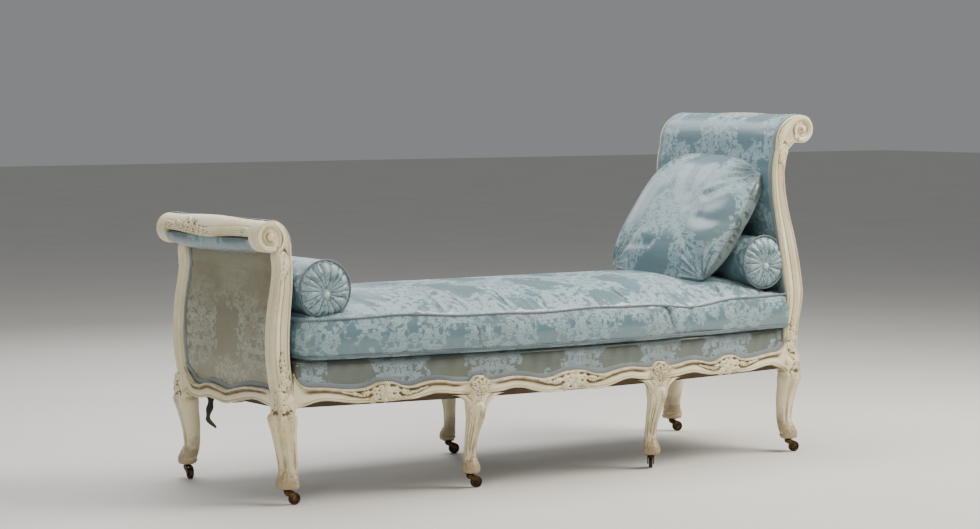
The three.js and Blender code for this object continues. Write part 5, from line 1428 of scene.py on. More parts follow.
@dataclass(frozen=True)
class Uprights:
    """Four scrolled uprights whose moulded faces wind into volutes."""

    step: float = 0.0026
    columns: int = 45
    cove_deep: float = 0.0066
    line_deep: float = 0.0034
    rim: float = 0.0026

    def edges(self, end: EndSizes) -> tuple[Array, Array]:
        """Outer and inner edge of an end's stem, as (outboard, height) from the post's middle.

        Each edge is a Catmull-Rom curve through the swell rows; the inner edge lies in from the outer one by
        the width there.
        """
        rows = np.array(end.edge_shares)
        height = np.maximum(LAYOUT.post_top + LAYOUT.gap, LAYOUT.post_top + end.scroll_rise * rows[:, 0])
        outer = end.swell * rows[:, 1]
        inner = outer - end.wide * rows[:, 2]
        share = np.linspace(0, 1, int(end.scroll_rise * 0.9 / self.step))
        return catmull(joined(outer, height), share), catmull(joined(inner, height), share)

    def over(self, end: EndSizes) -> Array:
        """The curve that rolls over the top: part of an ellipse from 168 to 96 degrees."""
        _, swell_share, wide_share = end.edge_shares[-1]
        neck = end.swell * swell_share - end.wide * wide_share
        shift = end.scroll_reach - end.over_reach - neck
        angle = np.radians(np.linspace(168, 96, 46))
        high = LAYOUT.post_top + end.scroll_rise + end.volute - end.over_rise
        return joined(end.scroll_reach - shift + end.over_reach * np.cos(angle), high + end.over_rise * np.sin(angle))

    def centre(self, end: EndSizes) -> Array:
        """Middle of the volute."""
        return np.array([end.scroll_reach, LAYOUT.post_top + end.scroll_rise])

    def around(self, end: EndSizes, degrees: Array, reach: Array | float) -> Array:
        """Places round the volute's middle."""
        angle = np.radians(degrees)
        return self.centre(end) + np.reshape(reach, (-1, 1)) * joined(np.cos(angle), np.sin(angle))

    def arc(self, end: EndSizes, count: int) -> Array:
        """The volute's outer edge, from where the stem meets it to its top."""
        return self.around(end, np.linspace(end.meet_angle, 84, count), end.volute)

    def spiral(self, end: EndSizes, turns: Array) -> Array:
        """Radius of the edge line inside the volute: it shrinks to 0.6 of the volute's in about a quarter turn."""
        return end.volute * (0.60 + 0.40 * np.exp(-9 * turns))

    def winding(self, end: EndSizes) -> Array:
        """The edge line inside the volute, from the neck on."""
        turns = np.linspace(0, 0.93, 70)
        return self.around(end, end.meet_angle - 360 * turns, self.spiral(end, turns))

    def cove(self, end: EndSizes, outer: Array, inner: Array) -> Array:
        """Middle line of the wide cove: up the stem's middle, then between the turns of the winding."""
        stem = (outer + inner) / 2
        angle = np.linspace(165, end.meet_angle - 200, 70)
        turns = (end.meet_angle - (angle - 360)) / 360
        inside = self.spiral(end, np.clip(turns, 0, 3))
        outside = end.volute * (1 + 0.32 * smooth(84, 165, angle))
        wound = self.around(end, angle, np.maximum((outside + inside) / 2, 0.010))
        return np.concatenate([stem[:-2], wound])

    def plan(self, end: EndSizes) -> tuple[list[Array], Array]:
        """The face as three joined grids: stem, throat, and a fan about the volute's middle.

        Returns:
            The grids and the whole closed outline.
        """
        outer, inner = self.edges(end)
        share = np.linspace(0, 1, self.columns)[None, :, None]
        stem = outer[:, None] * (1 - share) + inner[:, None] * share
        over = self.over(end)
        arc = self.arc(end, 90)
        rise = np.linspace(0, 1, 9)[:, None]
        throat_outer = outer[-1] * (1 - rise) + arc[0] * rise
        throat_inner = inner[-1] * (1 - rise) + over[0] * rise
        throat = throat_outer[:, None] * (1 - share) + throat_inner[:, None] * share
        loop = np.concatenate([arc, over[::-1][:-1], throat[-1][::-1][:-1]])
        reach = np.linspace(0, 1, 44)[:, None, None] ** 0.9
        middle = self.centre(end)
        head = middle + (loop[None] - middle) * reach
        rim = np.concatenate([outer, throat_outer[1:], arc[1:], over[::-1], throat_inner[::-1][1:], inner[::-1][1:],
                              stem[0][::-1][1:-1]])  # fmt: skip
        return [stem, throat, head], rim

    def relief(self, end: EndSizes, place: Array) -> Array:
        """Height of the moulding at plan places.

        A cove follows its middle line, fine V lines run inside the outline and the winding, the edges are eased,
        the eye is domed, and leaves lie at the foot and on the neck.
        """
        outer, inner = self.edges(end)
        rim = away(place, np.concatenate([outer, self.arc(end, 64), self.over(end)[::-1], inner[::-1]]))
        wound = away(place, self.winding(end))
        centre = self.centre(end)
        reach = np.linalg.norm(place - centre, axis=-1)
        line = away(place, self.cove(end, outer, inner))
        in_head = 1 - smooth(0.9 * end.volute, 1.5 * end.volute, reach)
        half = 0.0125 * (1 - 0.45 * in_head)
        rise = -self.cove_deep * np.clip(1 - line / half, 0, 1) ** 0.9 - 0.0016 * bell(line, 0, 0.0018)
        rise = rise - self.line_deep * bell(rim, 0.0064, 0.0014)
        rise = rise - self.line_deep * 0.8 * bell(rim, 0.0098, 0.0009) * (1 - in_head)
        rise = rise * (1 - in_head) - 0.0040 * bell(wound, 0, 0.0026) * in_head
        rise = rise - self.rim * np.clip(1 - rim / 0.0032, 0, 1) ** 2
        # The floor inside the winding sinks deep, and a round eye stands in it.
        bearing = np.degrees(np.arctan2(place[..., 1] - centre[1], place[..., 0] - centre[0]))
        turns = ((end.meet_angle - bearing) % 360) / 360
        spiral = self.spiral(end, turns)
        outboard = smooth(-0.75, 0.35, np.cos(np.radians(bearing + 25)))
        floor = smooth(0.0, 0.0045, spiral - 0.0015 - reach) * smooth(0.0, 0.05, turns) * (0.25 + 0.75 * outboard)
        between = (reach - (end.volute + spiral) / 2) / (0.5 * (end.volute - spiral) + 0.001)
        band = 0.0035 * np.clip(1 - between**2, 0, 1)
        rise = rise + (band - 0.0110 * floor) * (reach < end.volute + 0.001)
        eye = 0.0125 * np.sqrt(np.clip(1 - (reach / 0.0142) ** 2, 0, 1)) - 0.0045
        rise = np.where(reach < 0.0142, np.maximum(rise, eye), rise)
        s, t = place[..., 0] - (outer[0, 0] + inner[0, 0]) / 2, place[..., 1] - LAYOUT.post_top
        neck = (outer[-1] + inner[-1]) / 2 + [0.0, 0.006]
        down = np.array([neck[0] + 0.010, neck[1] - 0.070])
        neck_leaf = posy(place[..., 0], place[..., 1], (), (
            (neck + [0.006, 0.012], down, 0.034, 0.0055, 5),
            (neck + [0.0, 0.008], down + [-0.018, 0.022], 0.018, 0.0045, 4),
        ))  # fmt: skip
        neck_share = 1.0 if end.name == "low" else 0.6
        carved = np.maximum(posy(s, t, UPRIGHT_FLOWERS, UPRIGHT_LEAVES), neck_leaf * neck_share)
        return np.where(carved > 0.0006, np.maximum(rise, -0.001) + carved, rise)

    def faces(self, end: EndSizes, way: int) -> list[Patch]:
        """The patches of one upright: carved face, moulded walls and plain inner face."""
        grids, rim = self.plan(end)
        flip = (end.side * way) > 0

        def lift(plan: Array, deep: Array | float) -> Array:
            """Sets plan places in the couch at a distance behind the face."""
            return end.at(plan, way * (LAYOUT.upright_face - deep))

        patches = []
        for grid, fan in zip(grids, (False, False, True)):
            face = Patch(lift(grid, -self.relief(end, grid)), flip=flip != fan, loop_columns=fan)
            patches.append(face.carved(0.0, cells=2))
        ahead = np.roll(rim, -1, axis=0) - np.roll(rim, 1, axis=0)
        normal = unit(joined(ahead[:, 1], -ahead[:, 0]))
        above_foot = rim[:, 1:] > LAYOUT.post_top + 0.006
        rows = [lift(rim - normal * inset * above_foot, deep) for deep, inset in UPRIGHT_WALL]
        rows = [lift(rim, -self.relief(end, rim)), *rows, lift(rim, LAYOUT.upright_deep)]
        patches.append(Patch(np.stack(rows), loop_columns=True, flip=flip).carved(0.0, cells=1))
        for grid, fan in zip(grids, (False, False, True)):
            patches.append(Patch(lift(grid, LAYOUT.upright_deep), flip=flip == fan, loop_columns=fan))
        return patches

    def build(self, finishes: Finishes) -> None:
        """Makes the four uprights."""
        for end in (LOW, HIGH):
            for name, way in SIDES:
                make_piece(f"scrolled_upright_{end.name}_{name}", self.faces(end, way), [finishes.paint], Slot.PAINT,
                           f"upright_{end.name}_{name}")  # fmt: skip


# Carving of a crest, as in a leg's rows.
CREST_FLOWERS = (
    ((0.000, 0.024), 0.0165, 0.0085, 6), ((-0.034, 0.021), 0.0135, 0.0075, 5, 0.4),
    ((0.035, 0.022), 0.0140, 0.0075, 5, 0.4), ((-0.064, 0.018), 0.0105, 0.0065, 5, 0.1),
    ((0.066, 0.021), 0.0110, 0.0065, 6),
)  # fmt: skip
CREST_LEAVES = (
    ((0.010, 0.038), (-0.026, 0.048), 0.015, 0.0050, 4), ((0.012, 0.038), (0.052, 0.047), 0.016, 0.0050, 4),
    ((-0.070, 0.018), (-0.104, 0.020), 0.013, 0.0050, 3), ((0.072, 0.022), (0.108, 0.028), 0.015, 0.0050, 3),
)  # fmt: skip


@dataclass(frozen=True)
class Crests:
    """Carved crest rails that roll over the scrolls between the uprights."""

    thick: float = 0.022
    bulge: float = 0.006
    start: float = -14.0
    stop: float = 87.0
    dip: float = 12.0
    stations: int = 170

    def patches(self, end: EndSizes) -> list[Patch]:
        """A crest: an arc about the scroll's middle, swelling outwards and dipping at mid width.

        The outer arc carries two fillets near its lower edge, a spray of flowers at mid width and a curled leaf
        at each end.
        """
        centre = Uprights().centre(end)
        half = LAYOUT.inner_y - LAYOUT.gap
        y = np.linspace(-half, half, self.stations)
        share = np.abs(y) / LAYOUT.inner_y
        swell = self.bulge * (1 - smooth(0, 1, share))
        low = np.radians(self.start + self.dip * smooth(0, 0.8, share))
        high = math.radians(self.stop)
        outer_share, inner_share = np.linspace(0, 1, 40), np.linspace(1, 0, 12)
        outer_angle = low[:, None] + (high - low)[:, None] * outer_share
        outer_reach = np.broadcast_to((end.volute + swell)[:, None], outer_angle.shape)
        inner_angle = low[:, None] + (high - low)[:, None] * inner_share
        inner_reach = np.full(inner_angle.shape, end.volute - self.thick)
        angle = np.concatenate([outer_angle, inner_angle], axis=1)
        reach = np.concatenate([outer_reach, inner_reach], axis=1)
        up = (outer_angle - low[:, None]) * outer_reach
        along = np.broadcast_to(y[:, None], up.shape)
        # The lower edge is rounded, then come a bead and two V lines.
        shape = -0.004 * np.clip(1 - up / 0.004, 0, 1) ** 2 - 0.0016 * bell(up, 0.011, 0.0011)
        shape = shape - 0.0013 * bell(up, 0.0155, 0.0010)
        top = (high - outer_angle) * outer_reach
        shape = shape - 0.003 * np.clip(1 - top / 0.004, 0, 1) ** 2
        shape = shape - 0.0012 * bell(up, 0.030, 0.0016)
        # The low end's cluster was carved behind the middle.
        off = along - (0.075 if end.name == "low" else 0.0)
        corner = leaf(np.abs(along), up, (half - 0.002, 0.014), (half - 0.048, 0.022), 0.018, 0.0035, 4)
        spray = np.maximum(posy(off, up, CREST_FLOWERS, CREST_LEAVES), corner)
        pits = bell(up, 0.010, 0.003) * np.abs(np.sin(math.pi * off / 0.019)) ** 5 * (np.abs(off) < 0.085)
        rise = np.where(spray > 0.0006, spray * 1.35, shape) - 0.0050 * pits
        reach[:, : len(outer_share)] += rise
        out = end.side * (LAYOUT.post_x + centre[0] + reach * np.cos(angle))
        points = joined(out, y[:, None], centre[1] + reach * np.sin(angle))
        flip = end.side < 0
        return capped(Patch(points, loop_columns=True, flip=flip).carved(0.0, cells=2), flip, not flip)

    def build(self, finishes: Finishes) -> None:
        """Makes both crests."""
        for end in (LOW, HIGH):
            make_piece(f"carved_crest_{end.name}", self.patches(end), [finishes.paint], Slot.PAINT,
                       f"crest_rail_{end.name}")  # fmt: skip


# ---------------------------------------------------------------------------------------------------------
# Fixed upholstery


def slab(front: Array, back: Array, uv: Array | None = None, cells: int = 4) -> list[Patch]:
    """A closed pad between two grids of the same size, with a rim from edge to edge."""
    face = Patch(front, uv=uv).carved(0.0, cells=cells, depth=0.0025)
    return [face, Patch(np.stack([edge_loop(front), edge_loop(back)]), loop_columns=True), Patch(back, flip=True)]


@dataclass(frozen=True)
class EndUpholstery:
    """Inner pads, rolls under the crests, outer panels and their gimp braid."""

    proud: float = 0.003
    thick: float = 0.015
    crown: float = 0.005
    wing: float = 0.283
    low_half: float = 0.2505
    braid_wide: float = 0.013
    braid_thick: float = 0.0018

    def pad_line(self, end: EndSizes) -> Array:
        """Line of an end's inner side, from the webbing up and over to the crest rail."""
        scroll = Uprights()
        _, inner = scroll.edges(end)
        top = scroll.centre(end) + [0, end.volute]
        foot = [inner[0, 0], LAYOUT.rail_shelf + LAYOUT.gap]
        line = evenly(np.concatenate([[foot], inner, scroll.over(end), [top]]), 0.006)
        for _ in range(6):
            line[1:-1] = (line[:-2] + line[1:-1] + line[2:]) / 3
        return line

    def pad(self, end: EndSizes, finishes: Finishes) -> None:
        """The inner pad: its line offset by a crown, 1 - share⁴ across, over wings that lap the uprights."""
        line = self.pad_line(end)
        t = np.linspace(0, 1, len(line))
        out = left_of(line)
        share = np.linspace(-1, 1, 107)
        half = np.where(line[:, 1] < LAYOUT.post_top + 0.003, self.low_half, self.wing)[:, None]
        y = share * half
        crown = self.crown * (1 - (np.abs(y) / self.wing) ** 4)
        rise = self.proud + crown * (smooth(0.1, 0.3, t) * (1 - smooth(0.85, 1, t)))[:, None]
        run = lengths(line)
        # The cloth was pulled over soft stuffing: low lumps, and short creases beside the braid.
        rise = rise + 0.0012 * ripple(y, run[:, None] + 0 * y, 0.23, end.side) * (1 - np.abs(share) ** 6)
        pulls = np.sin(run[:, None] * 2 * math.pi / 0.041 + 2 * np.sin(9 * run[:, None]))
        rise = rise + 0.0008 * pulls * smooth(0.55, 0.9, np.abs(share)) * (1 - smooth(0.93, 1, np.abs(share)))
        deep = np.where(np.abs(y) > LAYOUT.inner_y - LAYOUT.gap, 0.00042, self.proud - self.thick)
        offs = (rise, np.minimum(deep, rise - 0.001))
        grids = [end.at(line[:, None] + out[:, None] * off[..., None], y) for off in offs]
        pad = make_piece(f"damask_inner_pad_{end.name}", slab(*grids, uv=joined(y, run[:, None])), [finishes.blue],
                         Slot.BLUE, f"inner_pad_{end.name}")  # fmt: skip
        keep = (line[:, 1] > LAYOUT.post_top + 0.02) & (t < 0.985)
        for name, way in SIDES:
            band = self.side_gimp(end, line[keep], out[keep], self.proud + 0.0004, way * (self.wing - 0.0075))
            make_piece(f"gimp_pad_{end.name}_{name}", band, [finishes.braid], Slot.BLUE)

    def side_gimp(self, end: EndSizes, line: Array, out: Array, off: float, y: float) -> list[Patch]:
        """Gimp up one side of a pad or a panel, off its line by a distance."""
        face = joined(end.side * out[:, 0], 0, out[:, 1])
        return ribbon(end.at(line + out * off, y), [0.0, 1.0, 0.0], face, self.braid_wide, self.braid_thick)

    def roll(self, end: EndSizes, finishes: Finishes) -> None:
        """The padded roll under a crest: two arcs about the scroll's middle, sagging and creased at mid width."""
        centre = Uprights().centre(end)
        y = np.linspace(-1, 1, 130) * (LAYOUT.inner_y - LAYOUT.gap)
        outer = np.radians(np.linspace(-15.5, -150, 34))
        inner = np.radians(np.linspace(-180, -375.5, 26))
        angle = np.concatenate([outer, inner])
        reach = np.concatenate([np.full(34, end.volute - 0.004), np.full(26, end.volute - 0.0235)])
        under = np.concatenate([np.sin(np.linspace(0, math.pi, 34)) ** 0.7, np.zeros(26)])
        sag = 0.012 * (1 - np.abs(y / y[-1]) ** 5)[:, None] * under
        run = reach * angle
        crease = 0.0022 * ripple(y[:, None], 0.35 * run[None, :], 0.06, end.side + 4.0) * under
        radius = reach + sag + crease
        uv = joined(y[:, None], np.append(run, run[-1] - 0.02))
        out = end.side * (LAYOUT.post_x + centre[0] + radius * np.cos(angle))
        points = joined(out, y[:, None], centre[1] + radius * np.sin(angle))
        body = Patch(points, uv=uv, loop_columns=True, flip=end.side > 0).carved(0.0, cells=4, depth=0.002)
        roll = make_piece(f"satin_roll_{end.name}", capped(body, False, True), [finishes.blue], Slot.BLUE,
                          f"scroll_roll_{end.name}")  # fmt: skip

    def panel(self, end: EndSizes, finishes: Finishes) -> None:
        """The outer panel: one stretched cloth behind the uprights' outer edge, edged with gimp."""
        scroll = Uprights()
        outer, _ = scroll.edges(end)
        line = outer - [0.012, 0]
        centre = scroll.centre(end)
        top = centre + (end.volute - 0.003) * np.array([math.cos(math.radians(212)), math.sin(math.radians(212))])
        line = evenly(np.concatenate([[[line[0, 0], LAYOUT.rail_shelf + 0.0006]], line, [top]]), 0.006)
        out = -left_of(line)
        run = lengths(line)
        y = np.linspace(-1, 1, 90) * (LAYOUT.inner_y - 0.0006)
        share = np.abs(y) / y[-1]
        slack = 0.0012 * ripple(y[None, :], run[:, None], 0.30, 2 + end.side) * (1 - share**4)
        pulls = 0.0006 * np.sin(2 * math.pi * run[:, None] / 0.037 + 3 * np.sin(7 * run[:, None]))
        slack = slack + pulls * smooth(0.6, 0.95, share) - 0.0008
        place = line[:, None] + out[:, None] * slack[..., None]
        patch = Patch(end.at(place, y), uv=joined(y[None, :], run[:, None]), flip=end.side < 0)
        patch = patch.carved(0.0, cells=5, depth=0.002)
        panel = make_piece(f"damask_outer_panel_{end.name}", [patch], [finishes.faded], Slot.FADED,
                           f"outer_panel_{end.name}", shell=False)  # fmt: skip
        keep = line[:, 1] > LAYOUT.rail_top + 0.016
        beside = LAYOUT.inner_y - 0.0075
        bands = {name: self.side_gimp(end, line[keep], out[keep], 0.0004, way * beside) for name, way in SIDES}
        bands["foot"] = self.foot_gimp(end, line)
        edges = [
            make_piece(f"gimp_panel_{end.name}_{name}", band, [finishes.braid], Slot.FADED)
            for name, band in bands.items()
        ]

    def foot_gimp(self, end: EndSizes, line: Array) -> list[Patch]:
        """Gimp along the foot of an outer panel, following the end rail's wave."""
        share = np.linspace(-1, 1, 160)
        height = wave_edges(WAVE_ACROSS_END, share)[0] + 0.0072
        reach = np.interp(height, line[:, 1], line[:, 0]) + 0.0012
        path = end.at(joined(reach, height), -share * (LAYOUT.inner_y - 0.002))
        face = np.array([float(end.side), 0.0, 0.0])
        across = np.cross(face, unit(np.gradient(path, axis=0)))
        return ribbon(path, across, face, self.braid_wide, self.braid_thick)

    def build(self, finishes: Finishes) -> None:
        """Upholsters both ends."""
        for end in (LOW, HIGH):
            self.pad(end, finishes)
            self.roll(end, finishes)
            self.panel(end, finishes)


def plan_outline(half: float, ahead: float, back: float, inset: float, corner: float, lap: float = 0.0) -> Array:
    """Plan of the seat or squab: straight back and ends, quarter-round corners and a bowed front.

    Args:
        half: half the length.
        ahead: how far the front stands off the rails' face.
        back: the back edge.
        inset: how far the whole outline is drawn in.
        corner: radius of its corners.
        lap: how far the high end's front corner is drawn out over the upright.
    Returns:
        A closed loop of 760 points, anticlockwise from the low end's front corner.
    """
    reach, rear = half - inset, back - inset
    turn = np.linspace(0, math.pi / 2, 21)[1:-1]

    def front(x: Array | float) -> Array:
        """Front edge at a place along the length."""
        return -(front_face(x) + ahead - inset)

    x = np.linspace(-reach + corner, reach - corner, 290)
    parts = [joined(x, front(x))]
    near, far = (corner * (1 - wave(turn)) for wave in (np.sin, np.cos))
    low = float(front(reach))
    if lap > 0:
        beside = -(LAYOUT.upright_face + 0.0016)
        tip = [
            (reach - corner, float(front(reach - corner))), (reach + lap * 0.35, low - 0.002),
            (reach + lap * 0.85, low + 0.006), (reach + lap * 0.98, low + 0.016), (reach + lap * 0.7, beside - 0.001),
            (reach, beside),
        ]  # fmt: skip
        parts.append(catmull(np.array(tip), np.linspace(0, 1, 21)[1:])[:19])
        y = np.linspace(beside + 0.002, rear - corner, 140)
    else:
        parts.append(joined(reach - near, low + far))
        y = np.linspace(low + corner, rear - corner, 140)
    return np.concatenate([
        *parts, joined(reach, y), joined(reach - far, rear - near), joined(x[::-1][::2], rear),
        joined(-reach + near, rear - far), joined(-reach, np.linspace(rear - corner, low + corner, 109)),
        joined(-reach + far, low + near),
    ])  # fmt: skip


@dataclass(frozen=True)
class Seat:
    """The stuffed fixed seat with its damask front, the gimp above the rails, the lining below and the web."""

    half: float = 0.873
    ahead: float = -0.0123
    back: float = 0.2877
    round: float = 0.012
    braid_wide: float = 0.0135
    braid_thick: float = 0.0019
    lining_half: float = 0.862

    def deck(self, finishes: Finishes) -> None:
        """The stuffed seat: its plan lifted from the webbing, rounded at the top edge and closed on top."""
        ease = np.linspace(0, math.pi / 2, 8)[1:]
        upright = np.linspace(LAYOUT.rail_shelf + 0.0026, LAYOUT.deck_top - self.round, 18)
        z = np.concatenate([upright, LAYOUT.deck_top - self.round * (1 - np.sin(ease))])
        inset = np.concatenate([np.zeros(18), self.round * (1 - np.cos(ease))])
        plans = (plan_outline(self.half, self.ahead, self.back, drawn, self.round) for drawn in inset)
        grid = np.stack([joined(*plan.T, height) for plan, height in zip(plans, z)])
        run = lengths(np.vstack([grid[0], grid[0, :1]]))
        share = ((grid[..., 2] - 0.30) / (LAYOUT.deck_top - 0.30)).clip(0, 1)
        # The cloth is drawn down over the edge, so it stands off in soft upright pulls.
        pulls = 0.0003 * np.sin(2 * math.pi * run[:-1] / 0.052 + 2.2 * np.sin(run[:-1] * 7))
        pulls = pulls * np.sin(math.pi * share) ** 0.7
        lumps = 0.0018 * ripple(run[None, :-1], 2 * grid[..., 2], 0.31, 3.0) * np.sin(math.pi * share) ** 0.5
        uv = joined(run[None], np.append(grid[..., 2], grid[:, :1, 2], axis=1))
        wall = Patch(grid, uv=uv, loop_columns=True).carved(pulls + lumps - 0.0008, cells=4, depth=0.002)
        on_top = np.abs(grid[..., 2] - LAYOUT.deck_top) < 1e-9
        wall.points[..., 1] = np.where(on_top, grid[..., 1], wall.points[..., 1])
        seat = make_piece("stuffed_seat", capped(wall, False, True), [finishes.deck], Slot.BLUE, "seat_deck")

    def gimp(self, finishes: Finishes) -> None:
        """Gimp along the seat's front, following the top wave of every bay, and straight along the back."""
        xs, tops = [], []
        for left, right, left_rows, right_rows in front_bays().values():
            x = np.linspace(left, right, 150)
            share = (x - (left + right) / 2) / ((right - left) / 2)
            xs.append(x)
            tops.append(np.where(share < 0, wave_edges(left_rows, -share)[0], wave_edges(right_rows, share)[0]))
        # Over a middle leg the braid arches round the shield.
        for place, side in ((1, -1), (3, 1)):
            arch = np.linspace(-1, 1, 40)[1:-1]
            xs.insert(place, side * LAYOUT.mid_x + arch * LAYOUT.mid_half)
            tops.insert(place, LAYOUT.rail_top + LAYOUT.wave * 0.2 + 0.0155 * (1 - arch**4))
        x, top = np.concatenate(xs), blurred(np.concatenate(tops)[:, None], 2, False, False)[:, 0]
        line = evenly(joined(x, top), 0.0035)
        line = line[np.abs(line[:, 0]) < 0.868]
        plan_y = -(front_face(line[:, 0]) + self.ahead) - 0.0004
        path = joined(line[:, 0], plan_y, line[:, 1] + 0.0068)
        face = unit(joined(np.gradient(plan_y, line[:, 0]), -1, 0))
        across = np.cross(face, unit(np.gradient(path, axis=0)))
        front = ribbon(path, across, face, self.braid_wide, self.braid_thick)
        make_piece("gimp_seat_front", front, [finishes.braid], Slot.BLUE)
        x = np.linspace(-self.lining_half, self.lining_half, 300)
        path = joined(x, self.back + 0.0002, LAYOUT.rail_top + 0.0075)
        back = ribbon(path, [0.0, 0.0, 1.0], [0.0, 1.0, 0.0], self.braid_wide, self.braid_thick)
        make_piece("gimp_seat_back", back, [finishes.braid], Slot.BLUE)

    def lining(self, finishes: Finishes) -> None:
        """Black linen tacked under the rails, sagging a little, with one torn strip hanging at the low end."""
        half = self.lining_half
        x, v = np.linspace(-half, half, 150), np.linspace(0, 1, 60)[:, None]
        y = -(front_face(x) - 0.026) * (1 - v) + 0.272 * v
        sag = 0.007 * np.sin(math.pi * v) * np.sin(math.pi * (x + half) / (2 * half)) + 0.0015 * ripple(x, y, 0.2, 1.0)
        from_edge = np.minimum(np.minimum(v, 1 - v), half - np.abs(x))
        z = 0.2608 - np.maximum(sag, 0) * smooth(0, 0.05, from_edge)
        cloth = Patch(joined(x, y, z), flip=True)
        t, s = np.linspace(0, 1, 40)[:, None], np.linspace(-1, 1, 13)[None]
        wide = 0.013 * (1 - 0.4 * t) + 0.0025 * np.sin(17 * t)
        curl_x = -0.876 + 0.006 * np.sin(6 * t) + 0.034 * np.clip(t - 0.72, 0, 1) ** 1.2 * 3 - 0.4 * wide * s
        curl_y = 0.196 + wide * s * (1 + 0.1 * np.sin(9 * t)) + 0.006 * np.sin(4 * t)
        strip = Patch(joined(curl_x, curl_y, 0.2600 - 0.104 * t - 0.004 * s**2 * t))
        for name, patch, long, held, under in (
            ("linen_lining", cloth, 2 * half, "stretched", "seat_webbing"),
            ("torn_strip", strip, 0.102, "hung", "linen_lining"),
        ):  # fmt: skip
            piece = make_piece(name, [patch], [finishes.lining], Slot.JUTE, shell=False)

    def build(self, finishes: Finishes) -> None:
        """Makes the seat and dresses its webbing."""
        self.deck(finishes)
        self.gimp(finishes)
        self.lining(finishes)
        dress_node("seat_webbing", finishes.jute)


# ---------------------------------------------------------------------------------------------------------
# Loose cushions


def gathered(items: bpy.types.bpy_prop_collection, name: str, wide: int, kind: type = np.float32) -> Array:
    """One property of all of a mesh's items, as rows of the given width."""
    flat = np.empty(len(items) * wide, dtype=kind)
    items.foreach_get(name, flat)
    return flat.reshape(-1, wide)


def read_points(mesh: Mesh) -> Array:
    """A mesh's points in the couch's own axes."""
    return gathered(mesh.vertices, "co", 3).astype(float) - SHIFT


def write_points(mesh: Mesh, points: Array) -> None:
    """Sets a mesh's points from the couch's own axes."""
    mesh.vertices.foreach_set("co", (points + SHIFT).astype(np.float32).reshape(-1))
    mesh.update()


def through(mesh: Mesh, kind: str, settings: dict) -> Mesh:
    """A mesh passed through one modifier, which is applied."""
    holder = bpy.data.objects.new("work", mesh)
    bpy.context.scene.collection.objects.link(holder)
    modifier = holder.modifiers.new("step", kind)
    for name, value in settings.items():
        setattr(modifier, name, value)
    done = bpy.data.meshes.new_from_object(holder.evaluated_get(bpy.context.evaluated_depsgraph_get()))
    bpy.data.objects.remove(holder)
    return done


@dataclass(frozen=True)
class Stuffing:
    """How a cover is blown up by its filling: gas pressure on pinned cloth that is cut a little slack."""

    most: float
    pressure: float = 4.0
    slack: float = 0.03
    frames: int = 20
    bending: float = 0.4

    def fill(self, mesh: Mesh, pinned: Array) -> None:
        """Runs the cloth and keeps its last frame, with no point moved further than most.

        Args:
            mesh: closed cover, changed in place.
            pinned: weight of each point, 1 where a seam holds it.
        """
        holder = bpy.data.objects.new("work", mesh)
        bpy.context.scene.collection.objects.link(holder)
        group = holder.vertex_groups.new(name="seams")
        for index in np.nonzero(pinned > 0)[0]:
            group.add([int(index)], float(pinned[index]), "REPLACE")
        cloth = holder.modifiers.new("cover", "CLOTH")
        settings = cloth.settings
        settings.quality, settings.mass = 6, 0.25
        settings.tension_stiffness = settings.compression_stiffness = 18
        settings.shear_stiffness, settings.bending_stiffness = 6, self.bending
        settings.use_pressure, settings.uniform_pressure_force = True, self.pressure
        settings.effector_weights.gravity = 0
        settings.shrink_min = -self.slack
        settings.vertex_group_mass = "seams"
        scene = bpy.context.scene
        for number in range(1, self.frames + 1):
            scene.frame_set(number)
        done = holder.evaluated_get(bpy.context.evaluated_depsgraph_get()).to_mesh()
        moved = read_points(done)
        scene.frame_set(1)
        start = read_points(mesh)
        step = moved - start
        reach = np.linalg.norm(step, axis=1, keepdims=True)
        held = start + step * (self.most * np.tanh(reach / self.most) / np.maximum(reach, 1e-9))
        bpy.data.objects.remove(holder)
        write_points(mesh, held)


def soften(mesh: Mesh, rounds: int = 1) -> Array:
    """Points after every one has moved to the mean of its neighbours, the given number of times."""
    a, b = gathered(mesh.edges, "vertices", 2, np.int32).T
    count = np.bincount(a, minlength=len(mesh.vertices)) + np.bincount(b, minlength=len(mesh.vertices))
    points = read_points(mesh)
    for _ in range(rounds):
        totals = (np.bincount(a, way[b], len(points)) + np.bincount(b, way[a], len(points)) for way in points.T)
        points = joined(*totals) / np.maximum(count, 1)[:, None]
    return points


def normals_at(mesh: Mesh) -> Array:
    """Unit normals at a mesh's points."""
    return gathered(mesh.vertex_normals, "vector", 3).astype(float)


def mark_hollows(mesh: Mesh, rounds: int = 14, depth: float = 0.002) -> None:
    """Writes the hollow attribute: how far each point lies below its softened surroundings."""
    # The damask darkens by this measure, as dust and painted shade.
    below = ((soften(mesh, rounds) - read_points(mesh)) * normals_at(mesh)).sum(axis=1) / depth
    attribute = mesh.attributes.get("hollow") or mesh.attributes.new("hollow", "FLOAT", "POINT")
    attribute.data.foreach_set("value", np.clip(below, -1, 1).astype(np.float32))


def corners_of(mesh: Mesh) -> tuple[Array, Array]:
    """The point of every face corner, and how many corners each face has."""
    corners = gathered(mesh.loops, "vertex_index", 1, np.int32)
    return corners[:, 0], gathered(mesh.polygons, "loop_total", 1, np.int32)[:, 0]


def lay_cloth(mesh: Mesh, places: Array, choice: Array) -> None:
    """Writes a UV map face by face.

    Args:
        mesh: the mesh.
        places: (way of laying, point, 2) places in metres.
        choice: the way of laying of each face.
    """
    corners, counts = corners_of(mesh)
    way = np.repeat(choice, counts)
    layer = mesh.uv_layers.get("UVMap") or mesh.uv_layers.new(name="UVMap")
    layer.uv.foreach_set("vector", places[way, corners].astype(np.float32).reshape(-1))


def face_means(mesh: Mesh, values: Array) -> Array:
    """Mean over each face's corners of values given at points."""
    corners, counts = corners_of(mesh)
    starts = np.concatenate([[0], np.cumsum(counts)[:-1]])
    return np.add.reduceat(values[corners], starts) / counts


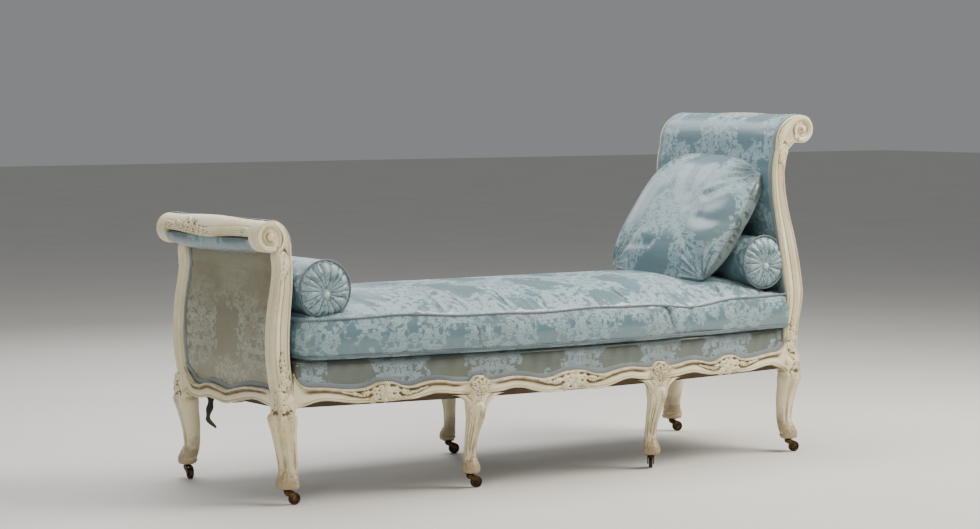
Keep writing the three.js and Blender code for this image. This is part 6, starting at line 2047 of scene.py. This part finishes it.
@dataclass(frozen=True)
class BolsterShape:
    """Where a bolster lies and how it is made."""

    name: str
    x: float
    z: float
    radius: float = 0.081
    half: float = 0.260
    dome: float = 0.016
    droop: float = 0.012
    middle_y: float = -0.021


def bolster_shapes() -> tuple[BolsterShape, BolsterShape]:
    """The two bolsters, in the middle of their CAD nodes' buttons."""
    shapes = []
    for name in ("low", "high"):
        low, high = (np.array(corner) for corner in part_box(f"bolster_{name}_button_front"))
        middle = (low + high) / 2 - SHIFT
        shapes.append(BolsterShape(name, float(middle[0]), float(middle[2]) + 0.012))
    return shapes[0], shapes[1]


# Slanting puckers of the squab's boxing: the x and z of both ends, and their depth.
SQUAB_PUCKERS = (
    (0.345, 0.494, 0.378, 0.430, 0.0050), (0.445, 0.492, 0.470, 0.440, 0.0030), (-0.338, 0.470, -0.316, 0.405, 0.0030),
    (0.600, 0.494, 0.618, 0.455, 0.0022), (-0.620, 0.494, -0.600, 0.445, 0.0020), (0.050, 0.492, 0.070, 0.450, 0.0020),
)  # fmt: skip
SMOOTHED = {"levels": 1, "render_levels": 1}


@dataclass(frozen=True)
class Squab:
    """The loose squab: crowned top, boxing between two corded seams, hollows under what lies on it."""

    half: float = 0.864
    ahead: float = -0.001
    back: float = 0.266
    bottom: float = 0.3885
    thick: float = 0.108
    corner: float = 0.046
    lap: float = 0.034
    lower_cord: float = 0.0028
    upper_cord: float = 0.0034
    crown: float = 0.057
    crown_foot: float = 0.4965
    crown_half: float = 0.873
    voxel: float = 0.0095

    def top(self, x: Array, y: Array) -> Array:
        """Height of its crown: crown times (1 - along⁶)(1 - across^2.5) above crown_foot."""
        along = np.clip(np.abs(x) / self.crown_half, 0, 1)
        reach = (LAYOUT.post_y + front_face(x) + 0.008) / 2
        across = np.clip(np.abs(y - (LAYOUT.post_y - front_face(x) - 0.008) / 2) / reach, 0, 1)
        return self.crown_foot + self.crown * (1 - along**6) * (1 - across**2.5)

    def plan(self, inset: float) -> Array:
        """Its plan, drawn in by inset."""
        return plan_outline(self.half, self.ahead, self.back, inset, self.corner, self.lap)

    def wander(self, x: Array, y: Array) -> Array:
        """How the upper seam rises and falls: it is pulled down before the pillow and lifted past mid length."""
        front = smooth(0.0, 0.25, -y)
        dips = -0.014 * bell(x, 0.46, 0.13) + 0.011 * bell(x, -0.60, 0.21)
        dips = dips + 0.003 * bell(x, 0.12, 0.12) + 0.0015 * np.sin(2 * math.pi * x / 0.29 + 0.6)
        return front * dips + (1 - front) * 0.002 * np.sin(11 * x)

    def seam(self, upper: bool) -> Array:
        """Closed line of a seam in space."""
        plan = self.plan(0.0100 if upper else 0.0)
        z = self.bottom + (self.thick - 0.003 if upper else 0.011)
        rise = self.wander(*plan.T) if upper else 0
        return joined(*plan.T, z + rise)

    def cover(self) -> list[Patch]:
        """The cover before it is filled: rings from the middle of the underside round to the middle of the top."""
        rings = []

        def drawn(plan: Array, share: float) -> Array:
            """A plan drawn towards the line along the squab's middle."""
            middle = joined(np.clip(plan[:, 0], -0.55, 0.55), -0.021)
            return middle + (plan - middle) * share

        for share in np.linspace(0, 1, 12):
            plan = drawn(self.plan(0.014), share)
            rings.append(joined(*plan.T, self.bottom))
        for t in np.linspace(0, 1, 14):
            plan = self.plan(0.0015 + 0.0100 * t**2 - 0.0085 * math.sin(math.pi * t) ** 0.8)
            height = self.bottom + 0.011 + (self.thick - 0.014) * t
            rings.append(joined(*plan.T, height + t * self.wander(*plan.T)))
        for share in np.linspace(1, 0, 26):
            plan = drawn(self.plan(0.0125), share)
            rings.append(joined(*plan.T, self.top(*plan.T) + self.wander(*plan.T) * share**4))
        return [Patch(np.stack(rings), loop_columns=True)]

    def press(self, points: Array, bolsters: tuple[BolsterShape, BolsterShape]) -> Array:
        """Pushes the top down under the bolsters and the pillow's lower edge, with soft banks."""
        x, y, z = points.T
        upper = z > self.bottom + 0.6 * self.thick
        for bolster in bolsters:
            reach = bolster.radius + 0.001
            gap = reach**2 - (x - bolster.x) ** 2
            under = bolster.z - np.sqrt(np.maximum(gap, 0)) - 0.0008
            inside = upper & (gap > 0) & (np.abs(y - bolster.middle_y) < bolster.half + 0.012)
            z = np.where(inside, np.minimum(z, under), z)
        lip = bell(x - 0.585, 0.12 * (y + 0.02), 0.045) * smooth(-0.29, -0.22, y) * (1 - smooth(0.2, 0.26, y))
        z = np.where(upper, z - 0.012 * lip - 0.007 * bell(x, -0.60, 0.08) * smooth(-0.3, -0.2, y), z)
        on_front = smooth(0.27, 0.29, -y)
        for x0, z0, x1, z1, deep in SQUAB_PUCKERS:
            along = np.clip((z0 - z) / (z0 - z1), 0, 1)
            off = x - x0 - (x1 - x0) * along - 0.004 * np.sin(5 * along)
            fade = np.exp(-(((z - (z0 + z1) / 2) / (0.62 * (z0 - z1))) ** 4))
            fold = bell(off, 0, 0.008) - 0.6 * bell(off, 0.019, 0.012)
            y = y + deep * on_front * fade * fold
        return joined(x, y, z)

    def build(self, finishes: Finishes) -> None:
        """Sews, fills, presses and dresses the squab, then lays its cords."""
        mesh = through(raw_mesh("squab_cover", self.cover()), "REMESH", {"mode": "VOXEL", "voxel_size": self.voxel})
        points = read_points(mesh)
        pinned = np.zeros(len(points))
        for upper in (False, True):
            line = self.seam(upper)[:, :2]
            beside = away(points[:, :2], np.vstack([line, line[:1]])) < 0.008
            height = np.abs(points[:, 2] - self.seam_height(points, upper)) < 0.008
            pinned[beside & height] = 1
        pinned[points[:, 2] < self.bottom + 0.002] = 1
        Stuffing(most=0.016, pressure=5.0, slack=0.025).fill(mesh, pinned)
        points = read_points(mesh)
        low = self.seam_height(points, True) - points[:, 2]
        boxing = (smooth(0.004, 0.02, low) * (1 - smooth(self.thick - 0.03, self.thick - 0.018, low)))[:, None]
        write_points(mesh, points + (soften(mesh, 14) - points) * boxing * 0.9)
        mesh = through(mesh, "SUBSURF", SMOOTHED)
        write_points(mesh, self.press(read_points(mesh), bolster_shapes()))
        mark_hollows(mesh)
        points = read_points(mesh)
        plan = self.plan(0.0)
        run = lengths(np.vstack([plan, plan[:1]]))
        nearest = run[nearest_index(points[:, :2], plan)]
        places = np.stack([points[:, :2], joined(nearest, points[:, 2])])
        steep = np.abs(face_means(mesh, normals_at(mesh)[:, 2])) < 0.62
        low = face_means(mesh, points[:, 2] - self.seam_height(points, True)) < 0.004
        lay_cloth(mesh, places, (steep & low).astype(int))
        squab = place_piece("damask_squab", mesh, [finishes.blue], "seat_squab", "squab", sharp=180)
        # Both cords take the dark piping, whose darkness is partly painted shade of the gap over the seat.
        for name, radius in (("lower", self.lower_cord), ("upper", self.upper_cord)):
            line = evenly(self.seam(name == "upper"), 0.005, closed=True)
            make_piece(f"squab_cord_{name}", [cord(line, radius)], [finishes.piping], Slot.BLUE, body="squab")

    def seam_height(self, points: Array, upper: bool) -> Array:
        """Height of a seam over plan places."""
        if not upper:
            return np.full(len(points), self.bottom + 0.011)
        return self.bottom + self.thick - 0.003 + self.wander(points[:, 0], points[:, 1])


def nearest_index(points: Array, line: Array) -> Array:
    """Index of the line's point that lies nearest to each plan place, worked out in blocks."""
    picked = []
    for block in np.array_split(points, max(1, len(points) // 4000)):
        picked.append(((block[:, None] - line[None]) ** 2).sum(-1).argmin(axis=1))
    return np.concatenate(picked)


def pad_face(end: EndSizes, z: Array) -> Array:
    """How far out from the middle an end's padded inner side lies at heights."""
    line = EndUpholstery().pad_line(end)
    rising = np.maximum.accumulate(line[:, 1])
    return LAYOUT.post_x + np.interp(z, rising, line[:, 0]) - 0.0035


@dataclass(frozen=True)
class Bolsters:
    """Two round bolsters, gathered at each end in pleats round a button, with corded rims."""

    pleats: int = 18
    pleat_deep: float = 0.0062
    cord: float = 0.0032
    voxel: float = 0.006

    def cover(self, shape: BolsterShape) -> list[Patch]:
        """Rings from the middle of one end to the other: a domed end, a straight body, a domed end."""
        share = np.array([0.02, 0.13, 0.24, 0.35, 0.5, 0.7, 0.85, 0.93, 1.0])
        bulge = np.array([0.5, 0.55, 0.92, 0.75, 0.25, 0.0]) * shape.dome
        out = np.interp(share, [0, 0.13, 0.35, 0.7, 0.93, 1.0], bulge)
        straight = np.linspace(-shape.half, shape.half, 50)[1:-1]
        along = np.concatenate([-shape.half - out, straight, shape.half + out[::-1]])
        reach = np.concatenate([share, np.ones(48), share[::-1]]) * (shape.radius - 0.003)
        sink = np.concatenate([1 - share, np.zeros(48), 1 - share[::-1]]) * shape.droop
        turn = circle(96)
        x, z = shape.x + reach[:, None] * np.cos(turn), shape.z - sink[:, None] + reach[:, None] * np.sin(turn)
        return capped(Patch(joined(x, shape.middle_y + along[:, None], z), loop_columns=True))

    def gather(self, mesh: Mesh, shape: BolsterShape) -> None:
        """Draws the pleats: each end is pushed in by pleat_deep times 1 - |sin|^0.6 of the pleat's turn."""
        points = read_points(mesh)
        x, y, z = (points - [shape.x, shape.middle_y, shape.z]).T
        radius = np.hypot(x, z + shape.droop * (1 - np.clip(np.hypot(x, z) / shape.radius, 0, 1)))
        angle = np.arctan2(z + shape.droop * 0.6, x)
        turn = angle * self.pleats / 2 + 0.55 * np.sin(3 * angle + 1.3 * np.sign(y)) + 0.3 * np.sin(7 * angle)
        turn = turn + 2.5 * np.exp(-radius / 0.02)
        depth = self.pleat_deep * (1 - np.abs(np.sin(turn)) ** 0.6)
        on_end = smooth(shape.half - 0.001, shape.half + 0.006, np.abs(y)) * smooth(0.008, 0.016, radius)
        points[:, 1] -= np.sign(y) * depth * on_end
        # The body has long soft creases and stands a little slack at mid length.
        body = 1 - smooth(shape.half - 0.06, shape.half - 0.01, np.abs(y))
        crease = 0.0016 * ripple(y, 0.081 * angle * 2.2, 0.16, shape.x) * body
        rim = 0.0012 * np.sin(angle * 29 + 2 * np.sin(3 * angle)) * bell(np.abs(y), shape.half, 0.018)
        outward = joined(x, 0 * x, z) / np.maximum(np.hypot(x, z), 1e-6)[:, None]
        points += outward * ((crease + rim) * (np.abs(y) < shape.half))[:, None]
        write_points(mesh, points)

    def button(self, shape: BolsterShape, side: str, way: int, finishes: Finishes) -> None:
        """A covered button: a lathed dome, 9.5 mm in radius, with a puckered rim."""
        radius = np.array([0.0002, 0.003, 0.006, 0.0085, 0.0095, 0.0088, 0.006, 0.0002])
        high = np.array([0.0085, 0.0082, 0.0070, 0.0045, 0.0020, 0.0004, 0.0, 0.0])
        turn = circle(40)
        reach = radius[:, None] * (1 + 0.05 * np.cos(10 * turn) * smooth(0.004, 0.008, radius)[:, None])
        base = shape.middle_y + way * (shape.half + 0.0088)
        x, z = shape.x + reach * np.cos(turn), shape.z - shape.droop + reach * np.sin(turn)
        grid = joined(x, base + way * high[:, None], z)
        patches = [Patch(grid, loop_columns=True).carved(0.0), cap(grid[0]), cap(grid[-1])]
        make_piece(f"covered_button_{shape.name}_{side}", patches, [finishes.button], Slot.BLUE,
                   f"bolster_{shape.name}_button_{side}", f"{shape.name}_bolster")  # fmt: skip

    def build(self, finishes: Finishes) -> None:
        """Makes both bolsters with their cords and buttons."""
        for shape in bolster_shapes():
            even = {"mode": "VOXEL", "voxel_size": self.voxel}
            mesh = through(raw_mesh("bolster_cover", self.cover(shape)), "REMESH", even)
            x, y, z = (read_points(mesh) - [shape.x, shape.middle_y, shape.z]).T
            rim = (np.abs(np.abs(y) - shape.half) < 0.007) & (np.hypot(x, z) > shape.radius - 0.012)
            heart = (np.abs(y) > shape.half) & (np.hypot(x, z + shape.droop) < 0.014)
            Stuffing(most=0.006).fill(mesh, (rim | heart).astype(float))
            mesh = through(mesh, "SUBSURF", SMOOTHED)
            self.gather(mesh, shape)
            points = read_points(mesh)
            if shape.name == "high":
                points[:, 0] = np.minimum(points[:, 0], pad_face(HIGH, points[:, 2]) - 0.0026)
            write_points(mesh, points)
            mark_hollows(mesh, 8, 0.0011)
            x, y, z = (points - [shape.x, shape.middle_y, shape.z]).T
            angle = np.arctan2(z, x)
            places = np.stack([joined(angle * shape.radius, y), joined(x, z),
                               joined((angle % (2 * math.pi)) * shape.radius, y)])  # fmt: skip
            on_end = np.abs(face_means(mesh, y)) > shape.half
            back = face_means(mesh, x) < 0
            lay_cloth(mesh, places, np.where(on_end, 1, np.where(back, 2, 0)))
            body = f"{shape.name}_bolster"
            piece = place_piece(f"damask_bolster_{shape.name}", mesh, [finishes.blue],
                                f"bolster_{shape.name}", body, sharp=180)  # fmt: skip
            turn = circle(110)
            x, z = shape.x + shape.radius * np.cos(turn), shape.z + shape.radius * np.sin(turn)
            if shape.name == "high":
                x = np.minimum(x, pad_face(HIGH, z) - 0.0062)
            # The bolsters' cords take the same dark piping, partly painted shade.
            for side, way in SIDES:
                patches = [cord(joined(x, shape.middle_y + way * shape.half, z), self.cord)]
                make_piece(f"bolster_cord_{shape.name}_{side}", patches, [finishes.piping], Slot.BLUE, body=body)
                self.button(shape, side, way, finishes)


# Creases of the pillow: both ends as shares of its half sizes, the depth and the width.
PILLOW_CREASES = (
    (-0.80, 0.62, -0.42, 0.20, 0.006, 0.013), (-0.86, 0.00, -0.50, -0.12, 0.003, 0.018),
    (0.80, -0.48, 0.1, -0.56, 0.004, 0.014), (0.10, 0.86, -0.05, 0.20, 0.004, 0.022),
    (-0.30, 0.84, -0.22, 0.05, 0.004, 0.018), (0.70, 0.70, 0.40, 0.42, 0.002, 0.020),
)  # fmt: skip


@dataclass(frozen=True)
class Pillow:
    """The square silk pillow that leans on the high bolster, its corners gathered and its cover creased."""

    wide: float = 0.490
    high: float = 0.500
    thick: float = 0.150
    lean: float = 36.0
    turn: float = 7.0
    roll: float = 4.0
    press: float = 0.003
    drawn: float = 0.08
    count: int = 110

    def cover(self) -> list[Patch]:
        """Two square sheets sewn at their edges: each edge is drawn in between its corners by drawn × (1 - v²)."""
        places = np.linspace(-1, 1, self.count)
        u, v = np.meshgrid(places, places, indexing="ij")
        across = u * self.wide / 2 * (1 - self.drawn * 0.8 * (1 - v**2) * u**2)
        up = v * self.high / 2 * (1 - self.drawn * 0.8 * (1 - u**2) * v**2)
        crown = ((1 - u**4) * (1 - v**4)) ** 0.7 * self.thick * 0.44
        uv = joined(u * self.wide / 2, v * self.high / 2)
        return [Patch(joined(way * crown, across, up), uv=uv, flip=way < 0) for way in (-1, 1)]

    def shape(self, points: Array) -> Array:
        """Sizes the filled cover, rounds and gathers its corners, and creases its faces.

        A place is drawn in by its larger share over its 3-norm, which makes the square a rounded one. Pleats fan out
        from each corner: 1 - |sin|^0.7 of the turn, fading over 60 mm.
        """
        x, y, z = points.T
        x = x * (self.thick / 2) / np.abs(x).max()
        u, v = y / np.abs(y).max(), z / np.abs(z).max()
        larger, norm = np.maximum(np.abs(u), np.abs(v)), (np.abs(u) ** 3 + np.abs(v) ** 3) ** (1 / 3)
        drawn = np.where(larger > 0.01, larger / np.maximum(norm, 1e-6), 1)
        y, z = u * drawn * self.wide / 2, v * drawn * self.high / 2
        side = np.sign(x)
        tuck = 2 ** (-1 / 3)
        for su in (-1, 1):
            for sv in (-1, 1):
                du, dv = tuck * self.wide / 2 - su * y, tuck * self.high / 2 - sv * z
                far, angle = np.hypot(du, dv), np.arctan2(dv, du)
                fold = np.abs(np.sin(angle * 8 + 0.7 * np.sin(4 * angle + su) + 2 * sv)) ** 0.7
                x = x * (1 - 0.42 * (1 - fold) * bell(far, 0.030, 0.045))
        room = np.clip(np.abs(x) / 0.04, 0, 1)
        size = [self.wide / 2, self.high / 2]
        for u0, v0, u1, v1, deep, wide in PILLOW_CREASES:
            line = np.array([(u0, v0), ((u0 + u1) / 2 + 0.04, (v0 + v1) / 2 - 0.05), (u1, v1)]) * size
            off = away(joined(y, z), catmull(line, np.linspace(0, 1, 12)))
            x = x - side * room * deep * (bell(off, 0, wide) - 0.20 * bell(off, 2 * wide, wide))
        x = x + side * room * 0.0014 * ripple(y, z, 0.22, 6.0)
        return joined(x, y, z)

    def place(self, points: Array, bolster: BolsterShape) -> Array:
        """Rolls, leans and turns the cushion, stands it in the squab and rests it on the bolster."""
        roll, lean, turn = (math.radians(angle) for angle in (self.roll, self.lean, self.turn))
        x, y, z = points.T
        y, z = y * math.cos(roll) - z * math.sin(roll), y * math.sin(roll) + z * math.cos(roll)
        x, z = x * math.cos(lean) + z * math.sin(lean), -x * math.sin(lean) + z * math.cos(lean)
        x, y = x * math.cos(turn) - y * math.sin(turn), x * math.sin(turn) + y * math.cos(turn)
        low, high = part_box("pillow")
        low, high = np.array(low) - SHIFT, np.array(high) - SHIFT
        stretch = (high[2] - low[2] + 0.010) / (z.max() - z.min())
        x, z = x * (0.5 + 0.5 * stretch), z * stretch
        y = y * (high[1] - low[1] + 0.020) / (y.max() - y.min())
        z = z + high[2] - z.max()
        apart = bolster.radius + self.thick / 2 - self.press
        along = bolster.x - (apart + (bolster.z - z.mean()) * math.sin(lean)) / math.cos(lean)
        x = x + along
        y = y + (low[1] + high[1] - y.max() - y.min()) / 2
        # It flattens where it rests.
        z = np.maximum(z, Squab().top(x, y) - 0.0105)
        gap = np.hypot(x - bolster.x, z - bolster.z)
        inside = (gap < bolster.radius + 0.002) & (np.abs(y - bolster.middle_y) < bolster.half + 0.02)
        push = np.where(inside, (bolster.radius + 0.002) / np.maximum(gap, 1e-6), 1)
        x, z = bolster.x + (x - bolster.x) * push, bolster.z + (z - bolster.z) * push
        x = np.minimum(x, pad_face(HIGH, z) - 0.003)
        return joined(x, y, z)

    def build(self, finishes: Finishes) -> None:
        """Sews, fills, creases and places the pillow."""
        mesh = raw_mesh("pillow_cover", self.cover())
        start = read_points(mesh)
        Stuffing(most=0.010).fill(mesh, 0.9 * (np.abs(start[:, 0]) < 1e-5))
        # The seam stays full: the simulation counts from 5 to 40 mm of half thickness.
        inner = smooth(0.005, 0.040, np.abs(start[:, :1]))
        write_points(mesh, start + (read_points(mesh) - start) * inner)
        mesh = through(mesh, "SUBSURF", SMOOTHED)
        write_points(mesh, self.place(self.shape(read_points(mesh)), bolster_shapes()[1]))
        mark_hollows(mesh, 12, 0.002)
        pillow = place_piece("damask_pillow", mesh, [finishes.blue], "pillow", "pillow", sharp=180)


# ---------------------------------------------------------------------------------------------------------
# Castors


@dataclass(frozen=True)
class Castors:
    """Seven swivel castors: flanged plate, swept horn, axle and small turned wheel."""

    wheel_radius: float = 0.0165
    wheel_wide: float = 0.011
    trail: float = 0.018
    cheek_in: float = 0.0068

    def lathe(self, profile: Array, at: Array, axis: int = 2, heading: float = 0.0, sides: int = 40) -> list[Patch]:
        """A profile of (radius, height) turned about an axis at a place.

        Args:
            profile: from one end of the axis to the other.
            at: the place.
            axis: 2 for upright, 1 for level across the heading.
            heading: the level axis's turn in radians.
            sides: points of a ring.
        Returns:
            The turned surface with both ends closed.
        """
        turn = circle(sides)
        radius, high = profile[:, :1], profile[:, 1:]
        a, b, c = radius * np.cos(turn), radius * np.sin(turn), high + 0 * turn
        if axis == 1:
            a, b, c = a * math.cos(heading) - c * math.sin(heading), a * math.sin(heading) + c * math.cos(heading), b
        grid = joined(a, b, c) + at
        return [Patch(grid, loop_columns=True).carved(0.0, cells=1), cap(grid[0]), cap(grid[-1])]

    def hub(self, at: Array, heading: float) -> Array:
        """Middle of the wheel, which trails behind the pin along the heading."""
        return at + [self.trail * math.cos(heading), self.trail * math.sin(heading), self.wheel_radius]

    def horn(self, at: Array, heading: float) -> list[Patch]:
        """Crown, two cheeks ruled between two swept curves, and the axle's riveted ends."""
        crown, axle_high, half = 0.0375, self.wheel_radius, self.cheek_in
        profile = [(0.0040, crown - 0.004), (0.009, crown - 0.0045), (0.0108, crown - 0.002), (0.0108, crown),
                   (0.009, crown + 0.0014), (0.0042, crown + 0.0014)]  # fmt: skip
        front_knots = [(-0.0098, crown), (-0.006, crown - 0.010), (0.006, axle_high + 0.005),
                       (self.trail - 0.0062, axle_high - 0.001)]  # fmt: skip
        back_knots = [(0.0100, crown), (0.018, crown - 0.004), (self.trail + 0.0055, axle_high + 0.009),
                      (self.trail + 0.0062, axle_high - 0.001)]  # fmt: skip
        front, back = (catmull(np.array(knots), np.linspace(0, 1, 20)) for knots in (front_knots, back_knots))
        across = np.linspace(0, 1, 8)[None, :, None]
        x, z = np.moveaxis(front[:, None] * (1 - across) + back[:, None] * across, -1, 0)
        rivet = np.array([(0.0001, 0.0108), (0.0028, 0.0106), (0.0045, 0.0100), (0.0063, 0.0098), (0.0063, half),
                          (0.0001, half)])  # fmt: skip
        patches = self.lathe(np.array(profile), at)
        for side in (-1, 1):
            outer = side * (half + 0.0030 + 0.0006 * np.sin(math.pi * across[..., 0]))
            grids = [
                joined(at[0] + x * math.cos(heading) - y * math.sin(heading),
                       at[1] + x * math.sin(heading) + y * math.cos(heading), z)
                for y in (outer, side * half)
            ]  # fmt: skip
            patches += slab(*grids, cells=1)
            patches += self.lathe(rivet * [1, side], self.hub(at, heading), 1, heading, 24)
        return patches

    def build(self, finishes: Finishes) -> None:
        """Makes each castor over its CAD nodes, at the heading that its horn has."""
        headings = {"front_left": -35, "front_mid_left": -12, "front_mid_right": 52, "front_right": -20,
                    "rear_left": -95, "rear_mid": -18, "rear_right": -25}  # fmt: skip
        r, w = self.wheel_radius, self.wheel_wide / 2
        half_wheel = np.array([(r, 0), (r, w - 0.0012), (r - 0.0008, w), (0.0128, w), (0.0118, w - 0.0014),
                               (0.0066, w - 0.0012), (0.0060, w), (0.0026, w)])  # fmt: skip
        wheel = np.concatenate([half_wheel[:0:-1] * [1, -1], half_wheel])
        for name, degrees in headings.items():
            low, high = (np.array(corner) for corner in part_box(f"castor_plate_{name}"))
            at, top, heading = ((low + high) / 2 - SHIFT) * [1, 1, 0], float(high[2]), math.radians(degrees)
            plate = np.array([(0.0001, top), (0.0150, top), (0.0180, top - 0.0012), (0.0180, top - 0.0024),
                              (0.0165, top - 0.0030), (0.0110, top - 0.0032), (0.0070, top - 0.0042),
                              (0.0001, top - 0.0044)])  # fmt: skip
            brass = ([finishes.brass], Slot.BRASS)
            make_piece(f"castor_flange_{name}", self.lathe(plate, at), *brass, f"castor_plate_{name}")
            make_piece(f"castor_fork_{name}", self.horn(at, heading), *brass, f"castor_horn_{name}", f"horn_{name}")
            make_piece(f"castor_roller_{name}", self.lathe(wheel, self.hub(at, heading), 1, heading), [finishes.wheel],
                       Slot.WHEEL, f"castor_wheel_{name}", f"wheel_{name}")  # fmt: skip


# ---------------------------------------------------------------------------------------------------------
# Studio


@dataclass(frozen=True)
class Studio:
    """Pale floor, soft lights and the camera at the photograph's angle."""

    camera_at: tuple[float, float, float] = (-4.358, -6.241, 1.133)
    tilt: float = 3.96
    heading: float = -34.58
    lens: float = 93.8

    def lamp(self, name: str, at: tuple, aim: tuple, size: float, power: float, tint: str) -> None:
        """A square soft light at a place, turned towards another."""
        light = bpy.data.lights.new(name, "AREA")
        light.shape, light.size, light.energy = "SQUARE", size, power
        light.color = linear(tint)[:3]
        lamp = bpy.data.objects.new(name, light)
        lamp.location = at
        way = np.subtract(aim, at)
        lamp.rotation_euler = (math.acos(-way[2] / np.linalg.norm(way)), 0, math.atan2(way[1], way[0]) - math.pi / 2)
        bpy.context.scene.collection.objects.link(lamp)

    def build(self, finishes: Finishes) -> None:
        """Sets the floor, the lights, the sky and the camera."""
        size = 28.0
        mesh = bpy.data.meshes.new("studio_floor")
        mesh.from_pydata([(-size, -size, 0), (size, -size, 0), (size, size, 0), (-size, size, 0)], [], [(0, 1, 2, 3)])
        mesh.materials.append(finishes.floor)
        floor = bpy.data.objects.new("studio_floor", mesh)
        bpy.context.scene.collection.objects.link(floor)
        self.lamp("key_light", (2.3, -1.5, 3.3), (0, 0, 0.4), 2.4, 250, "#FFF9F0")
        self.lamp("side_light", (-4.0, -3.6, 2.2), (-0.3, 0, 0.4), 2.0, 95, "#FFFAF2")
        self.lamp("top_light", (-0.2, 0.9, 3.6), (0, 0, 0.4), 2.6, 120, "#FFFFFF")
        self.lamp("back_light", (0.5, 3.6, 2.6), (0, 0, 0.6), 2.2, 40, "#FFFFFF")
        world = bpy.data.worlds.new("studio_world")
        bpy.context.scene.world = world
        world.use_nodes = True
        world.node_tree.nodes["Background"].inputs[0].default_value = linear("#E6E8EA")
        world.node_tree.nodes["Background"].inputs[1].default_value = 0.30
        camera = bpy.data.cameras.new("photo_camera")
        camera.lens, camera.sensor_width = self.lens, 36.0
        camera.clip_end = 60.0
        holder = bpy.data.objects.new("photo_camera", camera)
        holder.location = self.camera_at
        holder.rotation_euler = (math.radians(90 - self.tilt), 0, math.radians(self.heading))
        bpy.context.scene.collection.objects.link(holder)
        bpy.context.scene.camera = holder


PARTS = (Rails, Legs, Uprights, Crests, EndUpholstery, Seat, Squab, Bolsters, Pillow, Castors)


def main() -> None:
    """Builds the daybed's sub-assemblies in order."""
    logging.basicConfig(level=logging.INFO, format="%(name)s: %(message)s")
    finishes = Finishes()
    Studio().build(finishes)
    for part in PARTS:
        part().build(finishes)
        log.info("built %s", part.__name__)


if __name__ == "__main__":
    main()
